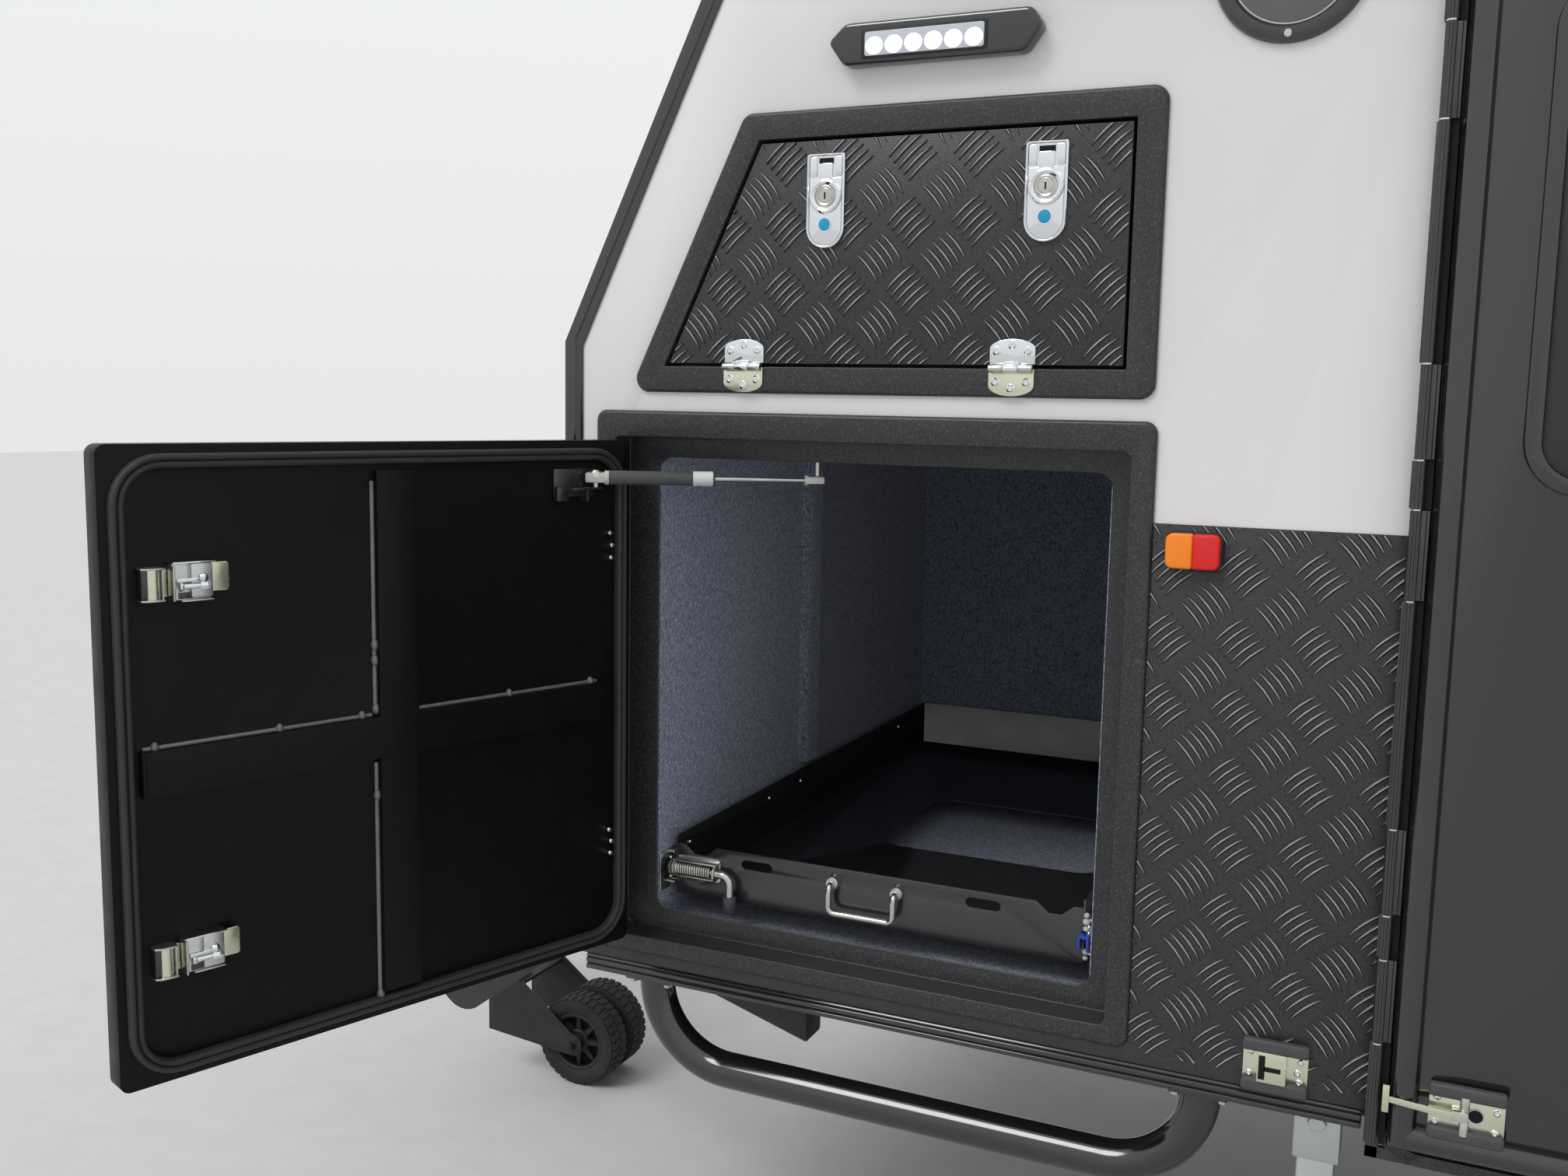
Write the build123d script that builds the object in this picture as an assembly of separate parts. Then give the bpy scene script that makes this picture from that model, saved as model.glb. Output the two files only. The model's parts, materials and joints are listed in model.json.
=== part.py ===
"""Off-road pop-top camper trailer: hard-walled body on an A-frame drawbar with a lifting roof.

Sizes are millimetres. While it is drawn, X runs to the rear from the front face of the body, Y runs to the
offside from the centre line and Z runs up from the ground. The finished solids are then set about the mouth
of the tow pin socket, which is the part's origin.
"""
from build123d import *
import math
import os

# Body shell
BODY_LENGTH = 3900.0
BODY_WIDTH = 2000.0
WALL = 30.0
SILL_UNDERSIDE = 719.0
SILL_HEIGHT = 21.0
FLOOR_THICKNESS = 36.0
FRONT_KNEE = 1578.0
FRONT_SLANT = 25.6
REAR_KNEE = 1800.0
REAR_SLANT = 12.0
WALL_TOP = 2150.0
ROOF_RIM = 114.0
TRIM_WIDTH = 24.0
TRIM_THICKNESS = 3.0
SILL_DEPTH = 60.0
SILL_PROUD = 5.0
TREAD_TOP = 1377.0
TREAD_THICKNESS = 2.0

# Lifting roof
ROOF_LIFT = 350.0
ROOF_REST_GAP = 6.0
LID_THICKNESS = 75.0
LID_INSET = 30.0
LID_CROWN = 18.0
LID_RIM = 85.0
LID_RECESS = 35.0
CANVAS_INSET = 75.0
CANVAS_THICKNESS = 5.0
CANVAS_CORNER = 70.0
SOFT_GAP = 0.3
LIFTER_TUBE = 26.0
LIFTER_ROD = 16.0
LIFTER_FIT = 0.1
LIFTER_LENGTH = 440.0
LIFTER_OVERLAP = 80.0
LIFTER_STATIONS = (860.0, BODY_LENGTH - 480.0)

# Chassis and drawbar
COUPLING_REACH = 1350.0
COUPLING_MOUTH = 600.0
COUPLING_NECK = 120.0
RAIL_INSET = 500.0
RAIL_SPREAD = BODY_WIDTH / 2 - RAIL_INSET
RAIL_WIDTH = 50.0
RAIL_HEIGHT = 150.0
DRAWBAR_HEIGHT = 100.0
DRAWBAR_TAIL = 270.0
DRAWBAR_NOSE_X = COUPLING_NECK - COUPLING_REACH
DRAWBAR_NOSE_Y = 52.0
DRAWBAR_SPREAD = BODY_WIDTH / 2 - 374.4
DRAWBAR_SLOPE = (DRAWBAR_SPREAD - DRAWBAR_NOSE_Y) / (COUPLING_REACH - COUPLING_NECK)
CROSS_WIDTH = 50.0
CROSS_HEIGHT = 75.0
CROSS_STATIONS = (0.0, 760.0, 1700.0, 2330.0, BODY_LENGTH - 770.0, BODY_LENGTH - 100.0)
PIN_RADIUS = 22.0
PIN_DEPTH = 60.0
COUPLING_RADIUS = 46.0

# Road wheels and suspension
AXLE_X = 2450.0
TYRE_RADIUS = 402.0
TYRE_WIDTH = 265.0
TYRE_CORNER = 42.0
WHEEL_INSET = 150.0
RIM_RADIUS = 216.0
RIM_WIDTH = 215.0
RIM_SPOKES = 6
HUB_RADIUS = 72.0
STUB_RADIUS = 30.0
STUB_FIT = 0.05
ARM_PIVOT_BACK = 450.0
ARM_PIVOT_Z = 500.0
ARM_SIZE = 84.0
AIRBAG_RADIUS = 62.0
ARM_TYRE_GAP = 25.0
ARCH_HALF_BOTTOM = 500.0
ARCH_HALF_TOP = 390.0
ARCH_TOP = 965.0
FLARE_BORDER = 48.0
FLARE_PROUD = 46.0

# Jockey wheel
JOCKEY_X = -590.0
JOCKEY_RADIUS = 98.0
JOCKEY_WHEEL_WIDTH = 66.0
JOCKEY_WHEEL_GAP = 16.0
JOCKEY_TRAIL = 190.0
JOCKEY_STEM = 60.0
JOCKEY_AXLE = 10.0

# Nearside storage hatch, measured on the wall from the body's front face and the ground
HATCH_X = 48.0
HATCH_TOP = 1490.0
HATCH_WIDTH = 730.0
HATCH_HEIGHT = 733.0
HATCH_CORNER = 14.0
HATCH_BORDER_SIDE = 28.0
HATCH_BORDER_TOP = 34.0
HATCH_BORDER_BOTTOM = 24.0
FRAME_PROUD = 7.0
FRAME_SHEET = 3.0
JAMB_DEPTH = 34.0
JAMB_HINGE_SIDE = 46.0
JAMB = 27.0
DOOR_GAP = 4.0
HATCH_SKIN = 28.0
HATCH_PROUD = 4.0
HATCH_PIN_OUT = 12.5
HATCH_PIN_RADIUS = 5.0
HATCH_OPEN = 110.0
HATCH_KNUCKLES = (940.0, 1270.0)
HATCH_KNUCKLE = 50.0
HINGE_GAP = 0.25
BRACE_WIDTH = 48.0
BRACE_HEIGHT = 11.0
BRACE_UPRIGHT = 347.0
BRACE_CROSS_DROP = 372.0
SEAL_WIDTH = 15.0
SEAL_HEIGHT = 9.6
SEAL_INSET = 21.0
SEAL_CORNER = 52.0

# Gas strut of the storage hatch
STRUT_DROP = 84.0
STRUT_DOOR_REACH = 68.0
STRUT_DOOR_DEPTH = 50.5
STRUT_FRAME_X = 345.0
STRUT_FRAME_DEPTH = 45.0
STRUT_CYLINDER = 9.0
STRUT_ROD = 3.5
STRUT_CYLINDER_LENGTH = 150.0
STRUT_EYE = 9.0
STRUT_ANCHOR_GAP = 0.5

# Storage compartment and its sliding tray
LINER = 12.0
LINER_DEPTH = BODY_WIDTH / 2 + 110.0
LINER_TOP = 1440.0
PILASTER_DEPTH = 500.0
PILASTER_WIDTH = 60.0
PILASTER_PROUD = 16.0
TRAY_FRONT = 64.0
GRIP_STANDOFF = 17.0
TRAY_LENGTH = LINER_DEPTH - 80.0
TRAY_UNDERSIDE = 824.0
TRAY_WALL_HEIGHT = 82.0
TRAY_PANEL_HEIGHT = 71.0
TRAY_SHEET = 2.5
TRAY_TRAVEL = 950.0
SLIDE_THICKNESS = 13.0
SLIDE_HEIGHT = 46.0
SLIDE_GAP = 0.5
NOTCH_DEPTH = 13.0

# Upper locker hatch
LOCKER_TOP = 1854.0
LOCKER_BOTTOM = 1514.0
LOCKER_REAR = 773.0
LOCKER_FRONT_BOTTOM = 97.0
LOCKER_BORDER = 33.0
LOCKER_DEPTH = 400.0
LOCKER_SKIN = 26.0
LOCKER_OPEN = 95.0
LOCKER_PIN_OUT = 4.8
LOCKER_KNUCKLE = 9.0
LOCKER_RELIEF = 14.0
LOCKER_RELIEF_HEIGHT = 110.0
LOCKER_EDGE_SHEET = 4.0
LOCKER_HINGES = (264.0, 609.0)
LOCKER_LATCHES = (371.0, 641.0)

# Entry door
ENTRY_X = 1042.0
ENTRY_WIDTH = 700.0
ENTRY_BOTTOM = 690.0
ENTRY_TOP = 2080.0
ENTRY_BORDER = 14.0
ENTRY_CORNER = 60.0
ENTRY_SKIN = 30.0
ENTRY_PROUD = 14.0
ENTRY_PIN_OUT = 22.0
ENTRY_OPEN = 172.0
ENTRY_WINDOW = (100.0, 600.0, 1425.0, 1930.0)

# Windows, each as wall side, front edge, rear edge, bottom, top
SIDE_WINDOWS = (
    ("near", 2010.0, 2890.0, 1430.0, 1880.0),
    ("off", 960.0, 1960.0, 1560.0, 1900.0),
    ("off", BODY_LENGTH - 1340.0, BODY_LENGTH - 460.0, 1430.0, 1880.0),
)
REAR_WINDOW = (570.0 - BODY_WIDTH / 2, BODY_WIDTH / 2 - 570.0, 1520.0, 1750.0)
WINDOW_CORNER = 55.0
WINDOW_BORDER = 26.0
PANE = 5.0

# Small fittings on the nearside wall
LAMP_X = HATCH_X + HATCH_WIDTH + 16.0
LAMP_REAR_X = BODY_LENGTH - 340.0
LAMP_Z = 1328.0
LAMP_WIDTH = 61.0
LAMP_HEIGHT = 41.0
LAMP_PROUD = 18.0
SPEAKER_X = 892.0
SPEAKER_Z = 1966.0
SPEAKER_RADIUS = 80.0
LIGHT_X = 377.0
LIGHT_Z = 1896.0
LIGHT_LENGTH = 258.0
LIGHT_HEIGHT = 48.0
LIGHT_DEPTH = 26.0
SPARE_Z = 1060.0
SPARE_STANDOFF = 105.0
SCRUB_RADIUS = 30.0
SCRUB_FRONT = 126.0
SCRUB_REAR = 860.0
SCRUB_LOW = 612.0
SCRUB_BEND = 100.0
SCRUB_INSET = 38.0
LEG_X = 989.0
LEG_REAR_X = BODY_LENGTH - 340.0
LEG_SIZE = 36.0
LEG_INSET = 80.0
REAR_BEAM_INSET = 150.0
TAIL_LAMP_INSET = 120.0
TAIL_LAMP_WIDTH = 90.0

# Bed and galley inside the cabin
BED_LENGTH = 1380.0
BED_TOP = 1220.0
BED_BOARD = 20.0
BED_PANEL_INSET = 360.0
MATTRESS_THICKNESS = 150.0
GALLEY_FRONT = 960.0
GALLEY_LENGTH = 920.0
GALLEY_DEPTH = 500.0
GALLEY_TOP = 1525.0
GALLEY_BOARD = 25.0
GALLEY_LIP = 10.0

HALF = BODY_WIDTH / 2
FLOOR_UNDERSIDE = SILL_UNDERSIDE + SILL_HEIGHT
FLOOR_TOP = FLOOR_UNDERSIDE + FLOOR_THICKNESS
INNER = HALF - WALL
FRONT_TAN = math.tan(math.radians(FRONT_SLANT))
REAR_TAN = math.tan(math.radians(REAR_SLANT))
ROOF_FRONT = (WALL_TOP - FRONT_KNEE) * FRONT_TAN
ROOF_REAR = BODY_LENGTH - (WALL_TOP - REAR_KNEE) * REAR_TAN
LID_UNDERSIDE = WALL_TOP + ROOF_REST_GAP + ROOF_LIFT
RAIL_BOTTOM = FLOOR_UNDERSIDE - RAIL_HEIGHT
LINER_FLOOR = FLOOR_TOP + LINER
WHEEL_Y = HALF - WHEEL_INSET
SPARE_X = BODY_LENGTH + SPARE_STANDOFF + TYRE_WIDTH / 2

RECESS = (
    HATCH_X + HATCH_BORDER_SIDE,
    HATCH_X + HATCH_WIDTH - HATCH_BORDER_SIDE,
    HATCH_TOP - HATCH_HEIGHT + HATCH_BORDER_BOTTOM,
    HATCH_TOP - HATCH_BORDER_TOP,
)
OPENING = (RECESS[0] + JAMB_HINGE_SIDE, RECESS[1] - JAMB, RECESS[2] + JAMB, RECESS[3] - JAMB)
HATCH_PIN = (RECESS[0] + 2.0, -HALF - HATCH_PIN_OUT)
ENTRY_PIN = (ENTRY_X + 6.0, -HALF - ENTRY_PIN_OUT)
LOCKER_PIN = (-HALF - FRAME_PROUD - LOCKER_PIN_OUT, LOCKER_BOTTOM + LOCKER_BORDER)
LINER_REAR = OPENING[1] - 2.0

SIDE = Plane(origin=(0, 0, 0), x_dir=(1, 0, 0), z_dir=(0, -1, 0))
FRONT = Plane(origin=(0, 0, 0), x_dir=(0, 1, 0), z_dir=(1, 0, 0))

nodes = {}


def keep(name, *solids):
    """Files solids under a sub-part's name."""
    nodes.setdefault(name, []).extend(solids)


def block(x0, x1, y0, y1, z0, z1):
    """A box between two corners."""
    return Pos((x0 + x1) / 2, (y0 + y1) / 2, (z0 + z1) / 2) * Box(x1 - x0, y1 - y0, z1 - z0)


def across(face, y0, y1):
    """A side-view face, drawn in X and Z, given its width from y0 to y1."""
    return Pos(0, y1, 0) * extrude(SIDE * face, y1 - y0)


def along(face, x0, x1):
    """A front-view face, drawn in Y and Z, given its length from x0 to x1."""
    return Pos(x0, 0, 0) * extrude(FRONT * face, x1 - x0)


def upright(face, z0, z1):
    """A plan-view face, drawn in X and Y, given its height from z0 to z1."""
    return Pos(0, 0, z0) * extrude(face, z1 - z0)


def outline(*points):
    """A flat face with straight sides through points."""
    return make_face(Polyline(*points, close=True))


def rounded(a0, a1, b0, b1, radius):
    """A rectangle between two corners with rounded corners."""
    return Pos((a0 + a1) / 2, (b0 + b1) / 2) * RectangleRounded(a1 - a0, b1 - b0, radius)


def grown(box, by):
    """The edges of a rectangle moved out by a distance."""
    return (box[0] - by, box[1] + by, box[2] - by, box[3] + by)


def pin(x, y, z, axis, radius, length):
    """A round bar centred on a point, along one axis."""
    turn = {"x": Rot(0, 90, 0), "y": Rot(90, 0, 0), "z": Rot(0, 0, 0)}[axis]
    return Pos(x, y, z) * turn * Cylinder(radius, length)


def bar(points, radii, radius):
    """A round bar or tube along straight runs joined by arcs."""
    path = FilletPolyline(*points, radius=radii)
    return sweep(Plane(path @ 0, z_dir=path % 0) * Circle(radius), path)


def offside(shape):
    """The same piece on the other side of the trailer."""
    return mirror(shape, Plane.XZ)


def about(shape, x, y, angle):
    """A piece turned about a vertical line."""
    return Pos(x, y, 0) * Rot(0, 0, angle) * Pos(-x, -y, 0) * shape


def body_outline(inset=0.0):
    """The body in side view, with every edge but the bottom moved in."""
    slide_front = inset * math.tan(math.radians(FRONT_SLANT / 2))
    slide_rear = inset * math.tan(math.radians(REAR_SLANT / 2))
    top = WALL_TOP - inset
    front_knee = FRONT_KNEE - slide_front
    rear_knee = REAR_KNEE - slide_rear
    front = inset
    rear = BODY_LENGTH - inset
    return outline(
        (front, FLOOR_UNDERSIDE),
        (front, front_knee),
        (front + (top - front_knee) * FRONT_TAN, top),
        (rear - (top - rear_knee) * REAR_TAN, top),
        (rear, rear_knee),
        (rear, FLOOR_UNDERSIDE),
    )


def locker_outline(inset):
    """The upper hatch in side view; its front edge is parallel to the slanted nose."""
    slope = FRONT_TAN
    drop = inset / math.cos(math.radians(FRONT_SLANT))
    low = LOCKER_BOTTOM + inset
    high = LOCKER_TOP - inset
    start = LOCKER_FRONT_BOTTOM - LOCKER_BOTTOM * slope + drop
    return outline(
        (start + low * slope, low),
        (start + high * slope, high),
        (LOCKER_REAR - inset, high),
        (LOCKER_REAR - inset, low),
    )


def arch_outline(grow=0.0):
    """The wheel arch in side view, open at the bottom."""
    return outline(
        (AXLE_X - ARCH_HALF_BOTTOM - grow, SILL_UNDERSIDE - 5),
        (AXLE_X - ARCH_HALF_BOTTOM - grow, FLOOR_UNDERSIDE + 30),
        (AXLE_X - ARCH_HALF_TOP - grow * 0.5, ARCH_TOP + grow),
        (AXLE_X + ARCH_HALF_TOP + grow * 0.5, ARCH_TOP + grow),
        (AXLE_X + ARCH_HALF_BOTTOM + grow, FLOOR_UNDERSIDE + 30),
        (AXLE_X + ARCH_HALF_BOTTOM + grow, SILL_UNDERSIDE - 5),
    )


def window_face(front, rear, low, high, grow=0.0):
    """A window's opening, with rounded corners."""
    return rounded(front - grow, rear + grow, low - grow, high + grow, WINDOW_CORNER + grow)


def entry_face(grow):
    """The entry door in side view; its lower corners are nearly square."""
    return rounded(ENTRY_X - grow, ENTRY_X + ENTRY_WIDTH + grow, ENTRY_BOTTOM - grow, ENTRY_TOP + grow,
                   ENTRY_CORNER + grow)


def hatch_cut(y0, y1):
    """What the storage hatch's frame takes out of the wall."""
    edges = grown(RECESS, FRAME_SHEET)
    return across(rounded(*edges, HATCH_CORNER), y0, y1)


def build_shell():
    """Side, front and rear walls, floor, roof rim, edge trims and sills."""
    side = across(body_outline(), -HALF, -INNER)
    side -= across(arch_outline(), -HALF - 1, -INNER + 1)
    near = side - hatch_cut(-HALF - 1, -INNER + 1)
    near -= across(locker_outline(LOCKER_BORDER - FRAME_SHEET), -HALF - 1, -INNER + 1)
    near -= across(entry_face(-ENTRY_BORDER), -HALF - 1, -INNER + 1)
    off = side - hatch_cut(-HALF - 1, -INNER + 1)
    for wall, front, rear, low, high in SIDE_WINDOWS:
        hole = across(window_face(front, rear, low, high), -HALF - 1, -INNER + 1)
        if wall == "near":
            near -= hole
        else:
            off -= hole
    keep("side_wall_near", near)
    keep("side_wall_off", offside(off))

    shell = across(body_outline(), -INNER, INNER) - across(body_outline(WALL), -INNER, INNER)
    shell -= block(WALL, BODY_LENGTH - WALL, -INNER, INNER, 0, FLOOR_TOP)
    middle = BODY_LENGTH / 2
    roof_low = WALL_TOP - WALL
    walls = shell - block(-10, BODY_LENGTH + 10, -HALF, HALF, roof_low, WALL_TOP + 10)
    keep("front_wall", walls & block(-10, middle, -HALF, HALF, 0, WALL_TOP))
    y0, y1, z0, z1 = REAR_WINDOW
    rear = walls & block(middle, BODY_LENGTH + 10, -HALF, HALF, 0, WALL_TOP)
    rear -= along(rounded(y0, y1, z0, z1, WINDOW_CORNER), BODY_LENGTH - 2 * WALL, BODY_LENGTH + 1)
    keep("rear_wall", rear)
    roof = shell & block(-10, BODY_LENGTH + 10, -HALF, HALF, roof_low, WALL_TOP + 10)
    hole = rounded(ROOF_FRONT + ROOF_RIM, ROOF_REAR - ROOF_RIM, -HALF + ROOF_RIM, HALF - ROOF_RIM, 40)
    keep("roof_rim", roof - upright(hole, roof_low - 1, WALL_TOP + 1))

    floor = block(WALL, BODY_LENGTH - WALL, -INNER, INNER, FLOOR_UNDERSIDE, FLOOR_TOP)
    tub = ARCH_HALF_BOTTOM + TREAD_THICKNESS
    for low, high in ((-INNER, -WHEEL_Y + TYRE_WIDTH / 2 + 45), (WHEEL_Y - TYRE_WIDTH / 2 - 45, INNER)):
        floor -= block(AXLE_X - tub, AXLE_X + tub, low, high, 0, FLOOR_TOP + 1)
    keep("floor", floor)
    inner_y = -WHEEL_Y + TYRE_WIDTH / 2 + 45
    tub_solid = across(arch_outline(TREAD_THICKNESS), -INNER, inner_y)
    tub_solid -= across(arch_outline(), -INNER - 1, inner_y - TREAD_THICKNESS)
    tub_solid -= block(0, BODY_LENGTH, -HALF, HALF, 0, FLOOR_UNDERSIDE)
    keep("wheel_tubs", tub_solid, offside(tub_solid))

    outer = offset(body_outline(), TRIM_THICKNESS)
    leg = across(outer - body_outline(TRIM_WIDTH), -HALF - TRIM_THICKNESS, -HALF)
    wrap = across(outer - body_outline(), -HALF, -HALF + TRIM_WIDTH)
    trim = (leg + wrap) - block(-50, BODY_LENGTH + 50, -HALF - 10, HALF, 0, FLOOR_UNDERSIDE)
    trim = trim.solids().sort_by(SortBy.VOLUME)[-1]
    keep("body_trims", trim, offside(trim))

    runs = (
        (WALL + 2.0, ENTRY_X - 5.0),
        (ENTRY_X + ENTRY_WIDTH + 5.0, AXLE_X - ARCH_HALF_BOTTOM - FLARE_BORDER),
        (AXLE_X + ARCH_HALF_BOTTOM + FLARE_BORDER, BODY_LENGTH - WALL),
    )
    face = outline(
        (-HALF - SILL_PROUD, SILL_UNDERSIDE), (-HALF - SILL_PROUD, SILL_UNDERSIDE + 5.5),
        (-HALF - 1.5, SILL_UNDERSIDE + 7.5), (-HALF - SILL_PROUD, SILL_UNDERSIDE + 9.5),
        (-HALF - SILL_PROUD, SILL_UNDERSIDE + 14.5), (-HALF - 1.5, SILL_UNDERSIDE + 16.5),
        (-HALF - SILL_PROUD, FLOOR_UNDERSIDE - 2.5), (-HALF - 2.5, FLOOR_UNDERSIDE),
        (-HALF + SILL_DEPTH, FLOOR_UNDERSIDE), (-HALF + SILL_DEPTH, SILL_UNDERSIDE),
    )
    for start, end in runs:
        sill = along(face, start, end)
        keep("body_trims", sill, offside(sill))


def build_cladding():
    """Tread plate over the lower half of the side walls, cut round frames, door and arch."""
    low = FLOOR_UNDERSIDE + 0.5
    side = across(
        outline((TRIM_WIDTH, low), (TRIM_WIDTH, TREAD_TOP), (BODY_LENGTH - TRIM_WIDTH, TREAD_TOP),
                (BODY_LENGTH - TRIM_WIDTH, low)),
        -HALF - TREAD_THICKNESS, -HALF)
    side -= across(arch_outline(FLARE_BORDER), -HALF - 5, HALF)
    frame_edges = (HATCH_X, HATCH_X + HATCH_WIDTH, HATCH_TOP - HATCH_HEIGHT, HATCH_TOP)
    side -= across(rounded(*frame_edges, HATCH_CORNER), -HALF - 5, HALF)
    near = side - block(ENTRY_X, ENTRY_X + ENTRY_WIDTH, -HALF - 5, HALF, 0, WALL_TOP)
    keep("tread_plates", *near.solids())
    keep("tread_plates", *offside(side).solids())


def build_roof():
    """The lifting lid, its fabric skirt and the four telescoping lifters."""
    x0, x1 = ROOF_FRONT + LID_INSET, ROOF_REAR - LID_INSET
    half = HALF - LID_INSET
    top = LID_UNDERSIDE + LID_THICKNESS
    section = make_face(
        Polyline((-half + 12, top - 14), (-half, top - 30), (-half, LID_UNDERSIDE), (half, LID_UNDERSIDE),
                 (half, top - 30), (half - 12, top - 14))
        + ThreePointArc((half - 12, top - 14), (0, top - 14 + LID_CROWN), (-half + 12, top - 14)))
    lid = along(section, x0, x1)
    ends = upright(rounded(x0, x1, -half, half, 60), LID_UNDERSIDE - 1, top + 20)
    lid = lid & ends
    lid -= block(x0 + LID_RIM, x1 - LID_RIM, -half + LID_RIM, half - LID_RIM, LID_UNDERSIDE - 1,
                 LID_UNDERSIDE + LID_RECESS)
    keep("pop_roof", lid)

    cx0, cx1 = ROOF_FRONT + CANVAS_INSET, ROOF_REAR - CANVAS_INSET
    cy = HALF - CANVAS_INSET
    ring = rounded(cx0, cx1, -cy, cy, CANVAS_CORNER)
    inside = rounded(cx0 + CANVAS_THICKNESS, cx1 - CANVAS_THICKNESS, -cy + CANVAS_THICKNESS,
                     cy - CANVAS_THICKNESS, CANVAS_CORNER - CANVAS_THICKNESS)
    keep("pop_canvas", upright(ring - inside, WALL_TOP + SOFT_GAP, LID_UNDERSIDE - SOFT_GAP))

    y = HALF - ROOF_RIM - LIFTER_TUBE / 2
    for x in LIFTER_STATIONS:
        for side in (-y, y):
            low = WALL_TOP - LIFTER_LENGTH
            tube = block(x - LIFTER_TUBE / 2, x + LIFTER_TUBE / 2, side - LIFTER_TUBE / 2,
                         side + LIFTER_TUBE / 2, low, WALL_TOP)
            tube -= pin(x, side, low + LIFTER_LENGTH / 2, "z", LIFTER_ROD / 2 + LIFTER_FIT, LIFTER_LENGTH + 2)
            keep("roof_lifter_tubes", tube)
            foot = WALL_TOP - LIFTER_OVERLAP
            head = LID_UNDERSIDE + LID_RECESS
            keep("roof_lifter_rods", pin(x, side, (foot + head) / 2, "z", LIFTER_ROD / 2, head - foot))


def drawbar_half_width():
    """Half the width of a drawbar member, measured across the trailer."""
    return RAIL_WIDTH / 2 * math.hypot(1, DRAWBAR_SLOPE)


def drawbar_inside(x):
    """Half the width between the drawbar's members at a station."""
    return DRAWBAR_NOSE_Y + (x - DRAWBAR_NOSE_X) * DRAWBAR_SLOPE - drawbar_half_width()


def build_chassis():
    """Main rails, cross members, A-frame drawbar, coupling head and nose guard."""
    for side in (-1, 1):
        y = side * RAIL_SPREAD
        keep("chassis_rails", block(CROSS_WIDTH, BODY_LENGTH - CROSS_WIDTH, y - RAIL_WIDTH / 2, y + RAIL_WIDTH / 2,
                                    RAIL_BOTTOM, FLOOR_UNDERSIDE))
    inside = RAIL_SPREAD - RAIL_WIDTH / 2
    outside = RAIL_SPREAD + RAIL_WIDTH / 2
    reach = HALF - SILL_DEPTH
    low = FLOOR_UNDERSIDE - CROSS_HEIGHT
    for x in CROSS_STATIONS[1:-1]:
        keep("cross_members", block(x, x + CROSS_WIDTH, -inside, inside, low, FLOOR_UNDERSIDE))
        if abs(x - AXLE_X) > ARCH_HALF_BOTTOM + CROSS_WIDTH:
            arm = block(x, x + CROSS_WIDTH, outside, reach, low, FLOOR_UNDERSIDE)
            keep("cross_members", arm, offside(arm))
    ends = (CROSS_STATIONS[0], BODY_LENGTH - CROSS_WIDTH)
    for x in ends:
        keep("cross_members", block(x, x + CROSS_WIDTH, -reach, reach, low, FLOOR_UNDERSIDE))

    nose_x, nose_y = DRAWBAR_NOSE_X, DRAWBAR_NOSE_Y
    tail_y = nose_y + (DRAWBAR_TAIL - nose_x) * DRAWBAR_SLOPE
    half_width = drawbar_half_width()
    top = low
    member = outline((nose_x, nose_y - half_width), (DRAWBAR_TAIL, tail_y - half_width),
                     (DRAWBAR_TAIL, tail_y + half_width), (nose_x, nose_y + half_width))
    drawbar = upright(member, top - DRAWBAR_HEIGHT, top)
    drawbar -= block(0, DRAWBAR_TAIL + 1, outside - RAIL_WIDTH - 1, outside, 0, FLOOR_UNDERSIDE)
    pieces = drawbar.solids().sort_by(Axis.X)
    keep("drawbar", *pieces, *[offside(piece) for piece in pieces])
    x = -COUPLING_REACH
    deck = upright(outline((nose_x - 40, -60), (nose_x + 230, -170), (nose_x + 230, 170), (nose_x - 40, 60)),
                   top, top + 10)
    head = pin(x, 0, COUPLING_MOUTH + 50, "z", COUPLING_RADIUS, 100)
    neck = block(x, nose_x, -38, 38, COUPLING_MOUTH + 8, COUPLING_MOUTH + 84)
    head = head + neck + deck
    head += pin(x, 0, COUPLING_MOUTH + 106, "z", 24, 12)
    head -= pin(x, 0, COUPLING_MOUTH + PIN_DEPTH / 2 - 1, "z", PIN_RADIUS, PIN_DEPTH + 2)
    keep("coupling_head", head)

    side_face = outline((-0.5, 1060), (-250, 905), (-268, 640), (-205, 588), (-0.5, FLOOR_UNDERSIDE + 2))
    side_face = fillet(side_face.vertices().sort_by(Axis.Y)[0:2], 40)
    plate = across(side_face, -HALF + 30, -HALF + 33)
    sheet = across(
        outline((-0.5, 1060), (-250, 905), (-262, 728), (-259, 728), (-247, 903), (-0.5, 1056)),
        -HALF + 33, HALF - 33)
    keep("nose_guard", plate, offside(plate), sheet)


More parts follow.
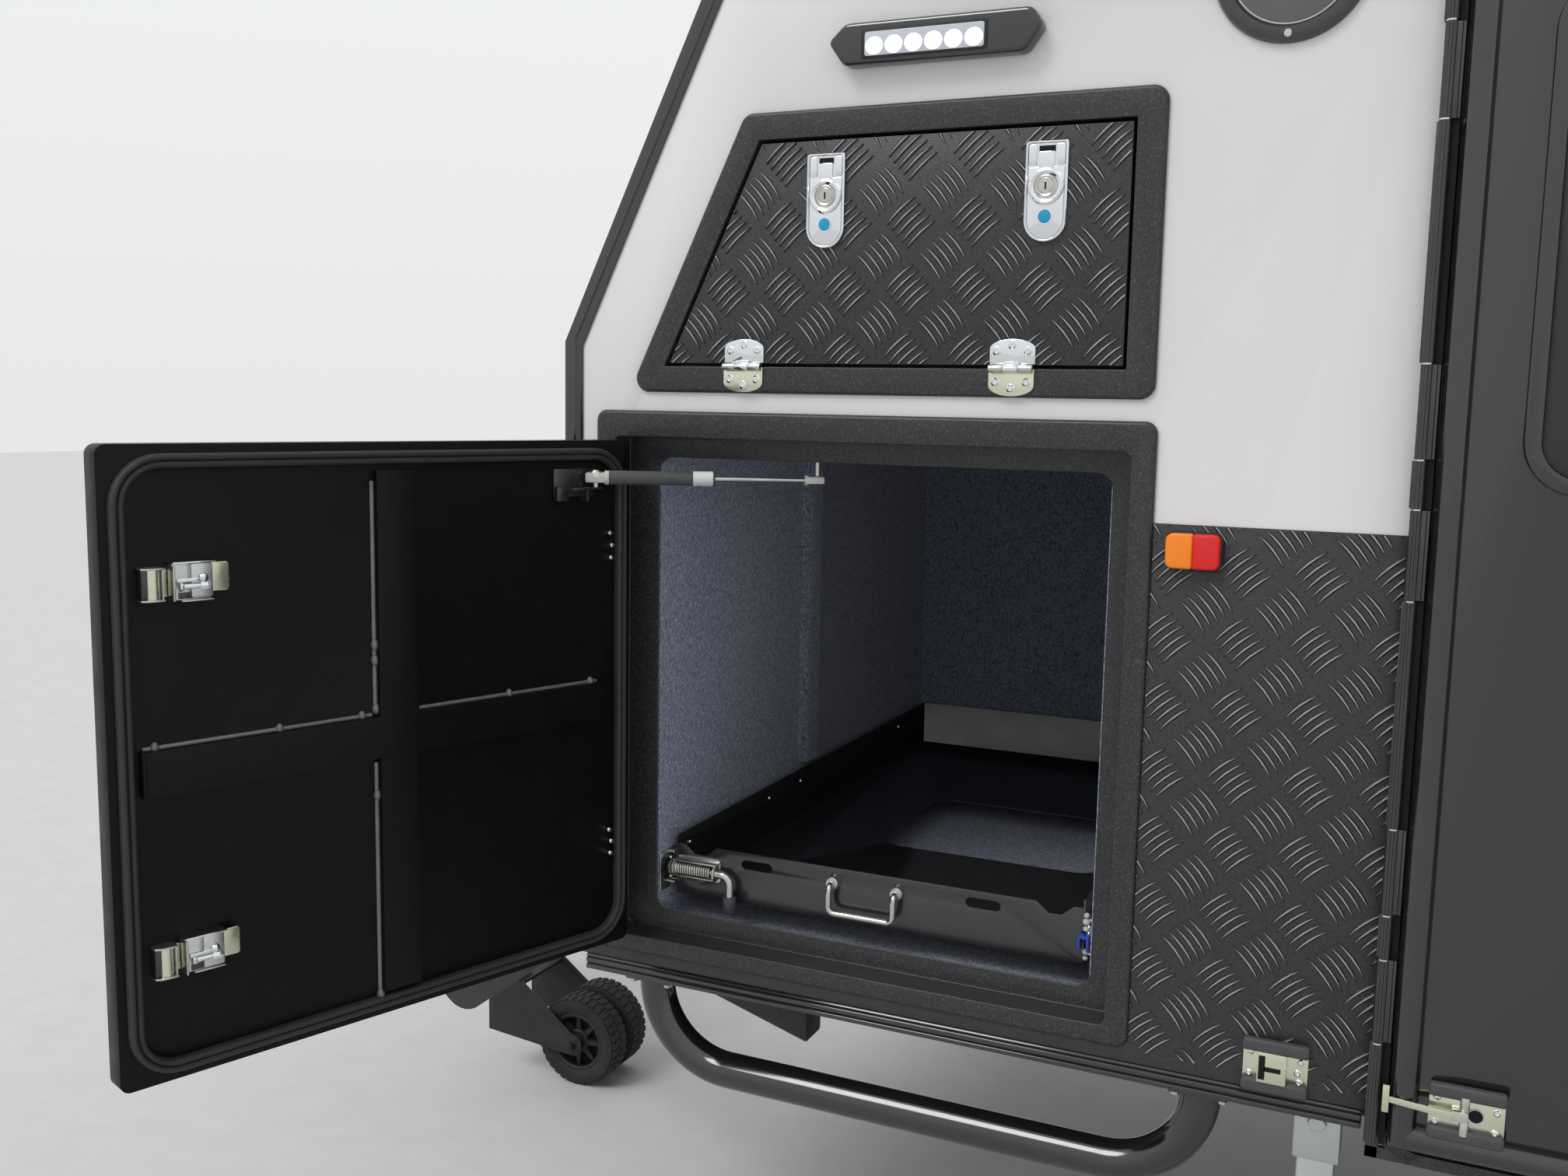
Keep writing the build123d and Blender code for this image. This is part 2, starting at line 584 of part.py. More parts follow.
def build_suspension():
    """Trailing arms with stub axles, air springs and dampers, one set each side."""
    pivot_x = AXLE_X - ARM_PIVOT_BACK
    arm_y0 = -WHEEL_Y + TYRE_WIDTH / 2 + ARM_TYRE_GAP
    arm_y1 = arm_y0 + ARM_SIZE
    angle = math.atan2(TYRE_RADIUS - ARM_PIVOT_Z, ARM_PIVOT_BACK)
    beam = Pos(pivot_x + ARM_PIVOT_BACK / 2, (arm_y0 + arm_y1) / 2, (ARM_PIVOT_Z + TYRE_RADIUS) / 2) \
        * Rot(0, -math.degrees(angle), 0) * Box(math.hypot(ARM_PIVOT_BACK, ARM_PIVOT_Z - TYRE_RADIUS), ARM_SIZE, ARM_SIZE)
    beam += pin(AXLE_X, (arm_y0 + arm_y1) / 2, TYRE_RADIUS, "y", ARM_SIZE / 2 + 8, ARM_SIZE)
    rail_out = -RAIL_SPREAD - RAIL_WIDTH / 2
    bush_y1 = -RAIL_SPREAD + RAIL_WIDTH / 2
    beam += pin(pivot_x, (arm_y0 + bush_y1) / 2, ARM_PIVOT_Z, "y", 38, bush_y1 - arm_y0)
    stub_out = -WHEEL_Y - 60
    beam += pin(AXLE_X, (arm_y0 + stub_out) / 2, TYRE_RADIUS, "y", STUB_RADIUS, arm_y0 - stub_out)
    for y in (rail_out - 8, bush_y1):
        hanger = across(outline((pivot_x - 60, RAIL_BOTTOM), (pivot_x + 60, RAIL_BOTTOM), (pivot_x + 50, 440),
                                (pivot_x - 50, 440)), y, y + 8)
        hanger -= pin(pivot_x, y + 4, ARM_PIVOT_Z, "y", 38, 12)
        keep("suspension_brackets", hanger, offside(hanger))
    spring_x = AXLE_X - 130
    seat = ARM_PIVOT_Z + (spring_x - pivot_x) * math.tan(angle) + ARM_SIZE / 2 / math.cos(angle) + 24
    low = FLOOR_UNDERSIDE - CROSS_HEIGHT
    y = arm_y0 + AIRBAG_RADIUS - 8
    r = AIRBAG_RADIUS
    height = low - seat
    profile = outline(
        (0, 0), (r * 0.75, 0), (r, height * 0.12), (r, height * 0.38), (r * 0.8, height / 2), (r, height * 0.62),
        (r, height * 0.88), (r * 0.75, height), (0, height))
    bag = Pos(spring_x, y, seat) * revolve(Plane.XZ * profile, Axis.Z)
    keep("air_springs", bag, offside(bag))
    beam += pin(spring_x, y, seat - 25, "z", r * 0.7, 50)
    keep("trailing_arms", beam, offside(beam))
    top = block(spring_x - 90, spring_x + 90, y - r, -RAIL_SPREAD - RAIL_WIDTH / 2, low, low + 12)
    keep("suspension_brackets", top, offside(top))


def rim_solid():
    """A spoked wheel with a dished barrel, built about its own centre with its face towards -Y."""
    width = RIM_WIDTH
    inner = RIM_RADIUS - 24
    profile = outline(
        (inner, -width / 2), (RIM_RADIUS + 12, -width / 2), (RIM_RADIUS + 12, -width / 2 + 10),
        (RIM_RADIUS - 8, -width / 2 + 22), (RIM_RADIUS - 8, width / 2 - 22), (RIM_RADIUS + 12, width / 2 - 10),
        (RIM_RADIUS + 12, width / 2), (RIM_RADIUS, width / 2), (inner, width / 2 - 26))
    barrel = revolve(Plane.XY * profile, Axis.Y)
    face_y = -width / 2 + 34
    hub = Pos(0, face_y + 30, 0) * Rot(90, 0, 0) * Cylinder(HUB_RADIUS, 76)
    rim = barrel + hub
    for index in range(RIM_SPOKES):
        spoke = across(outline((HUB_RADIUS - 20, -34), (inner + 6, -22), (inner + 6, 22), (HUB_RADIUS - 20, 34)),
                       face_y - 10, face_y + 22)
        rim += Rot(0, 360 / RIM_SPOKES * index, 0) * spoke
    rim -= Rot(90, 0, 0) * Cylinder(STUB_RADIUS + STUB_FIT, 400)
    cap = Pos(0, face_y - 16, 0) * Rot(90, 0, 0) * Cylinder(STUB_RADIUS + 9, 16)
    return rim + cap


def tyre_solid():
    """A tyre about its own centre, open at the bead."""
    half = TYRE_WIDTH / 2
    bead = RIM_WIDTH / 2 - 10.5
    profile = make_face(
        Polyline((RIM_RADIUS - 8, -bead + 12.5), (RIM_RADIUS + 12.3, -bead), (TYRE_RADIUS - 80, -half),
                 (TYRE_RADIUS - 40, -half), (TYRE_RADIUS, -half + TYRE_CORNER),
                 (TYRE_RADIUS, half - TYRE_CORNER), (TYRE_RADIUS - 40, half), (TYRE_RADIUS - 80, half),
                 (RIM_RADIUS + 12.3, bead), (RIM_RADIUS - 8, bead - 12.5), close=True))
    return revolve(profile, Axis.Y)


def build_wheels():
    """Road wheels, the spare, and the twin jockey wheels with their swivel fork."""
    rim = rim_solid()
    tyre = tyre_solid()
    near = Pos(AXLE_X, -WHEEL_Y, TYRE_RADIUS)
    keep("rim_near", near * rim)
    keep("tyre_near", near * tyre)
    keep("rim_off", offside(near * rim))
    keep("tyre_off", offside(near * tyre))
    keep("spare_wheel", Pos(SPARE_X, 0, SPARE_Z) * Rot(0, 0, 90) * (rim + tyre))

    stem_x = JOCKEY_X - JOCKEY_TRAIL
    half_gap = JOCKEY_WHEEL_GAP / 2
    outer_y = half_gap + JOCKEY_WHEEL_WIDTH
    for side in (-1, 1):
        y = side * (half_gap + JOCKEY_WHEEL_WIDTH / 2)
        wheel = pin(JOCKEY_X, y, JOCKEY_RADIUS, "y", JOCKEY_RADIUS, JOCKEY_WHEEL_WIDTH)
        wheel = chamfer(wheel.edges().filter_by(GeomType.CIRCLE), 9)
        dish = pin(JOCKEY_X, side * outer_y, JOCKEY_RADIUS, "y", JOCKEY_RADIUS - 26, 24)
        wheel -= dish
        wheel += pin(JOCKEY_X, side * (outer_y - 9), JOCKEY_RADIUS, "y", 26, 18)
        wheel -= pin(JOCKEY_X, y, JOCKEY_RADIUS, "y", JOCKEY_AXLE + STUB_FIT, JOCKEY_WHEEL_WIDTH + 2)
        keep("jockey_wheels", wheel)
    spacer = pin(JOCKEY_X, 0, JOCKEY_RADIUS, "y", 24, JOCKEY_WHEEL_GAP)
    spacer -= pin(JOCKEY_X, 0, JOCKEY_RADIUS, "y", JOCKEY_AXLE + STUB_FIT, JOCKEY_WHEEL_GAP + 2)
    keep("jockey_wheels", spacer)
    fork_y = outer_y + 6
    cheek = across(
        make_face(
            Polyline((JOCKEY_X, JOCKEY_RADIUS - 24), (stem_x - 30, JOCKEY_RADIUS - 6), (stem_x - 30, 190),
                     (stem_x + 60, 218), (JOCKEY_X, JOCKEY_RADIUS + 24))
            + ThreePointArc((JOCKEY_X, JOCKEY_RADIUS + 24), (JOCKEY_X + 24, JOCKEY_RADIUS),
                            (JOCKEY_X, JOCKEY_RADIUS - 24))),
        -fork_y - 6, -fork_y)
    fork = cheek + offside(cheek)
    fork += block(stem_x - 30, stem_x + 56, -fork_y - 6, fork_y + 6, 206, 214)
    fork += pin(stem_x, 0, 236, "z", 24, 44)
    fork += pin(JOCKEY_X, 0, JOCKEY_RADIUS, "y", JOCKEY_AXLE, 2 * fork_y + 44)
    keep("jockey_fork", fork)
    top = FLOOR_UNDERSIDE - CROSS_HEIGHT
    outer = block(stem_x - 30, stem_x + 30, -30, 30, 300, top + 130)
    inner = block(stem_x - 24, stem_x + 24, -24, 24, 258.3, 300)
    leg = outer + inner + pin(stem_x, 0, top + 142, "z", 14, 24)
    arm_low = top - DRAWBAR_HEIGHT + 20
    for x0, x1 in ((stem_x - 45, stem_x - 30), (stem_x + 30, stem_x + 45)):
        y0, y1 = drawbar_inside(x0), drawbar_inside(x1)
        leg += upright(outline((x0, -y0), (x1, -y1), (x1, y1), (x0, y0)), arm_low, top - 15)
    keep("jockey_leg", leg)


def build_hatch():
    """Nearside storage hatch: frame, door with braces, seal, latches and gas strut."""
    wall = -HALF
    border = across(rounded(HATCH_X, HATCH_X + HATCH_WIDTH, HATCH_TOP - HATCH_HEIGHT, HATCH_TOP, HATCH_CORNER),
                    wall - FRAME_PROUD, wall)
    border -= across(rounded(*RECESS, HATCH_CORNER - FRAME_SHEET), wall - FRAME_PROUD - 1, wall + 1)
    front_edges = border.faces().sort_by(Axis.Y)[0].outer_wire().edges()
    border = chamfer(front_edges, 3.0)
    sleeve = across(rounded(*grown(RECESS, FRAME_SHEET), HATCH_CORNER), wall, wall + JAMB_DEPTH + FRAME_SHEET)
    sleeve -= across(rounded(*RECESS, HATCH_CORNER - FRAME_SHEET), wall - 1, wall + JAMB_DEPTH)
    sleeve -= across(rounded(*OPENING, 20), wall, wall + JAMB_DEPTH + FRAME_SHEET + 1)
    frame = border + sleeve
    keep("hatch_frames", frame, offside(frame))
    x0, x1, z0, z1 = grown(RECESS, -DOOR_GAP)
    inner_y = wall + HATCH_SKIN - HATCH_PROUD
    door = across(rounded(x0, x1, z0, z1, HATCH_CORNER - FRAME_SHEET), wall - HATCH_PROUD, inner_y)
    upright_x = HATCH_PIN[0] + BRACE_UPRIGHT
    cross_z = HATCH_TOP - BRACE_CROSS_DROP
    half = BRACE_WIDTH / 2
    braces = block(upright_x - half, upright_x + half, inner_y, inner_y + BRACE_HEIGHT, OPENING[2] + 8,
                   OPENING[3] - 8)
    braces += block(OPENING[0] + 8, OPENING[1] - 8, inner_y, inner_y + BRACE_HEIGHT, cross_z - half,
                    cross_z + half)
    bracket = block(HATCH_PIN[0] + 40, HATCH_PIN[0] + 118, inner_y, inner_y + 3, HATCH_TOP - STRUT_DROP - 34,
                    HATCH_TOP - STRUT_DROP - 12)
    ball_x, ball_y = HATCH_PIN[0] + STRUT_DOOR_REACH, HATCH_PIN[1] + STRUT_DOOR_DEPTH
    stud = block(ball_x - 7, ball_x + 7, inner_y, ball_y + 7, HATCH_TOP - STRUT_DROP - 17,
                 HATCH_TOP - STRUT_DROP - 12)
    stud += pin(ball_x, ball_y, HATCH_TOP - STRUT_DROP - 6, "z", 3.5, 14)
    knuckle_z0, knuckle_z1 = z0 + 20, z1 - 20
    leaf = block(x0, x0 + 26, HATCH_PIN[1] + 2.0, wall - HATCH_PROUD, knuckle_z0, knuckle_z1)
    leaf += pin(HATCH_PIN[0], HATCH_PIN[1], (knuckle_z0 + knuckle_z1) / 2, "z", HATCH_PIN_RADIUS,
                knuckle_z1 - knuckle_z0)
    for z in HATCH_KNUCKLES:
        ends = (z - HATCH_KNUCKLE / 2, z + HATCH_KNUCKLE / 2)
        leaf -= block(HATCH_PIN[0] - 10, HATCH_PIN[0] + 10, HATCH_PIN[1] - 10, wall - HATCH_PROUD - 1,
                      ends[0] - HINGE_GAP, ends[1] + HINGE_GAP)
        fixed = pin(HATCH_PIN[0], HATCH_PIN[1], z, "z", HATCH_PIN_RADIUS, HATCH_KNUCKLE)
        fixed += block(RECESS[0] - 18, HATCH_PIN[0], HATCH_PIN[1] + 3, wall - FRAME_PROUD, *ends)
        keep("wall_fixings", fixed, offside(fixed))
    keep("hatch_door", about(door + leaf + braces, *HATCH_PIN, -HATCH_OPEN))
    keep("offside_hatch", offside(door + leaf))
    keep("hatch_hardware", about(bracket + stud, *HATCH_PIN, -HATCH_OPEN))
    seal_edges = grown(RECESS, -SEAL_INSET + SEAL_WIDTH / 2)
    seal = across(rounded(*seal_edges, SEAL_CORNER), inner_y, inner_y + SEAL_HEIGHT)
    seal -= across(rounded(*grown(seal_edges, -SEAL_WIDTH), SEAL_CORNER - SEAL_WIDTH), inner_y - 1,
                   inner_y + SEAL_HEIGHT + 1)
    keep("hatch_seal", about(seal, *HATCH_PIN, -HATCH_OPEN))
    for z in (HATCH_TOP - 176, HATCH_TOP - 568):
        plate_x1 = OPENING[1] - 10
        latch = across(rounded(plate_x1 - 92, plate_x1, z - 29, z + 29, 6), inner_y, inner_y + 3)
        latch += across(rounded(plate_x1 - 66, plate_x1 - 12, z - 17, z + 17, 5), inner_y + 3, inner_y + 14)
        outer = across(rounded(plate_x1 - 100, plate_x1 + 2, z - 36, z + 36, 8), wall - HATCH_PROUD - 9,
                       wall - HATCH_PROUD)
        keep("hatch_hardware", about(latch, *HATCH_PIN, -HATCH_OPEN), about(outer, *HATCH_PIN, -HATCH_OPEN))

    z = HATCH_TOP - STRUT_DROP
    start = about(Pos(ball_x, ball_y, z) * Sphere(1), *HATCH_PIN, -HATCH_OPEN).center()
    end = Vector(STRUT_FRAME_X, -HALF + STRUT_FRAME_DEPTH, z)
    run = end - start
    length = run.length
    heading = math.degrees(math.atan2(run.Y, run.X))
    place = Pos(start.X, start.Y, z) * Rot(0, 0, heading)
    cylinder = Pos((14 + STRUT_CYLINDER_LENGTH) / 2, 0, 0) * Rot(0, 90, 0) \
        * Cylinder(STRUT_CYLINDER, STRUT_CYLINDER_LENGTH - 14)
    cylinder += pin(0, 0, 0, "z", 6.5, 9) + Pos(8, 0, 0) * Box(16, 13, 9)
    cylinder -= pin(0, 0, 0, "z", 3.6, 20)
    cylinder -= Pos((length + 30) / 2 + 15, 0, 0) * Rot(0, 90, 0) * Cylinder(STRUT_ROD + 0.05, length)
    keep("strut_cylinder", place * cylinder)
    rod = Pos(length - 70, 0, 0) * Rot(0, 90, 0) * Cylinder(STRUT_ROD, 140 - 16)
    eye = Pos(length - 4, 0, 0) * Box(22, 13, STRUT_EYE)
    keep("strut_rod", place * (rod + eye))
    foot = z + STRUT_EYE / 2 + STRUT_ANCHOR_GAP
    anchor = pin(end.X, end.Y, (foot + LINER_TOP) / 2, "z", 3.5, LINER_TOP - foot)
    anchor += block(end.X - 18, end.X + 18, end.Y - 4, end.Y + 12, LINER_TOP - 4, LINER_TOP)
    keep("storage_metalwork", anchor)


def build_storage():
    """Carpeted compartment behind the hatch with its slides, tray, handle and lock bolt."""
    front = -HALF + JAMB_DEPTH + FRAME_SHEET
    back = -HALF + LINER_DEPTH
    x0, x1 = OPENING[0], LINER_REAR
    liner = block(x0 - LINER, x1 + LINER, front, back + LINER, LINER_FLOOR - LINER, LINER_TOP + LINER)
    off_liner = liner & block(0, x1 + LINER, front, -back - LINER, 0, WALL_TOP)
    off_liner -= block(x0, x1, front - 1, -back - 2 * LINER, LINER_FLOOR, LINER_TOP)
    keep("storage_liners", offside(off_liner))
    liner -= block(x0, x1, front - 1, back, LINER_FLOOR, LINER_TOP)
    column = upright(rounded(x0 - 20, x0 + PILASTER_PROUD, -HALF + PILASTER_DEPTH,
                             -HALF + PILASTER_DEPTH + PILASTER_WIDTH, 14), TRAY_UNDERSIDE + TRAY_WALL_HEIGHT + 6,
                     LINER_TOP)
    column &= block(x0, x1, front, back, LINER_FLOOR, LINER_TOP)
    keep("storage_liners", liner + column)

    y0, y1 = -HALF + TRAY_FRONT, -HALF + TRAY_FRONT + TRAY_LENGTH
    z0 = TRAY_UNDERSIDE
    slide_z0 = z0 + 14
    slide_z1 = slide_z0 + SLIDE_HEIGHT
    tray_x0, tray_x1 = x0 + SLIDE_THICKNESS + SLIDE_GAP, x1 - SLIDE_THICKNESS - SLIDE_GAP
    for wall_x, sign in ((x0, 1), (x1, -1)):
        ends = sorted((wall_x, wall_x + sign * SLIDE_THICKNESS))
        rail = block(ends[0], ends[1], y0 + 4, y1, slide_z0, slide_z1)
        cut = sorted((wall_x + sign * 3, wall_x + sign * (SLIDE_THICKNESS + 1)))
        rail -= block(cut[0], cut[1], y0, y1 + 1, slide_z0 + 4, slide_z1 - 4)
        keep("storage_metalwork", rail)
    floor = block(tray_x0, tray_x1, y0, y1, z0, z0 + TRAY_SHEET)
    hole = rounded(tray_x0 + 170, tray_x1 - 60, y0 + 340, y0 + 630, 40)
    floor -= upright(hole, z0 - 1, z0 + TRAY_SHEET + 1)
    tray = floor
    tray += block(tray_x0, tray_x0 + TRAY_SHEET, y0, y1, z0, z0 + TRAY_WALL_HEIGHT)
    tray += block(tray_x1 - TRAY_SHEET, tray_x1, y0, y1, z0, z0 + TRAY_WALL_HEIGHT)
    tray += block(tray_x0, tray_x1, y1 - TRAY_SHEET, y1, z0, z0 + TRAY_WALL_HEIGHT)
    top = z0 + TRAY_PANEL_HEIGHT
    dip = top - NOTCH_DEPTH
    panel = outline(
        (tray_x0, z0), (tray_x0, top), (tray_x0 + 14, top), (tray_x0 + 30, dip), (tray_x0 + 46, dip),
        (tray_x0 + 62, top), (tray_x1 - 62, top), (tray_x1 - 46, dip), (tray_x1 - 30, dip), (tray_x1 - 14, top),
        (tray_x1, top), (tray_x1, z0))
    for slot_x in (tray_x0 + 124, tray_x1 - 130):
        panel -= Pos(slot_x, top - 16) * SlotOverall(46, 13)
    tray += across(panel, y0, y0 + TRAY_SHEET)
    for wall_x, sign in ((tray_x0, -1), (tray_x1, 1)):
        ends = sorted((wall_x, wall_x + sign * (SLIDE_THICKNESS - 4)))
        tray += block(ends[0], ends[1], y0 + 6, y1 - 4, slide_z0 + 5, slide_z1 - 5)
    keep("slide_tray", tray)

    middle = (tray_x0 + tray_x1) / 2 - 4
    grip_z = top - 20
    grip_y = y0 - GRIP_STANDOFF
    grip = bar([(middle - 45, y0, grip_z), (middle - 45, grip_y, grip_z), (middle - 45, grip_y, grip_z - 36),
                (middle + 45, grip_y, grip_z - 36), (middle + 45, grip_y, grip_z), (middle + 45, y0, grip_z)],
               8, 5)
    for x in (middle - 45, middle + 45):
        grip += pin(x, y0 - 4, grip_z, "y", 9, 8)
    keep("tray_hardware", grip)
    bolt_z = z0 + 40
    bolt_x = tray_x0 + 4
    bracket = block(bolt_x, bolt_x + 66, y0 - 3, y0, bolt_z - 16, bolt_z + 16)
    for x in (bolt_x, bolt_x + 62):
        bracket += block(x, x + 4, y0 - 24, y0, bolt_z - 12, bolt_z + 12)
    bolt = bar([(tray_x0 - 6, y0 - 13, bolt_z), (bolt_x + 86, y0 - 13, bolt_z), (bolt_x + 86, y0 - 13, bolt_z - 36)],
               12, 6)
    sleeve = pin(bolt_x + 86, y0 - 13, bolt_z - 40, "z", 9, 22)
    bracket += bolt
    bracket += sleeve
    bracket += pin(bolt_x + 33, y0 - 13, bolt_z, "x", 10, 54)
    keep("tray_hardware", bracket)
    keeper = block(x0, x0 + 3, front + 2, y0 + 2, bolt_z - 34, bolt_z + 20)
    keep("storage_metalwork", keeper)


def build_locker():
    """Upper locker: frame, drop-down hatch, hinges, latches and the hollow behind."""
    wall = -HALF
    border = across(fillet(locker_outline(0).vertices(), 18), wall - FRAME_PROUD, wall)
    border -= across(locker_outline(LOCKER_BORDER), wall - FRAME_PROUD - 1, wall + 1)
    border = chamfer(border.faces().sort_by(Axis.Y)[0].outer_wire().edges(), 3.0)
    sleeve = across(locker_outline(LOCKER_BORDER - FRAME_SHEET), wall, wall + JAMB_DEPTH + FRAME_SHEET)
    sleeve -= across(locker_outline(LOCKER_BORDER), wall - 1, wall + JAMB_DEPTH)
    sleeve -= across(locker_outline(LOCKER_BORDER + 22), wall, wall + JAMB_DEPTH + FRAME_SHEET + 1)
    keep("locker_frame", border + sleeve)
    front = wall + JAMB_DEPTH + FRAME_SHEET
    liner = across(locker_outline(LOCKER_BORDER + 10), front, wall + LOCKER_DEPTH)
    liner -= across(locker_outline(LOCKER_BORDER + 22), front - 1, wall + LOCKER_DEPTH - LINER)
    keep("storage_liners", liner)
    skin = across(locker_outline(LOCKER_BORDER + DOOR_GAP), wall - HATCH_PROUD, wall + LOCKER_SKIN - HATCH_PROUD)
    low = LOCKER_BOTTOM + LOCKER_BORDER
    corner = LOCKER_FRONT_BOTTOM + LOCKER_BORDER * FRONT_TAN + LOCKER_BORDER / math.cos(math.radians(FRONT_SLANT))
    relief = outline((corner - LOCKER_RELIEF, low), (corner + LOCKER_RELIEF + DOOR_GAP, low),
                     (corner + LOCKER_RELIEF_HEIGHT * FRONT_TAN + DOOR_GAP, low + LOCKER_RELIEF_HEIGHT),
                     (corner + LOCKER_RELIEF_HEIGHT * FRONT_TAN - LOCKER_RELIEF, low + LOCKER_RELIEF_HEIGHT))
    skin -= across(relief, wall - HATCH_PROUD + LOCKER_EDGE_SHEET, wall + LOCKER_SKIN)
    keep("locker_hatch", skin)
    y_pin, z_pin = LOCKER_PIN
    for x in LOCKER_HINGES:
        leaf = across(rounded(x - 27, x + 27, z_pin - 31, z_pin - 0.5, 9), wall - FRAME_PROUD - 1.5, wall - FRAME_PROUD)
        middle = LOCKER_KNUCKLE + HINGE_GAP
        fixed = leaf + pin(x, y_pin, z_pin, "x", 4.5, 50)
        fixed -= block(x - middle, x + middle, y_pin - 10, wall - FRAME_PROUD + 1, z_pin - 5, z_pin + 5)
        keep("wall_fixings", fixed)
        face = wall - HATCH_PROUD
        upper = across(rounded(x - 27, x + 27, z_pin + 5.2, z_pin + 33, 9), face - 2.0, face)
        upper += block(x - LOCKER_KNUCKLE, x + LOCKER_KNUCKLE, y_pin, face, z_pin + 0.8, z_pin + 8)
        upper += pin(x, y_pin, z_pin, "x", 4.5, 2 * LOCKER_KNUCKLE)
        keep("locker_hardware", upper)
    top = LOCKER_TOP - LOCKER_BORDER - 20
    for x in LOCKER_LATCHES:
        body = across(rounded(x - 24.5, x + 24.5, top - 112, top, 6), wall - HATCH_PROUD - 6, wall - HATCH_PROUD)
        body += across(rounded(x - 13, x + 13, top - 92, top - 22, 6), wall - HATCH_PROUD - 20,
                       wall - HATCH_PROUD - 6)
        keep("locker_hardware", body)


def build_entry():
    """Entry door with its frame, window, grab moulding, handle and hold-back catch."""
    wall = -HALF
    frame = across(entry_face(0), wall - FRAME_PROUD, wall) - across(entry_face(-ENTRY_BORDER), wall - 20, wall + 1)
    sleeve = across(entry_face(-ENTRY_BORDER), wall, wall + WALL) - across(entry_face(-ENTRY_BORDER - 3), wall - 1,
                                                                          wall + WALL + 1)
    lower = across(entry_face(-ENTRY_BORDER - 3), wall + WALL - 4, wall + WALL) \
        - across(entry_face(-ENTRY_BORDER - 22), wall, wall + WALL + 1)
    keep("entry_frame", frame + sleeve + lower)
    door = across(entry_face(-ENTRY_BORDER - 3 - DOOR_GAP), wall - ENTRY_PROUD, wall + WALL - 4 - 5)
    x0, x1, z0, z1 = ENTRY_WINDOW
    x0, x1 = ENTRY_X + x0, ENTRY_X + x1
    door -= across(window_face(x0, x1, z0, z1), wall - 50, wall + 50)
    ring = across(window_face(x0, x1, z0, z1), wall - ENTRY_PROUD - 8, wall - ENTRY_PROUD + 16)
    ring -= across(window_face(x0, x1, z0, z1, -16), wall - 60, wall + 60)
    pane = across(window_face(x0, x1, z0, z1, -16), wall - ENTRY_PROUD - 2, wall - ENTRY_PROUD - 2 + PANE)
    keep("entry_door", door + ring)
    keep("entry_window", pane)
    low, high = ENTRY_BOTTOM + 60, ENTRY_TOP - 90
    rib = make_face(Polyline((-14, 0), (14, 0)) + ThreePointArc((14, 0), (0, -13), (-14, 0)))
    moulding = Pos(ENTRY_X + 48, wall - ENTRY_PROUD, low) * extrude(rib, high - low)
    keep("entry_hardware", moulding)
    face_y = wall - ENTRY_PROUD
    handle = across(rounded(ENTRY_X + 596, ENTRY_X + 664, 1240, 1390, 12), face_y - 8, face_y)
    handle += across(rounded(ENTRY_X + 610, ENTRY_X + 650, 1262, 1368, 8), face_y - 26, face_y - 8)
    keep("entry_hardware", handle)
    catch = across(rounded(ENTRY_X + 61, ENTRY_X + 135, 735, 796, 8), face_y - 6, face_y)
    catch -= moulding
    catch += across(rounded(ENTRY_X + 76, ENTRY_X + 118, 756, 776, 5), face_y - 13, face_y - 6)
    keep("entry_hardware", catch.solids().sort_by(SortBy.VOLUME)[-1])
    base = across(rounded(909, 979, 742, 802, 8), wall - TREAD_THICKNESS - 6, wall - TREAD_THICKNESS)
    base += across(rounded(924, 966, 760, 784, 5), wall - TREAD_THICKNESS - 14, wall - TREAD_THICKNESS - 6)
    keep("wall_fixings", base)
    hinge_x, hinge_y = ENTRY_PIN
    for z in (ENTRY_BOTTOM + 150, (ENTRY_BOTTOM + ENTRY_TOP) / 2, ENTRY_TOP - 150):
        high = z - HINGE_GAP
        lug = block(hinge_x - 5, hinge_x + 26, wall - ENTRY_PROUD - 5, wall - ENTRY_PROUD, z - 40, high)
        lug += pin(hinge_x, hinge_y, (z - 40 + high) / 2, "z", 7, high - z + 40)
        lug += block(hinge_x - 7, hinge_x + 7, hinge_y, wall - ENTRY_PROUD - 1, z - 40, high)
        fixed = block(hinge_x - 7, hinge_x + 3, hinge_y, wall - FRAME_PROUD, z, z + 36)
        fixed += pin(hinge_x, hinge_y, z + 18, "z", 7, 36)
        keep("entry_hardware", lug)
        keep("wall_fixings", fixed)


def build_windows():
    """Hinged acrylic windows in the side walls and a fixed one in the rear."""
    wall = -HALF
    for side, front, rear, low, high in SIDE_WINDOWS:
        ring = across(window_face(front, rear, low, high, WINDOW_BORDER), wall - 9, wall)
        ring -= across(window_face(front, rear, low, high, -6), wall - 20, wall + 20)
        ring += across(window_face(front, rear, low, high), wall, wall + WALL) \
            - across(window_face(front, rear, low, high, -6), wall - 20, wall + 50)
        pane = across(window_face(front, rear, low, high, 12), wall - 9 - PANE, wall - 9)
        if side == "off":
            ring, pane = offside(ring), offside(pane)
        keep("window_frames", ring)
        keep("window_panes", pane)
    y0, y1, z0, z1 = REAR_WINDOW
    x = BODY_LENGTH
    ring = along(rounded(y0 - 26, y1 + 26, z0 - 26, z1 + 26, WINDOW_CORNER + 26), x, x + 9)
    ring -= along(rounded(y0 + 6, y1 - 6, z0 + 6, z1 - 6, WINDOW_CORNER - 6), x - 5, x + 20)
    keep("window_frames", ring)
    keep("window_panes", along(rounded(y0 - 12, y1 + 12, z0 - 12, z1 + 12, WINDOW_CORNER + 12), x + 9, x + 9 + PANE))


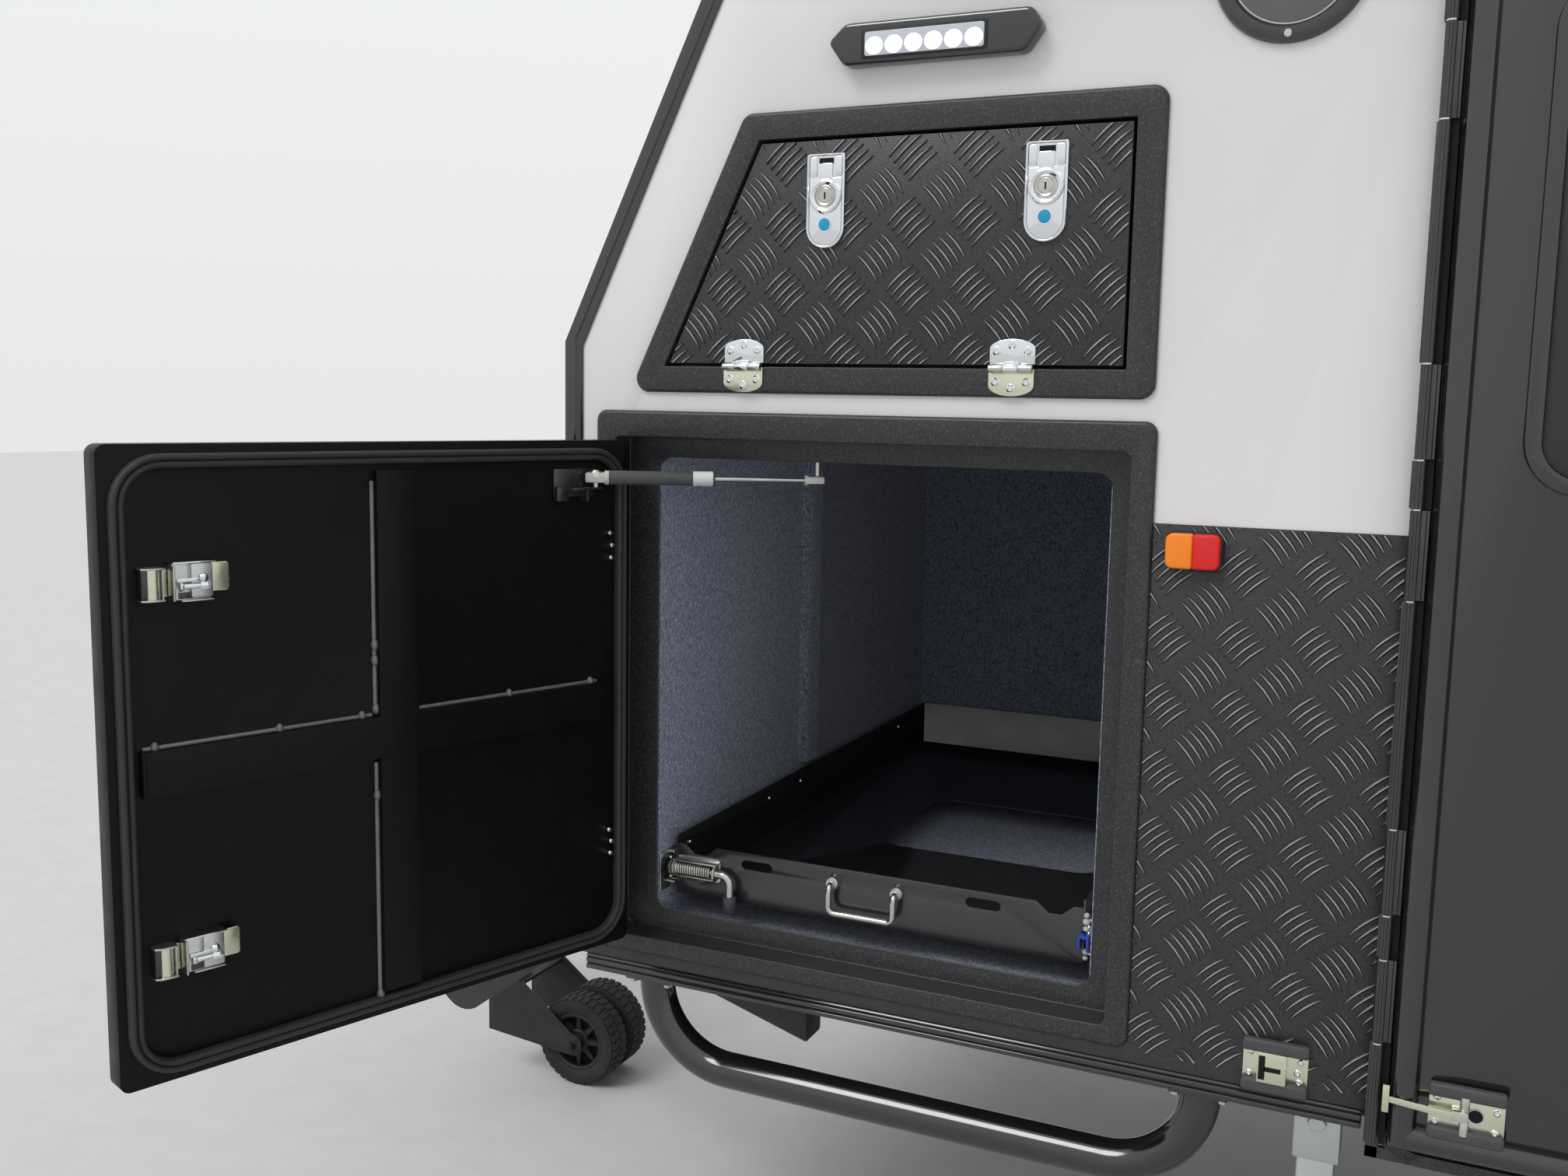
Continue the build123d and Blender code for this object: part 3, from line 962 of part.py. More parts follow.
def build_fittings():
    """Lamps, speaker, scrub bars, stabiliser legs, arch flares and the rear bar."""
    wall = -HALF
    for x in (LAMP_X, LAMP_REAR_X):
        lamp = across(rounded(x, x + LAMP_WIDTH, LAMP_Z, LAMP_Z + LAMP_HEIGHT, 5),
                      wall - TREAD_THICKNESS - LAMP_PROUD, wall - TREAD_THICKNESS)
        keep("lamps", lamp, offside(lamp))
    speaker = pin(SPEAKER_X, wall - 5, SPEAKER_Z, "y", SPEAKER_RADIUS, 10)
    speaker -= pin(SPEAKER_X, wall - 10, SPEAKER_Z, "y", SPEAKER_RADIUS - 14, 6)
    keep("wall_fittings", speaker)
    tip = 22.0
    light = outline(
        (LIGHT_X, LIGHT_Z + LIGHT_HEIGHT * 0.6), (LIGHT_X + tip, LIGHT_Z + LIGHT_HEIGHT),
        (LIGHT_X + LIGHT_LENGTH - tip * 0.6, LIGHT_Z + LIGHT_HEIGHT), (LIGHT_X + LIGHT_LENGTH, LIGHT_Z + LIGHT_HEIGHT * 0.6),
        (LIGHT_X + LIGHT_LENGTH - tip, LIGHT_Z), (LIGHT_X + tip, LIGHT_Z))
    housing = across(light, wall - LIGHT_DEPTH, wall)
    window = (LIGHT_X + 47, LIGHT_X + LIGHT_LENGTH - 66, LIGHT_Z + 8, LIGHT_Z + 36)
    housing -= across(rounded(*window, 3), wall - LIGHT_DEPTH - 1, wall - LIGHT_DEPTH + 6)
    keep("wall_fittings", housing)
    keep("lamps", across(rounded(*grown(window, -0.2), 3), wall - LIGHT_DEPTH + 1, wall - LIGHT_DEPTH + 6))

    y = wall + SCRUB_INSET
    scrub = bar([(SCRUB_FRONT, y, SILL_UNDERSIDE), (SCRUB_FRONT, y, SCRUB_LOW), (SCRUB_REAR, y, SCRUB_LOW),
                 (SCRUB_REAR, y, SILL_UNDERSIDE)], SCRUB_BEND * 0.999, SCRUB_RADIUS)
    keep("scrub_bars", scrub, offside(scrub))

    for x in (LEG_X, LEG_REAR_X):
        y = wall + LEG_INSET
        leg = block(x - LEG_SIZE / 2, x + LEG_SIZE / 2, y - LEG_SIZE / 2, y + LEG_SIZE / 2, 8, SILL_UNDERSIDE - 8)
        leg += block(x - 70, x + 70, y - 50, y + 50, 0, 8)
        leg += block(x - 34, x + 34, y - 30, y + 30, SILL_UNDERSIDE - 120, SILL_UNDERSIDE - 8)
        leg += block(x - 60, x + 60, y - 34, y + 60, SILL_UNDERSIDE - 8, SILL_UNDERSIDE)
        keep("stabiliser_legs", leg, offside(leg))
        tie = block(x - 60, x + 60, wall + SILL_DEPTH, -RAIL_SPREAD - RAIL_WIDTH / 2, SILL_UNDERSIDE, FLOOR_UNDERSIDE)
        keep("cross_members", tie, offside(tie))

    flare = across(arch_outline(FLARE_BORDER), wall - FLARE_PROUD, wall) - across(arch_outline(), wall - 60, wall + 1)
    flare = flare - block(0, BODY_LENGTH, wall - 100, wall + 10, 0, SILL_UNDERSIDE)
    keep("arch_flares", flare, offside(flare))

    x = BODY_LENGTH
    beam_half = HALF - REAR_BEAM_INSET
    beam = block(x + TRIM_THICKNESS + 20, x + 95, -beam_half, beam_half, RAIL_BOTTOM + 20, RAIL_BOTTOM + 110)
    beam += block(x - CROSS_WIDTH, x + TRIM_THICKNESS + 20, RAIL_SPREAD - 25, RAIL_SPREAD + 25, RAIL_BOTTOM + 20,
                  FLOOR_UNDERSIDE - CROSS_HEIGHT)
    beam += block(x - CROSS_WIDTH, x + TRIM_THICKNESS + 20, -RAIL_SPREAD - 25, -RAIL_SPREAD + 25, RAIL_BOTTOM + 20,
                  FLOOR_UNDERSIDE - CROSS_HEIGHT)
    beam += block(x + 23, x + 73, -40, 40, RAIL_BOTTOM + 110, SPARE_Z + 80)
    seat_x = SPARE_X + 5.5
    beam += pin((x + 73 + seat_x) / 2, 0, SPARE_Z, "x", 46, seat_x - x - 73)
    beam += pin(seat_x + 20, 0, SPARE_Z, "x", STUB_RADIUS - 2, 40)
    keep("rear_bar", beam)
    for side in (-1, 1):
        cy = side * (HALF - TAIL_LAMP_INSET)
        width = TAIL_LAMP_WIDTH / 2
        keep("lamps", along(rounded(cy - width, cy + width, 900, 1130, 18), x, x + 24))


def build_interior():
    """What shows through the doorway and the windows: bed, mattress and galley."""
    wall = INNER - 2.0
    bed_x = BODY_LENGTH - BED_LENGTH
    platform = BED_TOP - BED_BOARD
    panel = HALF - BED_PANEL_INSET
    bed = block(bed_x, BODY_LENGTH - WALL - 1, -wall, wall, platform, BED_TOP)
    bed += block(bed_x, bed_x + BED_BOARD, -panel, panel, FLOOR_TOP, platform)
    keep("cabin_furniture", bed)
    pad = upright(rounded(bed_x + 6, BODY_LENGTH - WALL - 12, -wall + 10, wall - 10, 60), BED_TOP + SOFT_GAP,
                  BED_TOP + MATTRESS_THICKNESS)
    keep("mattress", pad)
    front, back = GALLEY_FRONT, GALLEY_FRONT + GALLEY_LENGTH
    face = INNER - GALLEY_DEPTH
    board = GALLEY_TOP - GALLEY_BOARD
    galley = block(front, back, face, wall, FLOOR_TOP, board)
    galley += block(front - GALLEY_LIP, back + GALLEY_LIP, face - GALLEY_LIP, wall, board, GALLEY_TOP)
    keep("cabin_furniture", galley)


def build_all():
    """Every sub-part, in order from the chassis up."""
    build_chassis()
    build_suspension()
    build_wheels()
    build_shell()
    build_cladding()
    build_roof()
    build_hatch()
    build_storage()
    build_locker()
    build_entry()
    build_windows()
    build_fittings()
    build_interior()


build_all()
os.makedirs("parts", exist_ok=True)
to_origin = Pos(COUPLING_REACH, 0, -COUPLING_MOUTH)
for node, solids in nodes.items():
    placed = [to_origin * solid for shape in solids for solid in shape.solids()]
    export_step(placed[0] if len(placed) == 1 else Compound(children=placed), f"parts/{node}.step")
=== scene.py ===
"""Looks of an off-road pop top camper trailer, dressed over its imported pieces.

Lengths are metres in the trailer's own frame: +X to its rear, +Y to its offside and +Z up, measured from the mouth
of its tow pin socket. Parts are drawn in millimetres behind the body's front face, to the offside of the centre
line and above the ground, and Draft takes them to that frame.
"""

import json
import logging
import math
from dataclasses import dataclass
from enum import Enum
from typing import Any, Callable, ClassVar, Optional, Protocol, Sequence

import bmesh
import bpy
from mathutils import Matrix, Vector
from mathutils.bvhtree import BVHTree

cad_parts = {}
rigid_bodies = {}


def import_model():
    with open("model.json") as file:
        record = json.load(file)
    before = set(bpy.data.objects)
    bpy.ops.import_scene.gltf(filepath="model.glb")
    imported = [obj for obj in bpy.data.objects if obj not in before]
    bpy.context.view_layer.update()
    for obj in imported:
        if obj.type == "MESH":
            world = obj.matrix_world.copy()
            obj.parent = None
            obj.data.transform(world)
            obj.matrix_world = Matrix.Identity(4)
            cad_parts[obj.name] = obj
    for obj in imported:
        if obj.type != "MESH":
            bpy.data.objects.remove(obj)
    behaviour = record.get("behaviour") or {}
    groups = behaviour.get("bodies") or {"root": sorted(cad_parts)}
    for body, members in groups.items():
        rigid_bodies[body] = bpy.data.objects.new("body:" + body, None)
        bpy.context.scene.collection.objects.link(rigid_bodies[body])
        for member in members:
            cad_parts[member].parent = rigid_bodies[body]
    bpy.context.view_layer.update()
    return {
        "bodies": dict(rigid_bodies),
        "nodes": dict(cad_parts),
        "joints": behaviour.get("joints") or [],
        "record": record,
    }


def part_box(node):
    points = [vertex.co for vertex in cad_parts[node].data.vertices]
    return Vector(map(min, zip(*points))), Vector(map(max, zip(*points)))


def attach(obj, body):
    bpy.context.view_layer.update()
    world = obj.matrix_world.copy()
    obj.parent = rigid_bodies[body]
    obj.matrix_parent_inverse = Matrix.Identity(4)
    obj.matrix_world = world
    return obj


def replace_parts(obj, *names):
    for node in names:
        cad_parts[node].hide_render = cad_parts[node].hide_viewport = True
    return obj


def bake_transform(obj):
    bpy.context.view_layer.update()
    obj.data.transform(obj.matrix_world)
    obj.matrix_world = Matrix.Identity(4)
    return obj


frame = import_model()

LOG = logging.getLogger("camper")
Colour = tuple[float, float, float]
Point = tuple[float, float, float]
Outline = Sequence[tuple[float, float]]

BODY_OF: dict[str, str] = {
    node: body for body, nodes in frame["record"]["behaviour"]["bodies"].items() for node in nodes
}
SLOT_OF: dict[str, str] = {part["node"]: part["material_slot"] for part in frame["record"]["subparts"]}
JOINT_OF: dict[str, dict[str, Any]] = {joint["name"]: joint for joint in frame["joints"]}


class Wiring:
    """Adds shader nodes to a tree and links their sockets."""

    def __init__(self, tree: bpy.types.NodeTree) -> None:
        """Takes the tree to work on.

        Args:
            tree: a material's or a group's node tree.
        """
        self.tree = tree

    def node(self, kind: str, inputs: Optional[dict[Any, Any]] = None, **settings: Any) -> bpy.types.Node:
        """Adds one node.

        Args:
            kind: the node's type without its ShaderNode prefix.
            inputs: socket name or index to a value or to an output socket.
            settings: properties of the node itself.

        Returns:
            The node.
        """
        made = self.tree.nodes.new(f"ShaderNode{kind}")
        for key, value in settings.items():
            setattr(made, key, value)
        for key, value in (inputs or {}).items():
            self.feed(made.inputs[key], value)
        return made

    def feed(self, socket: bpy.types.NodeSocket, value: Any) -> None:
        """Links an output to a socket, or sets the socket's own value.

        Args:
            socket: an input.
            value: an output socket, a number or a colour.
        """
        if isinstance(value, bpy.types.NodeSocket):
            self.tree.links.new(value, socket)
        elif isinstance(value, tuple) and len(value) == 3 and socket.type == "RGBA":
            socket.default_value = (*value, 1.0)
        else:
            socket.default_value = value

    def mix(self, factor: Any, low: Any, high: Any, blend: str = "MIX") -> bpy.types.NodeSocket:
        """Mixes two colours.

        Args:
            factor: share of the second colour.
            low: first colour.
            high: second colour.
            blend: how they are mixed.

        Returns:
            The mixed colour's socket.
        """
        made = self.node("Mix", data_type="RGBA", blend_type=blend)
        self.feed(made.inputs[0], factor)
        self.feed(made.inputs[6], low)
        self.feed(made.inputs[7], high)
        return made.outputs[2]

    def math(self, operation: str, first: Any, second: Any = 0.0, clamp: bool = False) -> bpy.types.NodeSocket:
        """Works out one number from two.

        Args:
            operation: the Math node's operation.
            first: first number.
            second: second number.
            clamp: keep the result within 0 and 1.

        Returns:
            The result's socket.
        """
        made = self.node("Math", {0: first, 1: second}, operation=operation, use_clamp=clamp)
        return made.outputs[0]

    def noise(self, scale: Any, detail: float = 2.0, roughness: float = 0.5, vector: Any = None) -> bpy.types.Node:
        """Noise over the piece's own coordinates.

        Args:
            scale: cells a metre.
            detail: octaves.
            roughness: how strong the fine octaves are.
            vector: another place to read, if not the piece's own.

        Returns:
            The noise node.
        """
        place = vector if vector is not None else self.node("TexCoord").outputs["Object"]
        return self.node("TexNoise", {"Vector": place, "Scale": scale, "Detail": detail, "Roughness": roughness})

    def span(self, value: Any, low: float, high: float) -> bpy.types.NodeSocket:
        """Stretches a range of values to 0 and 1.

        Args:
            value: the number to stretch.
            low: what becomes 0.
            high: what becomes 1.

        Returns:
            The stretched number's socket.
        """
        made = self.node("MapRange", {"Value": value, "From Min": low, "From Max": high}, clamp=True)
        return made.outputs["Result"]


class Effects:
    """The shader effects that several finishes share, each built once as a node group."""

    built: dict[str, bpy.types.NodeTree] = {}

    @classmethod
    def group(cls, label: str, inputs: Sequence[tuple[str, str, Any]], outputs: Sequence[tuple[str, str]],
              wire: Callable[[Wiring, bpy.types.Node, bpy.types.Node], None]) -> bpy.types.NodeTree:
        """Gives a group, building it the first time.

        Args:
            label: the group's name.
            inputs: name, socket kind and default of each input.
            outputs: name and socket kind of each output.
            wire: lays the group's nodes between its input and output nodes.

        Returns:
            The node group.
        """
        if label not in cls.built:
            tree = bpy.data.node_groups.new(label, "ShaderNodeTree")
            for name, kind, default in inputs:
                socket = tree.interface.new_socket(name, in_out="INPUT", socket_type=f"NodeSocket{kind}")
                socket.default_value = default
            for name, kind in outputs:
                tree.interface.new_socket(name, in_out="OUTPUT", socket_type=f"NodeSocket{kind}")
            wire(Wiring(tree), tree.nodes.new("NodeGroupInput"), tree.nodes.new("NodeGroupOutput"))
            cls.built[label] = tree
        return cls.built[label]

    @classmethod
    def grain(cls) -> bpy.types.NodeTree:
        """Fine pimples of a coat, with slow waves under them, and the mask of fine flecks that paint its glints.

        Returns:
            The node group.
        """

        def wire(w: Wiring, given: bpy.types.Node, out: bpy.types.Node) -> None:
            """Lays the group's nodes.

            Args:
                w: the group's wiring.
                given: its input node.
                out: its output node.
            """
            fine = w.noise(given.outputs["Scale"], detail=3.0, roughness=0.65)
            broad = w.noise(w.math("MULTIPLY", given.outputs["Scale"], 0.08), detail=2.0)
            height = w.math("ADD", w.math("MULTIPLY", fine.outputs[0], 0.75),
                            w.math("MULTIPLY", broad.outputs[0], 0.25))
            w.feed(out.inputs["Height"], height)
            w.feed(out.inputs["Patch"], w.span(broad.outputs[0], 0.3, 0.7))
            # Mask of the fine pale flecks that paint the grain's glints.
            w.feed(out.inputs["PaintedGlint"], w.span(fine.outputs[0], 0.52, 0.72))

        outputs = [("Height", "Float"), ("Patch", "Float"), ("PaintedGlint", "Float")]
        return cls.group("coat_grain", [("Scale", "Float", 900.0)], outputs, wire)

    @classmethod
    def wear(cls) -> bpy.types.NodeTree:
        """Rubbed edges: a lighter colour where the surface turns a corner.

        Returns:
            The node group.
        """

        def wire(w: Wiring, given: bpy.types.Node, out: bpy.types.Node) -> None:
            """Lays the group's nodes.

            Args:
                w: the group's wiring.
                given: its input node.
                out: its output node.
            """
            edge = w.span(w.node("NewGeometry").outputs["Pointiness"], 0.52, 0.62)
            broken = w.span(w.noise(70.0, detail=4.0).outputs[0], 0.25, 0.6)
            mask = w.math("MULTIPLY", w.math("MULTIPLY", edge, broken), given.outputs["Amount"], clamp=True)
            w.feed(out.inputs["Color"], w.mix(mask, given.outputs["Color"], given.outputs["Worn"]))
            w.feed(out.inputs["Mask"], mask)

        inputs = [("Color", "Color", (0.5, 0.5, 0.5, 1.0)), ("Worn", "Color", (0.5, 0.5, 0.5, 1.0)),
                  ("Amount", "Float", 0.5)]
        return cls.group("edge_wear", inputs, [("Color", "Color"), ("Mask", "Float")], wire)

    @classmethod
    def dust(cls) -> bpy.types.NodeTree:
        """Pale road dust on what faces up and on what is low.

        Returns:
            The node group.
        """

        def wire(w: Wiring, given: bpy.types.Node, out: bpy.types.Node) -> None:
            """Lays the group's nodes.

            Args:
                w: the group's wiring.
                given: its input node.
                out: its output node.
            """
            up = w.node("SeparateXYZ", {0: w.node("NewGeometry").outputs["Normal"]}).outputs["Z"]
            place = w.node("SeparateXYZ", {0: w.node("TexCoord").outputs["Object"]}).outputs["Z"]
            low = w.math("SUBTRACT", 1.0, w.span(place, -0.6, 0.35))
            lying = w.math("MULTIPLY", w.span(up, 0.2, 1.0), 0.5)
            patchy = w.span(w.noise(9.0, detail=6.0, roughness=0.7).outputs[0], 0.35, 0.75)
            mask = w.math("MULTIPLY", w.math("ADD", low, lying), patchy)
            mask = w.math("MULTIPLY", mask, given.outputs["Amount"], clamp=True)
            w.feed(out.inputs["Color"], w.mix(mask, given.outputs["Color"], given.outputs["Dust"]))
            w.feed(out.inputs["Mask"], mask)

        inputs = [("Color", "Color", (0.5, 0.5, 0.5, 1.0)), ("Dust", "Color", (0.22, 0.19, 0.15, 1.0)),
                  ("Amount", "Float", 0.3)]
        return cls.group("road_dust", inputs, [("Color", "Color"), ("Mask", "Float")], wire)

    @classmethod
    def pile(cls) -> bpy.types.NodeTree:
        """Speckled needle-punched carpet: mixed fibres and their short fuzz.

        Returns:
            The node group.
        """

        def wire(w: Wiring, given: bpy.types.Node, out: bpy.types.Node) -> None:
            """Lays the group's nodes.

            Args:
                w: the group's wiring.
                given: its input node.
                out: its output node.
            """
            place = w.node("TexCoord").outputs["Object"]
            drawn = w.node("Mapping", {"Vector": place, "Scale": (1.0, 1.0, 0.55)}).outputs[0]
            tufts = w.noise(given.outputs["Scale"], detail=3.0, roughness=0.75, vector=drawn)
            spots = w.noise(w.math("MULTIPLY", given.outputs["Scale"], 0.45), detail=4.0, roughness=0.8, vector=drawn)
            light = w.span(tufts.outputs[0], 0.46, 0.66)
            dark = w.span(spots.outputs[0], 0.5, 0.66)
            colour = w.mix(light, given.outputs["Base"], given.outputs["Light"])
            w.feed(out.inputs["Color"], w.mix(w.math("MULTIPLY", dark, 0.75), colour, given.outputs["Dark"]))
            w.feed(out.inputs["Height"], w.math("ADD", tufts.outputs[0], spots.outputs[0]))

        inputs = [("Base", "Color", (0.1, 0.1, 0.1, 1.0)), ("Light", "Color", (0.3, 0.3, 0.3, 1.0)),
                  ("Dark", "Color", (0.02, 0.02, 0.02, 1.0)), ("Scale", "Float", 420.0)]
        return cls.group("carpet_pile", inputs, [("Color", "Color"), ("Height", "Float")], wire)

    @classmethod
    def weave(cls) -> bpy.types.NodeTree:
        """Plain weave of warp and weft on faces that stand or lie square to the axes.

        Returns:
            The node group.
        """

        def wire(w: Wiring, given: bpy.types.Node, out: bpy.types.Node) -> None:
            """Lays the group's nodes.

            Args:
                w: the group's wiring.
                given: its input node.
                out: its output node.
            """
            parts = w.node("SeparateXYZ", {0: w.node("TexCoord").outputs["Object"]})
            level = w.math("ADD", parts.outputs["X"], parts.outputs["Y"])
            turns = w.math("MULTIPLY", given.outputs["Scale"], math.tau)
            weft = w.math("SINE", w.math("MULTIPLY", level, turns))
            warp = w.math("SINE", w.math("MULTIPLY", parts.outputs["Z"], turns))
            woven = w.math("MULTIPLY", weft, warp)
            w.feed(out.inputs["Height"], w.math("MULTIPLY_ADD", woven, 0.5))
            slub = w.noise(w.math("MULTIPLY", given.outputs["Scale"], 0.2), detail=3.0)
            w.feed(out.inputs["Slub"], w.span(slub.outputs[0], 0.3, 0.7))

        return cls.group("plain_weave", [("Scale", "Float", 600.0)], [("Height", "Float"), ("Slub", "Float")], wire)

    @classmethod
    def brushing(cls) -> bpy.types.NodeTree:
        """Long fine scratches and cloudy patches of plated or machined metal.

        Returns:
            The node group.
        """

        def wire(w: Wiring, given: bpy.types.Node, out: bpy.types.Node) -> None:
            """Lays the group's nodes.

            Args:
                w: the group's wiring.
                given: its input node.
                out: its output node.
            """
            place = w.node("TexCoord").outputs["Object"]
            drawn = w.node("Mapping", {"Vector": place, "Scale": (0.08, 1.0, 1.0)}).outputs[0]
            streak = w.noise(given.outputs["Scale"], detail=3.0, vector=drawn)
            cloud = w.noise(w.math("MULTIPLY", given.outputs["Scale"], 0.05), detail=3.0)
            w.feed(out.inputs["Streak"], streak.outputs[0])
            w.feed(out.inputs["Cloud"], w.span(cloud.outputs[0], 0.32, 0.68))

        return cls.group("brushed_streaks", [("Scale", "Float", 900.0)], [("Streak", "Float"), ("Cloud", "Float")],
                         wire)


@dataclass(frozen=True)
class Finish:
    """What every surface finish has: a name, a colour and a plain roughness."""

    label: str
    colour: Colour
    roughness: float = 0.5

    def material(self) -> bpy.types.Material:
        """Gives the finish's material, building it the first time.

        Returns:
            The material.
        """
        known = bpy.data.materials.get(f"finish_{self.label}")
        if known is not None:
            return known
        made = bpy.data.materials.new(f"finish_{self.label}")
        made.use_nodes = True
        made.diffuse_color = (*self.colour, 1.0)
        wiring = Wiring(made.node_tree)
        self.paint(wiring, made.node_tree.nodes["Principled BSDF"])
        return made

    def paint(self, w: Wiring, shader: bpy.types.Node) -> None:
        """Lays the finish's nodes; a plain finish only varies its colour a little.

        Args:
            w: the material's wiring.
            shader: its principled shader.
        """
        tone = w.span(w.noise(14.0, detail=4.0).outputs[0], 0.3, 0.7)
        darker = tuple(0.95 * part for part in self.colour)
        w.feed(shader.inputs["Base Color"], w.mix(tone, darker, self.colour))
        shader.inputs["Roughness"].default_value = self.roughness

    def bump(self, w: Wiring, shader: bpy.types.Node, height: Any, distance: float) -> None:
        """Raises the surface by a height map.

        Args:
            w: the material's wiring.
            shader: the shader whose normal is turned.
            height: the map's socket.
            distance: how tall a height of 1 is.
        """
        bump = w.node("Bump", {"Height": height, "Distance": distance, "Strength": 1.0})
        w.feed(shader.inputs["Normal"], bump.outputs[0])


@dataclass(frozen=True)
class Coat(Finish):
    """Paint, powder coat or moulded plastic: a grain with painted glints, rubbed edges and road dust."""

    PALE: ClassVar[float] = 0.4
    PALE_TONE: ClassVar[float] = 1.03
    DARK_TONE: ClassVar[float] = 1.12

    worn_and_glint: Colour = (0.12, 0.12, 0.12)
    wear: float = 0.3
    grain: float = 900.0
    depth: float = 0.0001
    gloss: float = 0.0
    dust: float = 0.15
    spread: float = 0.08
    shine: float = 0.3
    # Share of fine flecks in the worn colour, which are painted glints; the worn colour serves both wear and these
    # glints.
    painted_glints: float = 0.0

    def paint(self, w: Wiring, shader: bpy.types.Node) -> None:
        """Lays grain, wear and dust over the coat's colour.

        Args:
            w: the material's wiring.
            shader: its principled shader.
        """
        grain = w.node("Group", node_tree=Effects.grain())
        w.feed(grain.inputs["Scale"], self.grain)
        tone = tuple(min(1.0, (self.PALE_TONE if part > self.PALE else self.DARK_TONE) * part)
                     for part in self.colour)
        base = w.mix(grain.outputs["Patch"], self.colour, tone)
        # Fine pale flecks of the worn colour: painted glints of the coat's grain.
        if self.painted_glints > 0.0:
            base = w.mix(w.math("MULTIPLY", grain.outputs["PaintedGlint"], self.painted_glints), base, self.worn_and_glint)
        wear = w.node("Group", node_tree=Effects.wear())
        w.feed(wear.inputs["Color"], base)
        w.feed(wear.inputs["Worn"], self.worn_and_glint)
        w.feed(wear.inputs["Amount"], self.wear)
        dust = w.node("Group", node_tree=Effects.dust())
        w.feed(dust.inputs["Color"], wear.outputs["Color"])
        w.feed(dust.inputs["Amount"], self.dust)
        w.feed(shader.inputs["Base Color"], dust.outputs["Color"])
        spread = w.math("MULTIPLY", grain.outputs["Patch"], self.spread)
        dulled = w.math("MULTIPLY", dust.outputs["Mask"], 0.5)
        w.feed(shader.inputs["Roughness"], w.math("ADD", w.math("ADD", spread, self.roughness), dulled, clamp=True))
        shader.inputs["Coat Weight"].default_value = self.gloss
        shader.inputs["Coat Roughness"].default_value = 0.06
        shader.inputs["Specular IOR Level"].default_value = self.shine
        self.bump(w, shader, grain.outputs["Height"], self.depth)


@dataclass(frozen=True)
class Metal(Finish):
    """Plated or bare metal with fine streaks and cloudy tints."""

    tint: Colour = (0.6, 0.6, 0.6)
    scale: float = 900.0
    depth: float = 0.00002
    spread: float = 0.12

    def paint(self, w: Wiring, shader: bpy.types.Node) -> None:
        """Lays streaks and tints over the metal's colour.

        Args:
            w: the material's wiring.
            shader: its principled shader.
        """
        streaks = w.node("Group", node_tree=Effects.brushing())
        w.feed(streaks.inputs["Scale"], self.scale)
        w.feed(shader.inputs["Base Color"], w.mix(streaks.outputs["Cloud"], self.colour, self.tint))
        shader.inputs["Metallic"].default_value = 1.0
        spread = w.math("MULTIPLY", streaks.outputs["Streak"], self.spread)
        w.feed(shader.inputs["Roughness"], w.math("ADD", spread, self.roughness, clamp=True))
        self.bump(w, shader, streaks.outputs["Streak"], self.depth)


@dataclass(frozen=True)
class Pile(Finish):
    """Speckled carpet that lines the storage compartments."""

    light: Colour = (0.3, 0.32, 0.4)
    dark: Colour = (0.02, 0.025, 0.04)
    scale: float = 420.0
    depth: float = 0.0012

    def paint(self, w: Wiring, shader: bpy.types.Node) -> None:
        """Lays the mixed fibres and their fuzz.

        Args:
            w: the material's wiring.
            shader: its principled shader.
        """
        pile = w.node("Group", node_tree=Effects.pile())
        w.feed(pile.inputs["Base"], self.colour)
        w.feed(pile.inputs["Light"], self.light)
        w.feed(pile.inputs["Dark"], self.dark)
        w.feed(pile.inputs["Scale"], self.scale)
        w.feed(shader.inputs["Base Color"], pile.outputs["Color"])
        shader.inputs["Roughness"].default_value = 0.95
        shader.inputs["Sheen Weight"].default_value = 0.35
        shader.inputs["Sheen Roughness"].default_value = 0.6
        self.bump(w, shader, pile.outputs["Height"], self.depth)


@dataclass(frozen=True)
class Cloth(Finish):
    """Woven fabric: coated canvas or mattress ticking."""

    shade: Colour = (0.3, 0.3, 0.3)
    scale: float = 600.0
    depth: float = 0.0004
    sheen: float = 0.2

    def paint(self, w: Wiring, shader: bpy.types.Node) -> None:
        """Lays the weave and its slubs.

        Args:
            w: the material's wiring.
            shader: its principled shader.
        """
        weave = w.node("Group", node_tree=Effects.weave())
        w.feed(weave.inputs["Scale"], self.scale)
        woven = w.mix(weave.outputs["Slub"], self.colour, self.shade)
        threads = w.math("MULTIPLY", weave.outputs["Height"], 0.35)
        deep = tuple(0.6 * part for part in self.colour)
        w.feed(shader.inputs["Base Color"], w.mix(threads, woven, deep))
        shader.inputs["Roughness"].default_value = self.roughness
        shader.inputs["Sheen Weight"].default_value = self.sheen
        self.bump(w, shader, weave.outputs["Height"], self.depth)


@dataclass(frozen=True)
class Glazing(Finish):
    """Clear or tinted sheet and lenses that light passes through."""

    passes: float = 1.0
    index: float = 1.49
    glow: float = 0.0

    def paint(self, w: Wiring, shader: bpy.types.Node) -> None:
        """Lays the sheet's tint with faint smears.

        Args:
            w: the material's wiring.
            shader: its principled shader.
        """
        smear = w.span(w.noise(6.0, detail=5.0).outputs[0], 0.35, 0.8)
        darker = tuple(0.9 * part for part in self.colour)
        w.feed(shader.inputs["Base Color"], w.mix(smear, self.colour, darker))
        w.feed(shader.inputs["Roughness"], w.math("MULTIPLY_ADD", smear, 0.06, clamp=True))
        shader.inputs["Transmission Weight"].default_value = self.passes
        shader.inputs["IOR"].default_value = self.index
        if self.glow:
            shader.inputs["Emission Color"].default_value = (*self.colour, 1.0)
            shader.inputs["Emission Strength"].default_value = self.glow


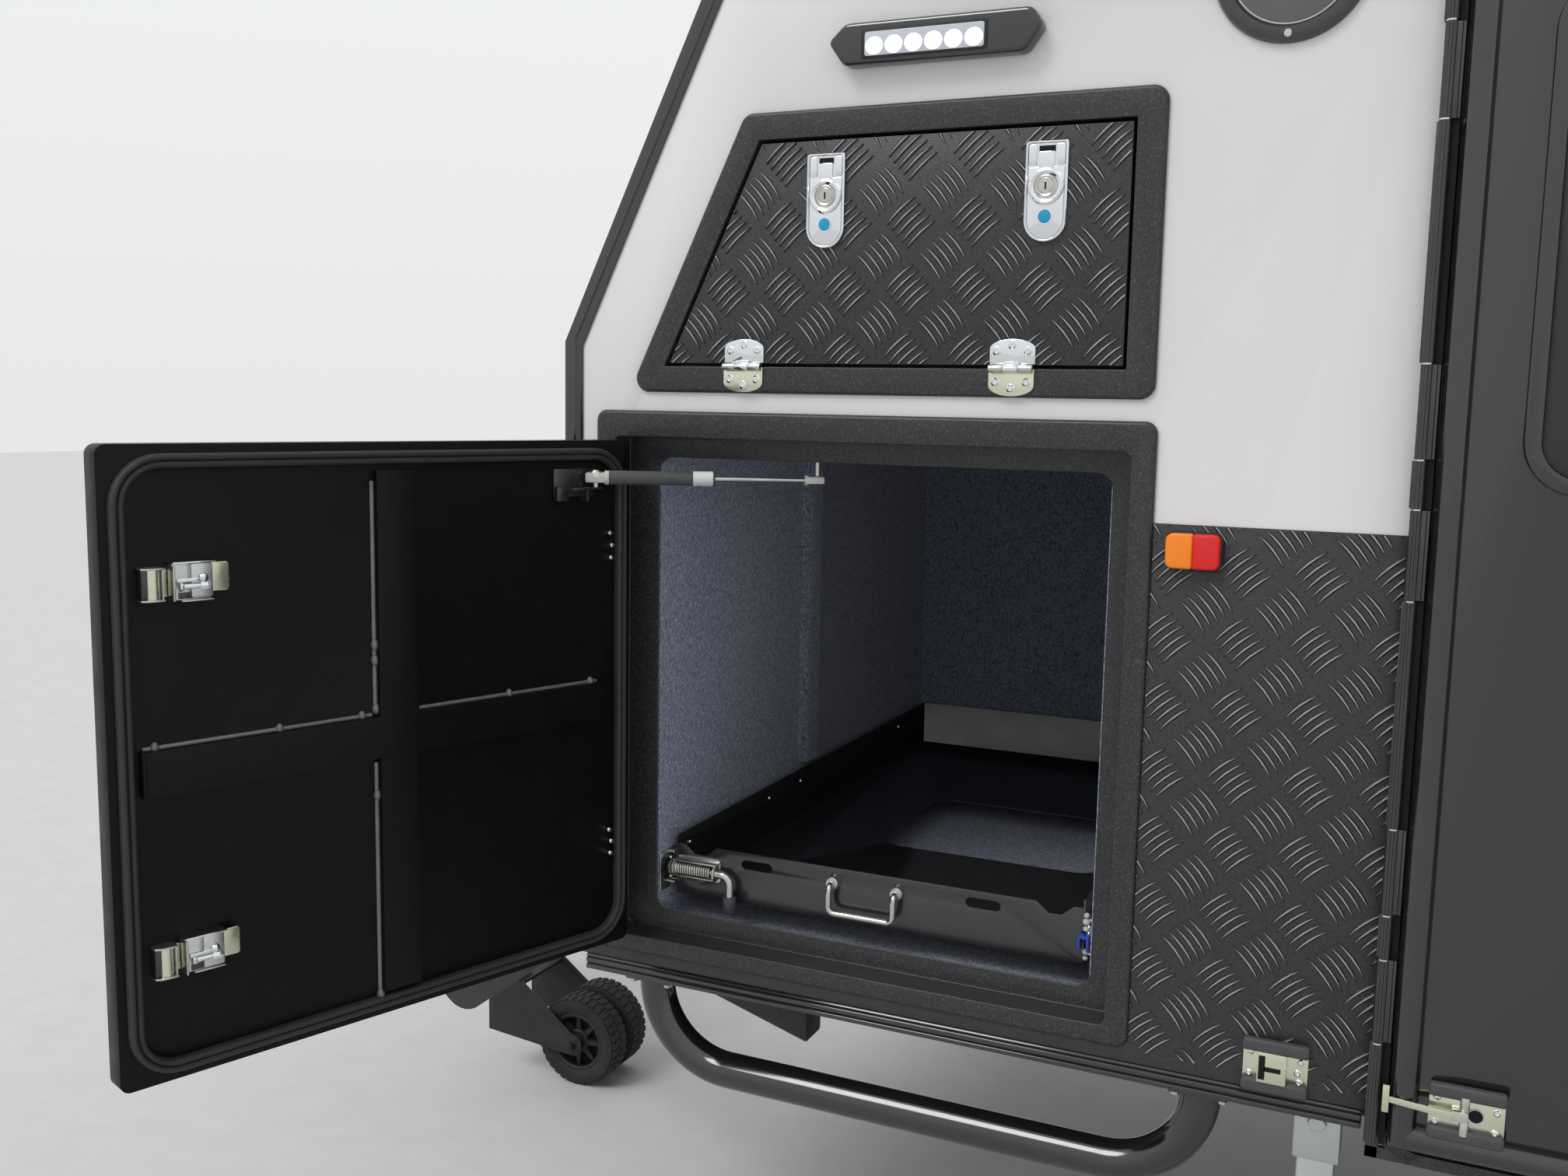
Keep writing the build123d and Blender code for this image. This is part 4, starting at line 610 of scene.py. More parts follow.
WALL_SKIN = Coat("wall_skin", (0.70, 0.70, 0.695), 0.32, worn_and_glint=(0.7, 0.7, 0.7), wear=0.1, grain=60.0, depth=0.00015,
                 gloss=0.25, dust=0.02, spread=0.06, shine=0.5)
ROOF_SKIN = Coat("roof_skin", (0.66, 0.665, 0.67), 0.4, worn_and_glint=(0.75, 0.75, 0.75), wear=0.1, grain=60.0, depth=0.0003,
                 gloss=0.15, dust=0.05, spread=0.08)
# Powder coat and tread carry fine pale flecks: painted glints.
POWDER = Coat("powder_black", (0.016, 0.0165, 0.0175), 0.34, worn_and_glint=(0.15, 0.15, 0.155), wear=0.2, grain=520.0,
              depth=0.0004, gloss=0.0, dust=0.02, spread=0.1, shine=0.5, painted_glints=0.5)
TREAD = Coat("tread_black", (0.019, 0.0195, 0.0205), 0.3, worn_and_glint=(0.13, 0.13, 0.13), wear=0.1, grain=560.0,
             depth=0.0003, gloss=0.0, dust=0.03, spread=0.08, shine=0.45, painted_glints=0.4)
# Pale finish on the tread bars' top faces: a painted highlight along their crests.
PAINTED_TREAD_HIGHLIGHT = Coat("tread_highlight_paint", (0.32, 0.32, 0.325), 0.22, worn_and_glint=(0.4, 0.4, 0.4), wear=0.1, grain=560.0,
                   depth=0.0001, gloss=0.0, dust=0.0, spread=0.1, shine=1.0)
SATIN = Coat("satin_black", (0.013, 0.0132, 0.0138), 0.2, worn_and_glint=(0.06, 0.06, 0.06), wear=0.2, grain=220.0,
             depth=0.00006, gloss=0.1, dust=0.02, spread=0.06, shine=0.8)
GLOSS = Coat("gloss_black", (0.007, 0.007, 0.0075), 0.1, worn_and_glint=(0.06, 0.06, 0.06), wear=0.2, grain=90.0, depth=0.00004,
             gloss=0.0, dust=0.02, spread=0.04, shine=1.0)
LINING = Coat("door_lining_black", (0.0035, 0.0037, 0.0044), 0.32, worn_and_glint=(0.03, 0.03, 0.03), wear=0.2, grain=480.0,
              depth=0.0005, gloss=0.0, dust=0.01, spread=0.1, shine=0.16)
CHASSIS = Coat("chassis_black", (0.011, 0.011, 0.0115), 0.4, worn_and_glint=(0.06, 0.06, 0.06), wear=0.4, grain=420.0,
               depth=0.0001, gloss=0.05, dust=0.1, spread=0.1)
PLASTIC = Coat("moulded_black", (0.014, 0.014, 0.0145), 0.45, worn_and_glint=(0.05, 0.05, 0.05), wear=0.3, grain=520.0,
               depth=0.00012, gloss=0.0, dust=0.05, spread=0.1)
RUBBER = Coat("seal_rubber", (0.026, 0.0265, 0.028), 0.45, worn_and_glint=(0.08, 0.08, 0.08), wear=0.3, grain=300.0,
              depth=0.00008, gloss=0.0, dust=0.02, spread=0.1)
TYRE = Coat("tyre_rubber", (0.014, 0.014, 0.0145), 0.66, worn_and_glint=(0.05, 0.05, 0.05), wear=0.3, grain=420.0, depth=0.0002,
            gloss=0.0, dust=0.12, spread=0.1, shine=0.25)
BEAD = Coat("sealant_bead", (0.10, 0.10, 0.105), 0.22, worn_and_glint=(0.3, 0.3, 0.3), wear=0.3, grain=160.0, depth=0.0002,
            gloss=0.0, dust=0.0, spread=0.1, shine=1.0)
FITTING = Coat("grey_plastic", (0.50, 0.50, 0.46), 0.4, worn_and_glint=(0.6, 0.6, 0.6), wear=0.2, grain=300.0, depth=0.00008,
               gloss=0.1, dust=0.0, spread=0.08)
BLUE = Coat("blue_plastic", (0.01, 0.04, 0.35), 0.35, worn_and_glint=(0.1, 0.2, 0.6), wear=0.3, grain=300.0, depth=0.00005,
            gloss=0.2, dust=0.0, spread=0.08)
TAPE = Coat("white_label", (0.62, 0.62, 0.60), 0.45, worn_and_glint=(0.6, 0.6, 0.6), wear=0.0, grain=200.0, depth=0.00005,
            gloss=0.1, dust=0.0, spread=0.08)
BOARD = Coat("laminate_board", (0.42, 0.40, 0.37), 0.4, worn_and_glint=(0.5, 0.5, 0.5), wear=0.2, grain=90.0, depth=0.0001,
             gloss=0.1, dust=0.0, spread=0.1)
LINO = Coat("cabin_floor", (0.20, 0.17, 0.14), 0.45, worn_and_glint=(0.3, 0.3, 0.3), wear=0.2, grain=60.0, depth=0.0002,
            gloss=0.1, dust=0.05, spread=0.1)
ZINC = Metal("zinc_plate", (0.66, 0.67, 0.66), 0.24, tint=(0.55, 0.58, 0.50), scale=500.0, depth=0.00003, spread=0.2)
YELLOW_ZINC = Metal("passivated_zinc", (0.76, 0.76, 0.60), 0.2, tint=(0.66, 0.68, 0.50), scale=260.0, depth=0.00003,
                    spread=0.16)
CHROME = Metal("bright_chrome", (0.82, 0.83, 0.84), 0.05, tint=(0.78, 0.80, 0.82), scale=400.0, depth=0.00001,
               spread=0.05)
STEEL = Metal("steel_rod", (0.62, 0.60, 0.56), 0.18, tint=(0.5, 0.49, 0.47), scale=900.0, depth=0.00001, spread=0.1)
ALLOY = Metal("machined_alloy", (0.36, 0.365, 0.37), 0.3, tint=(0.30, 0.30, 0.31), scale=700.0, depth=0.00002,
              spread=0.15)
CARPET = Pile("speckled_carpet", (0.15, 0.17, 0.25), 0.95, light=(0.50, 0.52, 0.62), dark=(0.012, 0.016, 0.04),
              scale=400.0, depth=0.0016)
CANVAS = Cloth("coated_canvas", (0.20, 0.205, 0.21), 0.75, shade=(0.25, 0.255, 0.26), scale=450.0, depth=0.0003,
               sheen=0.15)
TICKING = Cloth("mattress_ticking", (0.62, 0.60, 0.56), 0.85, shade=(0.52, 0.50, 0.47), scale=700.0, depth=0.0004,
                sheen=0.4)
TINTED = Glazing("tinted_acrylic", (0.10, 0.11, 0.12), 0.03, passes=0.85)
CLEAR = Glazing("clear_cover", (0.9, 0.92, 0.93), 0.03, passes=1.0)
AMBER = Glazing("amber_lens", (1.0, 0.26, 0.01), 0.05, passes=0.1, index=1.49, glow=0.06)
RED = Glazing("red_lens", (0.75, 0.012, 0.01), 0.05, passes=0.1, index=1.49, glow=0.05)
LED = Glazing("white_led", (1.0, 1.0, 1.0), 0.2, passes=0.0, index=1.49, glow=1.2)
LED_COVER = Glazing("led_cover", (0.34, 0.36, 0.40), 0.1, passes=0.0, index=1.49, glow=0.5)


MM = 0.001
BODY_FRONT = 1350.0
GROUND = -600.0
WALL_FACE = 1000.0
CLADDING = 1002.0
HATCH_PIN = (78.0, -1012.5)
HATCH_OPEN = 110.0
HATCH_INNER = -976.0
HATCH_OUTER = -1004.0
SMOOTH = 35.0
WELD = 0.00001
FLAT = 0.5


def spot(x: float, y: float, z: float) -> Vector:
    """Finds a point of the trailer.

    Args:
        x: millimetres behind the body's front face.
        y: millimetres to the offside of the centre line.
        z: millimetres above the ground.

    Returns:
        The point in the trailer's frame.
    """
    return Vector((BODY_FRONT + x, y, GROUND + z)) * MM


class Facing(Enum):
    """How a flat drawing stands in the trailer: its two directions and the way that it gains thickness."""

    NEAR = ((1, 0, 0), (0, 0, 1), (0, -1, 0))
    OFF = ((1, 0, 0), (0, 0, 1), (0, 1, 0))
    REAR = ((0, 1, 0), (0, 0, 1), (1, 0, 0))
    TOP = ((1, 0, 0), (0, 1, 0), (0, 0, 1))

    def at(self, origin: Vector) -> Matrix:
        """Gives the matrix that takes the drawing to its place.

        Args:
            origin: where the drawing's own zero lies.

        Returns:
            The matrix.
        """
        along, up, out = (Vector(way) for way in self.value)
        turn = Matrix((along, up, out)).transposed().to_4x4()
        return Matrix.Translation(origin) @ turn


def rounded_loop(x0: float, x1: float, y0: float, y1: float, radius: float,
                 steps: int = 6) -> list[tuple[float, float]]:
    """Draws a rectangle with rounded corners.

    Args:
        x0: left edge.
        x1: right edge.
        y0: lower edge.
        y1: upper edge.
        radius: of the corners.
        steps: runs in each corner.

    Returns:
        Its points, anticlockwise.
    """
    corners = ((x1 - radius, y0 + radius, -90), (x1 - radius, y1 - radius, 0), (x0 + radius, y1 - radius, 90),
               (x0 + radius, y0 + radius, 180))
    points = []
    for cx, cy, start in corners:
        for step in range(steps + 1):
            angle = math.radians(start + 90 * step / steps)
            points.append((cx + radius * math.cos(angle), cy + radius * math.sin(angle)))
    return points


def meshed(part: bmesh.types.BMesh, label: str) -> bpy.types.Mesh:
    """Turns a part into a mesh and frees it.

    Args:
        part: the part.
        label: the mesh's name.

    Returns:
        The mesh.
    """
    mesh = bpy.data.meshes.new(label)
    part.to_mesh(mesh)
    part.free()
    return mesh


def placed(label: str, data: bpy.types.ID) -> bpy.types.Object:
    """Puts an object into the scene.

    Args:
        label: its name.
        data: its mesh, lamp or camera.

    Returns:
        The object.
    """
    made = bpy.data.objects.new(label, data)
    bpy.context.scene.collection.objects.link(made)
    return made


class Draft:
    """A piece in the making: its mesh, drawn in millimetres in its own place, and the finish of each part."""

    def __init__(self, label: str, place: Optional[Matrix] = None) -> None:
        """Starts an empty piece.

        Args:
            label: the piece's name.
            place: takes drawn millimetres, as metres, to the trailer; None draws from the body's front, the centre
                line and the ground.
        """
        self.label = label
        self.place = place if place is not None else Matrix.Translation(spot(0, 0, 0))
        self.mesh = bpy.data.meshes.new(label)
        self.finishes: list[Finish] = []
        self.whole = bmesh.new()

    def number(self, finish: Finish) -> int:
        """Gives a finish's place in the piece's list, adding it the first time.

        Args:
            finish: the finish.

        Returns:
            Its number.
        """
        if finish not in self.finishes:
            self.finishes.append(finish)
        return self.finishes.index(finish)

    def add(self, part: bmesh.types.BMesh, finish: Finish, turn: Optional[Matrix] = None,
            crown: Optional[Finish] = None, level: float = 0.0) -> None:
        """Joins a part to the piece.

        Args:
            part: drawn in millimetres.
            finish: of its faces.
            turn: moves the part first, still in millimetres.
            crown: of the faces that lie wholly above a level before the part is moved, if they differ.
            level: that level, along Z.
        """
        index = self.number(finish)
        top = index if crown is None else self.number(crown)
        for face in part.faces:
            face.material_index = top if min(vert.co.z for vert in face.verts) > level else index
        if turn is not None:
            bmesh.ops.transform(part, matrix=turn, verts=part.verts)
        bmesh.ops.recalc_face_normals(part, faces=part.faces)
        spare = bpy.data.meshes.new("part")
        part.to_mesh(spare)
        part.free()
        self.whole.from_mesh(spare)
        bpy.data.meshes.remove(spare)

    def done(self, body: str, slot: str, smooth: float = SMOOTH) -> bpy.types.Object:
        """Turns the draft into a finished piece.

        Args:
            body: the body that it rides on.
            slot: the record's material slot; not used.
            smooth: edges turned further than this many degrees stay sharp.

        Returns:
            The object.
        """
        bmesh.ops.scale(self.whole, vec=(MM, MM, MM), verts=self.whole.verts)
        bmesh.ops.transform(self.whole, matrix=self.place, verts=self.whole.verts)
        self.whole.to_mesh(self.mesh)
        self.whole.free()
        return finished(self.mesh, self.label, self.finishes, body, smooth)


def finished(mesh: bpy.types.Mesh, label: str, finishes: Sequence[Finish], body: Optional[str],
             smooth: float = SMOOTH) -> bpy.types.Object:
    """Makes an object of a mesh, with its materials and body.

    Args:
        mesh: in the trailer's frame.
        label: the object's name.
        finishes: in the order of the faces' material numbers.
        body: the body that it rides on, or None for a piece on no body.
        smooth: edges turned further than this many degrees stay sharp.

    Returns:
        The object.
    """
    for finish in finishes:
        mesh.materials.append(finish.material())
    mesh.polygons.foreach_set("use_smooth", [True] * len(mesh.polygons))
    mesh.set_sharp_from_angle(angle=math.radians(smooth))
    made = placed(label, mesh)
    if body is not None:
        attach(made, body)
    LOG.info("%s: %d faces on %s", label, len(mesh.polygons), body or "two bodies")
    return made


def bevelled(part: bmesh.types.BMesh, width: float, segments: int = 2, sharper: float = 30.0) -> bmesh.types.BMesh:
    """Rounds a part's sharp edges.

    Args:
        part: the part.
        width: of the rounding.
        segments: runs across it.
        sharper: only edges turned further than this many degrees.

    Returns:
        The same part.
    """
    if width > 0:
        part.edges.ensure_lookup_table()
        limit = math.radians(sharper)
        edges = [edge for edge in part.edges if len(edge.link_faces) == 2 and edge.calc_face_angle(0.0) > limit]
        bmesh.ops.bevel(part, geom=edges, offset=width, offset_type="OFFSET", segments=segments, profile=0.5,
                        affect="EDGES", material=-1, clamp_overlap=True)
    return part


def box(x0: float, x1: float, y0: float, y1: float, z0: float, z1: float, bevel: float = 0.0) -> bmesh.types.BMesh:
    """Makes a box with its edges rounded.

    Args:
        x0: front.
        x1: rear.
        y0: nearside.
        y1: offside.
        z0: foot.
        z1: top.
        bevel: rounding of its edges.

    Returns:
        The part.
    """
    part = bmesh.new()
    middle = Matrix.Translation(((x0 + x1) / 2, (y0 + y1) / 2, (z0 + z1) / 2))
    size = Matrix.Diagonal((x1 - x0, y1 - y0, z1 - z0, 1.0))
    bmesh.ops.create_cube(part, size=1.0, matrix=middle @ size)
    return bevelled(part, bevel)


def plate(points: Outline, start: float, end: float, facing: Facing = Facing.NEAR, bevel: float = 0.0,
          origin: Point = (0.0, 0.0, 0.0), segments: int = 2) -> bmesh.types.BMesh:
    """Makes a plate from an outline.

    Args:
        points: the outline, in the drawing's two directions.
        start: where the plate begins, along the way that it gains thickness.
        end: where it ends.
        facing: how the drawing stands.
        bevel: rounding of its edges.
        origin: where the drawing's zero lies.
        segments: runs across the rounding.

    Returns:
        The part.
    """
    part = bmesh.new()
    face = part.faces.new([part.verts.new((u, v, start)) for u, v in points])
    grown = bmesh.ops.extrude_face_region(part, geom=[face], use_keep_orig=True)
    fresh = [item for item in grown["geom"] if isinstance(item, bmesh.types.BMVert)]
    bmesh.ops.translate(part, vec=(0, 0, end - start), verts=fresh)
    bmesh.ops.transform(part, matrix=facing.at(Vector(origin)), verts=part.verts)
    bmesh.ops.recalc_face_normals(part, faces=part.faces)
    return bevelled(part, bevel, segments)


def rod(start: Point, end: Point, radius: float, sides: int = 20, bevel: float = 0.0) -> bmesh.types.BMesh:
    """Makes a round bar between two points.

    Args:
        start: centre of one end.
        end: centre of the other.
        radius: of the bar.
        sides: faces round it.
        bevel: rounding of its ends.

    Returns:
        The part.
    """
    first, last = Vector(start), Vector(end)
    way = last - first
    part = bmesh.new()
    turn = way.to_track_quat("Z", "Y").to_matrix().to_4x4()
    bmesh.ops.create_cone(part, cap_ends=True, cap_tris=False, segments=sides, radius1=radius, radius2=radius,
                          depth=way.length, matrix=Matrix.Translation((first + last) / 2) @ turn)
    return bevelled(part, bevel, 2, 50.0)


def ball(centre: Point, radius: float, stretch: Point = (1.0, 1.0, 1.0)) -> bmesh.types.BMesh:
    """Makes a ball.

    Args:
        centre: its middle.
        radius: before it is stretched.
        stretch: along each axis.

    Returns:
        The part.
    """
    part = bmesh.new()
    shape = Matrix.Translation(Vector(centre)) @ Matrix.Diagonal((*stretch, 1.0))
    bmesh.ops.create_uvsphere(part, u_segments=20, v_segments=12, radius=radius, matrix=shape)
    return part


def lathe(profile: Outline, origin: Point, axis: Point, steps: int = 32) -> bmesh.types.BMesh:
    """Turns a profile round an axis.

    Args:
        profile: radius and height of each point, along the axis.
        origin: where height 0 lies.
        axis: the way that height grows.
        steps: faces round it.

    Returns:
        The part.
    """
    part = bmesh.new()
    verts = [part.verts.new((radius, 0.0, height)) for radius, height in profile]
    edges = [part.edges.new(pair) for pair in zip(verts, verts[1:])]
    bmesh.ops.spin(part, geom=verts + edges, cent=(0, 0, 0), axis=(0, 0, 1), angle=math.tau, steps=steps,
                   use_merge=True, use_duplicate=False)
    bmesh.ops.remove_doubles(part, verts=part.verts, dist=0.0001)
    turn = Vector(axis).to_track_quat("Z", "Y").to_matrix().to_4x4()
    bmesh.ops.transform(part, matrix=Matrix.Translation(Vector(origin)) @ turn, verts=part.verts)
    bmesh.ops.recalc_face_normals(part, faces=part.faces)
    return part


def tube(points: Sequence[Point], radius: float, bend: float, sides: int = 16, steps: int = 8) -> bmesh.types.BMesh:
    """Runs a round bar along straight lines joined by bends.

    Args:
        points: corners of the run.
        radius: of the bar.
        bend: radius of its centre line in the bends.
        sides: faces round it.
        steps: runs in each bend.

    Returns:
        The part.
    """
    path = [Vector(point) for point in points]
    part = bmesh.new()
    heading = (path[1] - path[0]).normalized()
    turn = heading.to_track_quat("Z", "Y").to_matrix().to_4x4()
    bmesh.ops.create_circle(part, cap_ends=True, segments=sides, radius=radius,
                            matrix=Matrix.Translation(path[0]) @ turn)
    live = list(part.edges)
    at = path[0]
    for index in range(1, len(path)):
        heading = (path[index] - path[index - 1]).normalized()
        stop, angle, after = path[index], 0.0, heading
        if index < len(path) - 1:
            after = (path[index + 1] - path[index]).normalized()
            angle = heading.angle(after)
            stop = path[index] - heading * bend * math.tan(angle / 2)
        grown = bmesh.ops.extrude_edge_only(part, edges=live)
        fresh = [item for item in grown["geom"] if isinstance(item, bmesh.types.BMVert)]
        bmesh.ops.translate(part, vec=stop - at, verts=fresh)
        live = [edge for edge in part.edges if edge.verts[0] in fresh and edge.verts[1] in fresh]
        at = stop
        if angle > 0.001:
            axis = heading.cross(after).normalized()
            centre = stop + axis.cross(heading) * bend
            spun = bmesh.ops.spin(part, geom=fresh + live, cent=centre, axis=axis, angle=angle, steps=steps,
                                  use_duplicate=False)
            fresh = [item for item in spun["geom_last"] if isinstance(item, bmesh.types.BMVert)]
            live = [item for item in spun["geom_last"] if isinstance(item, bmesh.types.BMEdge)]
            at = stop + (heading + after) * bend * math.tan(angle / 2)
    bmesh.ops.edgeloop_fill(part, edges=live)
    bmesh.ops.recalc_face_normals(part, faces=part.faces)
    return part


def hoop(shape: Callable[[float], Outline], section: Outline, facing: Facing = Facing.NEAR,
         origin: Point = (0.0, 0.0, 0.0)) -> bmesh.types.BMesh:
    """Runs a closed section all the way round an outline.

    Args:
        shape: gives the outline moved out by a distance, always with as many points.
        section: how far out and how far forward each of its points lies.
        facing: how the drawing stands.
        origin: where its zero lies.

    Returns:
        The part.
    """
    part = bmesh.new()
    rings = []
    for out, height in section:
        verts = [part.verts.new((u, v, height)) for u, v in shape(out)]
        rings.append([part.edges.new((verts[index - 1], verts[index])) for index in range(len(verts))])
    for first, second in zip(rings, rings[1:] + rings[:1]):
        bmesh.ops.bridge_loops(part, edges=first + second)
    bmesh.ops.transform(part, matrix=facing.at(Vector(origin)), verts=part.verts)
    bmesh.ops.recalc_face_normals(part, faces=part.faces)
    return part


@dataclass(frozen=True)
class Skin:
    """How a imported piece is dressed: its finishes, which face gets which, and its edges' rounding in millimetres."""

    finishes: tuple[Finish, ...]
    bevel: float = 1.0
    pick: Optional[Callable[[Vector], int]] = None
    segments: int = 2

    def dress(self, node: str) -> bpy.types.Object:
        """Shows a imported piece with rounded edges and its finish.

        Args:
            node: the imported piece's name.

        Returns:
            The object shown in its place.
        """
        work = bmesh.new()
        work.from_mesh(frame["nodes"][node].data)
        bmesh.ops.remove_doubles(work, verts=work.verts, dist=WELD)
        bmesh.ops.dissolve_limit(work, angle_limit=math.radians(FLAT), verts=work.verts, edges=work.edges)
        bevelled(work, self.bevel * MM, self.segments)
        bmesh.ops.recalc_face_normals(work, faces=work.faces)
        if self.pick is not None:
            for face in work.faces:
                face.material_index = self.pick(face.calc_center_median())
        mesh = meshed(work, f"{node}_shown")
        shown = finished(mesh, f"{node}_shown", self.finishes, BODY_OF[node])
        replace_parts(shown, node)
        return shown


def above(height: float) -> Callable[[Vector], int]:
    """Gives a rule that picks the second finish above a height in the trailer's frame."""
    return lambda centre: int(centre.z > height)


CABIN_FLOOR = 0.172


@dataclass(frozen=True)
class PlainPieces:
    """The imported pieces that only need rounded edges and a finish."""

    looks: tuple[tuple[str, Skin], ...] = (
        ("chassis_rails", Skin((CHASSIS,), 4.0)),
        ("drawbar", Skin((CHASSIS,), 5.0)),
        ("coupling_head", Skin((CHASSIS,), 2.0)),
        ("nose_guard", Skin((TREAD,), 0.8)),
        ("suspension_brackets", Skin((CHASSIS,), 1.0)),
        ("air_springs", Skin((RUBBER,), 6.0, None, 4)),
        ("trailing_arms", Skin((CHASSIS,), 3.0)),
        ("jockey_fork", Skin((CHASSIS,), 1.0)),
        ("jockey_leg", Skin((CHASSIS,), 1.5)),
        ("side_wall_near", Skin((WALL_SKIN,), 0.8)),
        ("side_wall_off", Skin((WALL_SKIN,), 0.8)),
        ("front_wall", Skin((WALL_SKIN,), 0.8)),
        ("rear_wall", Skin((WALL_SKIN,), 0.8)),
        ("roof_rim", Skin((WALL_SKIN,), 0.8)),
        ("floor", Skin((CHASSIS, LINO), 0.8, above(CABIN_FLOOR))),
        ("wheel_tubs", Skin((CHASSIS,), 0.6)),
        ("body_trims", Skin((GLOSS,), 0.9)),
        ("tread_plates", Skin((TREAD,), 0.4)),
        ("roof_lifter_tubes", Skin((ZINC,), 1.5)),
        ("roof_lifter_rods", Skin((STEEL,), 0.8)),
        ("hatch_frames", Skin((POWDER,), 1.8, None, 3)),
        ("offside_hatch", Skin((TREAD,), 0.8)),
        ("hatch_door", Skin((LINING,), 0.9)),
        ("storage_metalwork", Skin((ZINC,), 0.6)),
        ("storage_liners", Skin((CARPET,), 3.0)),
        ("slide_tray", Skin((SATIN,), 0.5)),
        ("locker_frame", Skin((POWDER,), 1.8, None, 3)),
        ("locker_hatch", Skin((TREAD,), 0.8)),
        ("entry_frame", Skin((POWDER,), 0.8)),
        ("entry_door", Skin((GLOSS,), 1.5)),
        ("entry_window", Skin((TINTED,), 0.8)),
        ("window_frames", Skin((PLASTIC,), 2.0)),
        ("window_panes", Skin((TINTED,), 1.5)),
        ("arch_flares", Skin((PLASTIC,), 3.0)),
        ("rear_bar", Skin((CHASSIS,), 3.0)),
        ("cabin_furniture", Skin((BOARD,), 1.5)),
        ("rim_near", Skin((ALLOY,), 2.0)),
        ("rim_off", Skin((ALLOY,), 2.0)),
        ("pop_roof", Skin((ROOF_SKIN,), 4.0)),
    )

    def dress(self) -> None:
        """Shows each of them."""
        for node, skin in self.looks:
            skin.dress(node)


@dataclass(frozen=True)
class Studio:
    """The pale floor, the even sky and the soft light round the trailer."""

    floor: Finish = Finish("studio_floor", (0.60, 0.60, 0.60), 0.9)
    floor_span: float = 60.0
    floor_middle: float = 2.0
    sky: Colour = (0.97, 0.98, 1.0)
    horizon: Colour = (0.80, 0.81, 0.82)
    sky_light: float = 0.86
    sun_strength: float = 1.3
    sun_angle: float = 26.0
    sun_turn: Point = (42.0, 0.0, -28.0)

    def build(self) -> None:
        """Builds the floor and the lights."""
        part = bmesh.new()
        bmesh.ops.create_grid(part, x_segments=1, y_segments=1, size=self.floor_span / 2,
                              matrix=Matrix.Translation((self.floor_middle, 0.0, GROUND * MM)))
        mesh = meshed(part, "studio_floor")
        mesh.materials.append(self.floor.material())
        floor = placed("studio_floor", mesh)
        self.light()
        self.air()

    def light(self) -> None:
        """Hangs one soft sun, high over the nearside and a little ahead."""
        lamp = bpy.data.lights.new("studio_sun", "SUN")
        lamp.energy = self.sun_strength
        lamp.angle = math.radians(self.sun_angle)
        held = placed("studio_sun", lamp)
        held.rotation_euler = tuple(math.radians(turn) for turn in self.sun_turn)

    def air(self) -> None:
        """Fills the world with pale light, plain white where it is looked at."""
        world = bpy.data.worlds.new("studio_air")
        bpy.context.scene.world = world
        world.use_nodes = True
        w = Wiring(world.node_tree)
        world.node_tree.nodes.clear()
        path = w.node("LightPath")
        height = w.node("SeparateXYZ", {0: w.node("TexCoord").outputs["Generated"]}).outputs["Z"]
        air = w.mix(w.span(height, 0.0, 0.7), self.horizon, self.sky)
        seen = w.math("MAXIMUM", path.outputs["Is Camera Ray"], path.outputs["Is Transmission Ray"])
        seen = w.math("MAXIMUM", seen, path.outputs["Is Glossy Ray"])
        lit = w.node("Background", {"Color": air, "Strength": self.sky_light})
        shown = w.node("Background", {"Color": air, "Strength": 1.0})
        both = w.node("MixShader", {0: seen, 1: lit.outputs[0], 2: shown.outputs[0]})
        out = w.node("OutputWorld")
        w.feed(out.inputs["Surface"], both.outputs[0])


@dataclass(frozen=True)
class PhotoCamera:
    """The camera at the photograph's place and angle."""

    place: Point = (2.43505, -2.65819, 0.90527)
    yaw: float = 24.709
    pitch: float = 7.307
    roll: float = 1.045
    lens: float = 33.453
    sensor: float = 36.0
    nearest: float = 0.05

    def build(self) -> None:
        """Sets the camera up."""
        yaw, pitch, roll = (math.radians(angle) for angle in (self.yaw, self.pitch, self.roll))
        ahead = Vector((-math.sin(yaw) * math.cos(pitch), math.cos(yaw) * math.cos(pitch), -math.sin(pitch)))
        right = Vector((math.cos(yaw), math.sin(yaw), 0.0))
        up = right.cross(ahead)
        across = right * math.cos(roll) + up * math.sin(roll)
        upright = up * math.cos(roll) - right * math.sin(roll)
        turn = Matrix((across, upright, -ahead)).transposed()
        lens = bpy.data.cameras.new("photo_camera")
        lens.lens = self.lens
        lens.sensor_width = self.sensor
        lens.clip_start = self.nearest
        held = placed("photo_camera", lens)
        held.matrix_world = Matrix.Translation(self.place) @ turn.to_4x4()
        bpy.context.scene.camera = held


def swung(pin: tuple[float, float], degrees: float) -> Matrix:
    """Gives the place of a piece that is drawn shut, on a leaf that stands open.

    Args:
        pin: the hinge's X and Y, in drawn millimetres.
        degrees: how far the leaf is turned about +Z.

    Returns:
        The matrix for a draft.
    """
    back = Matrix.Translation(Vector((-pin[0], -pin[1], 0.0)) * MM)
    return Matrix.Translation(spot(*pin, 0.0)) @ Matrix.Rotation(math.radians(degrees), 4, "Z") @ back


def oblong(x0: float, x1: float, y0: float, y1: float) -> list[tuple[float, float]]:
    """Draws a rectangle's corners, anticlockwise."""
    return [(x0, y0), (x1, y0), (x1, y1), (x0, y1)]


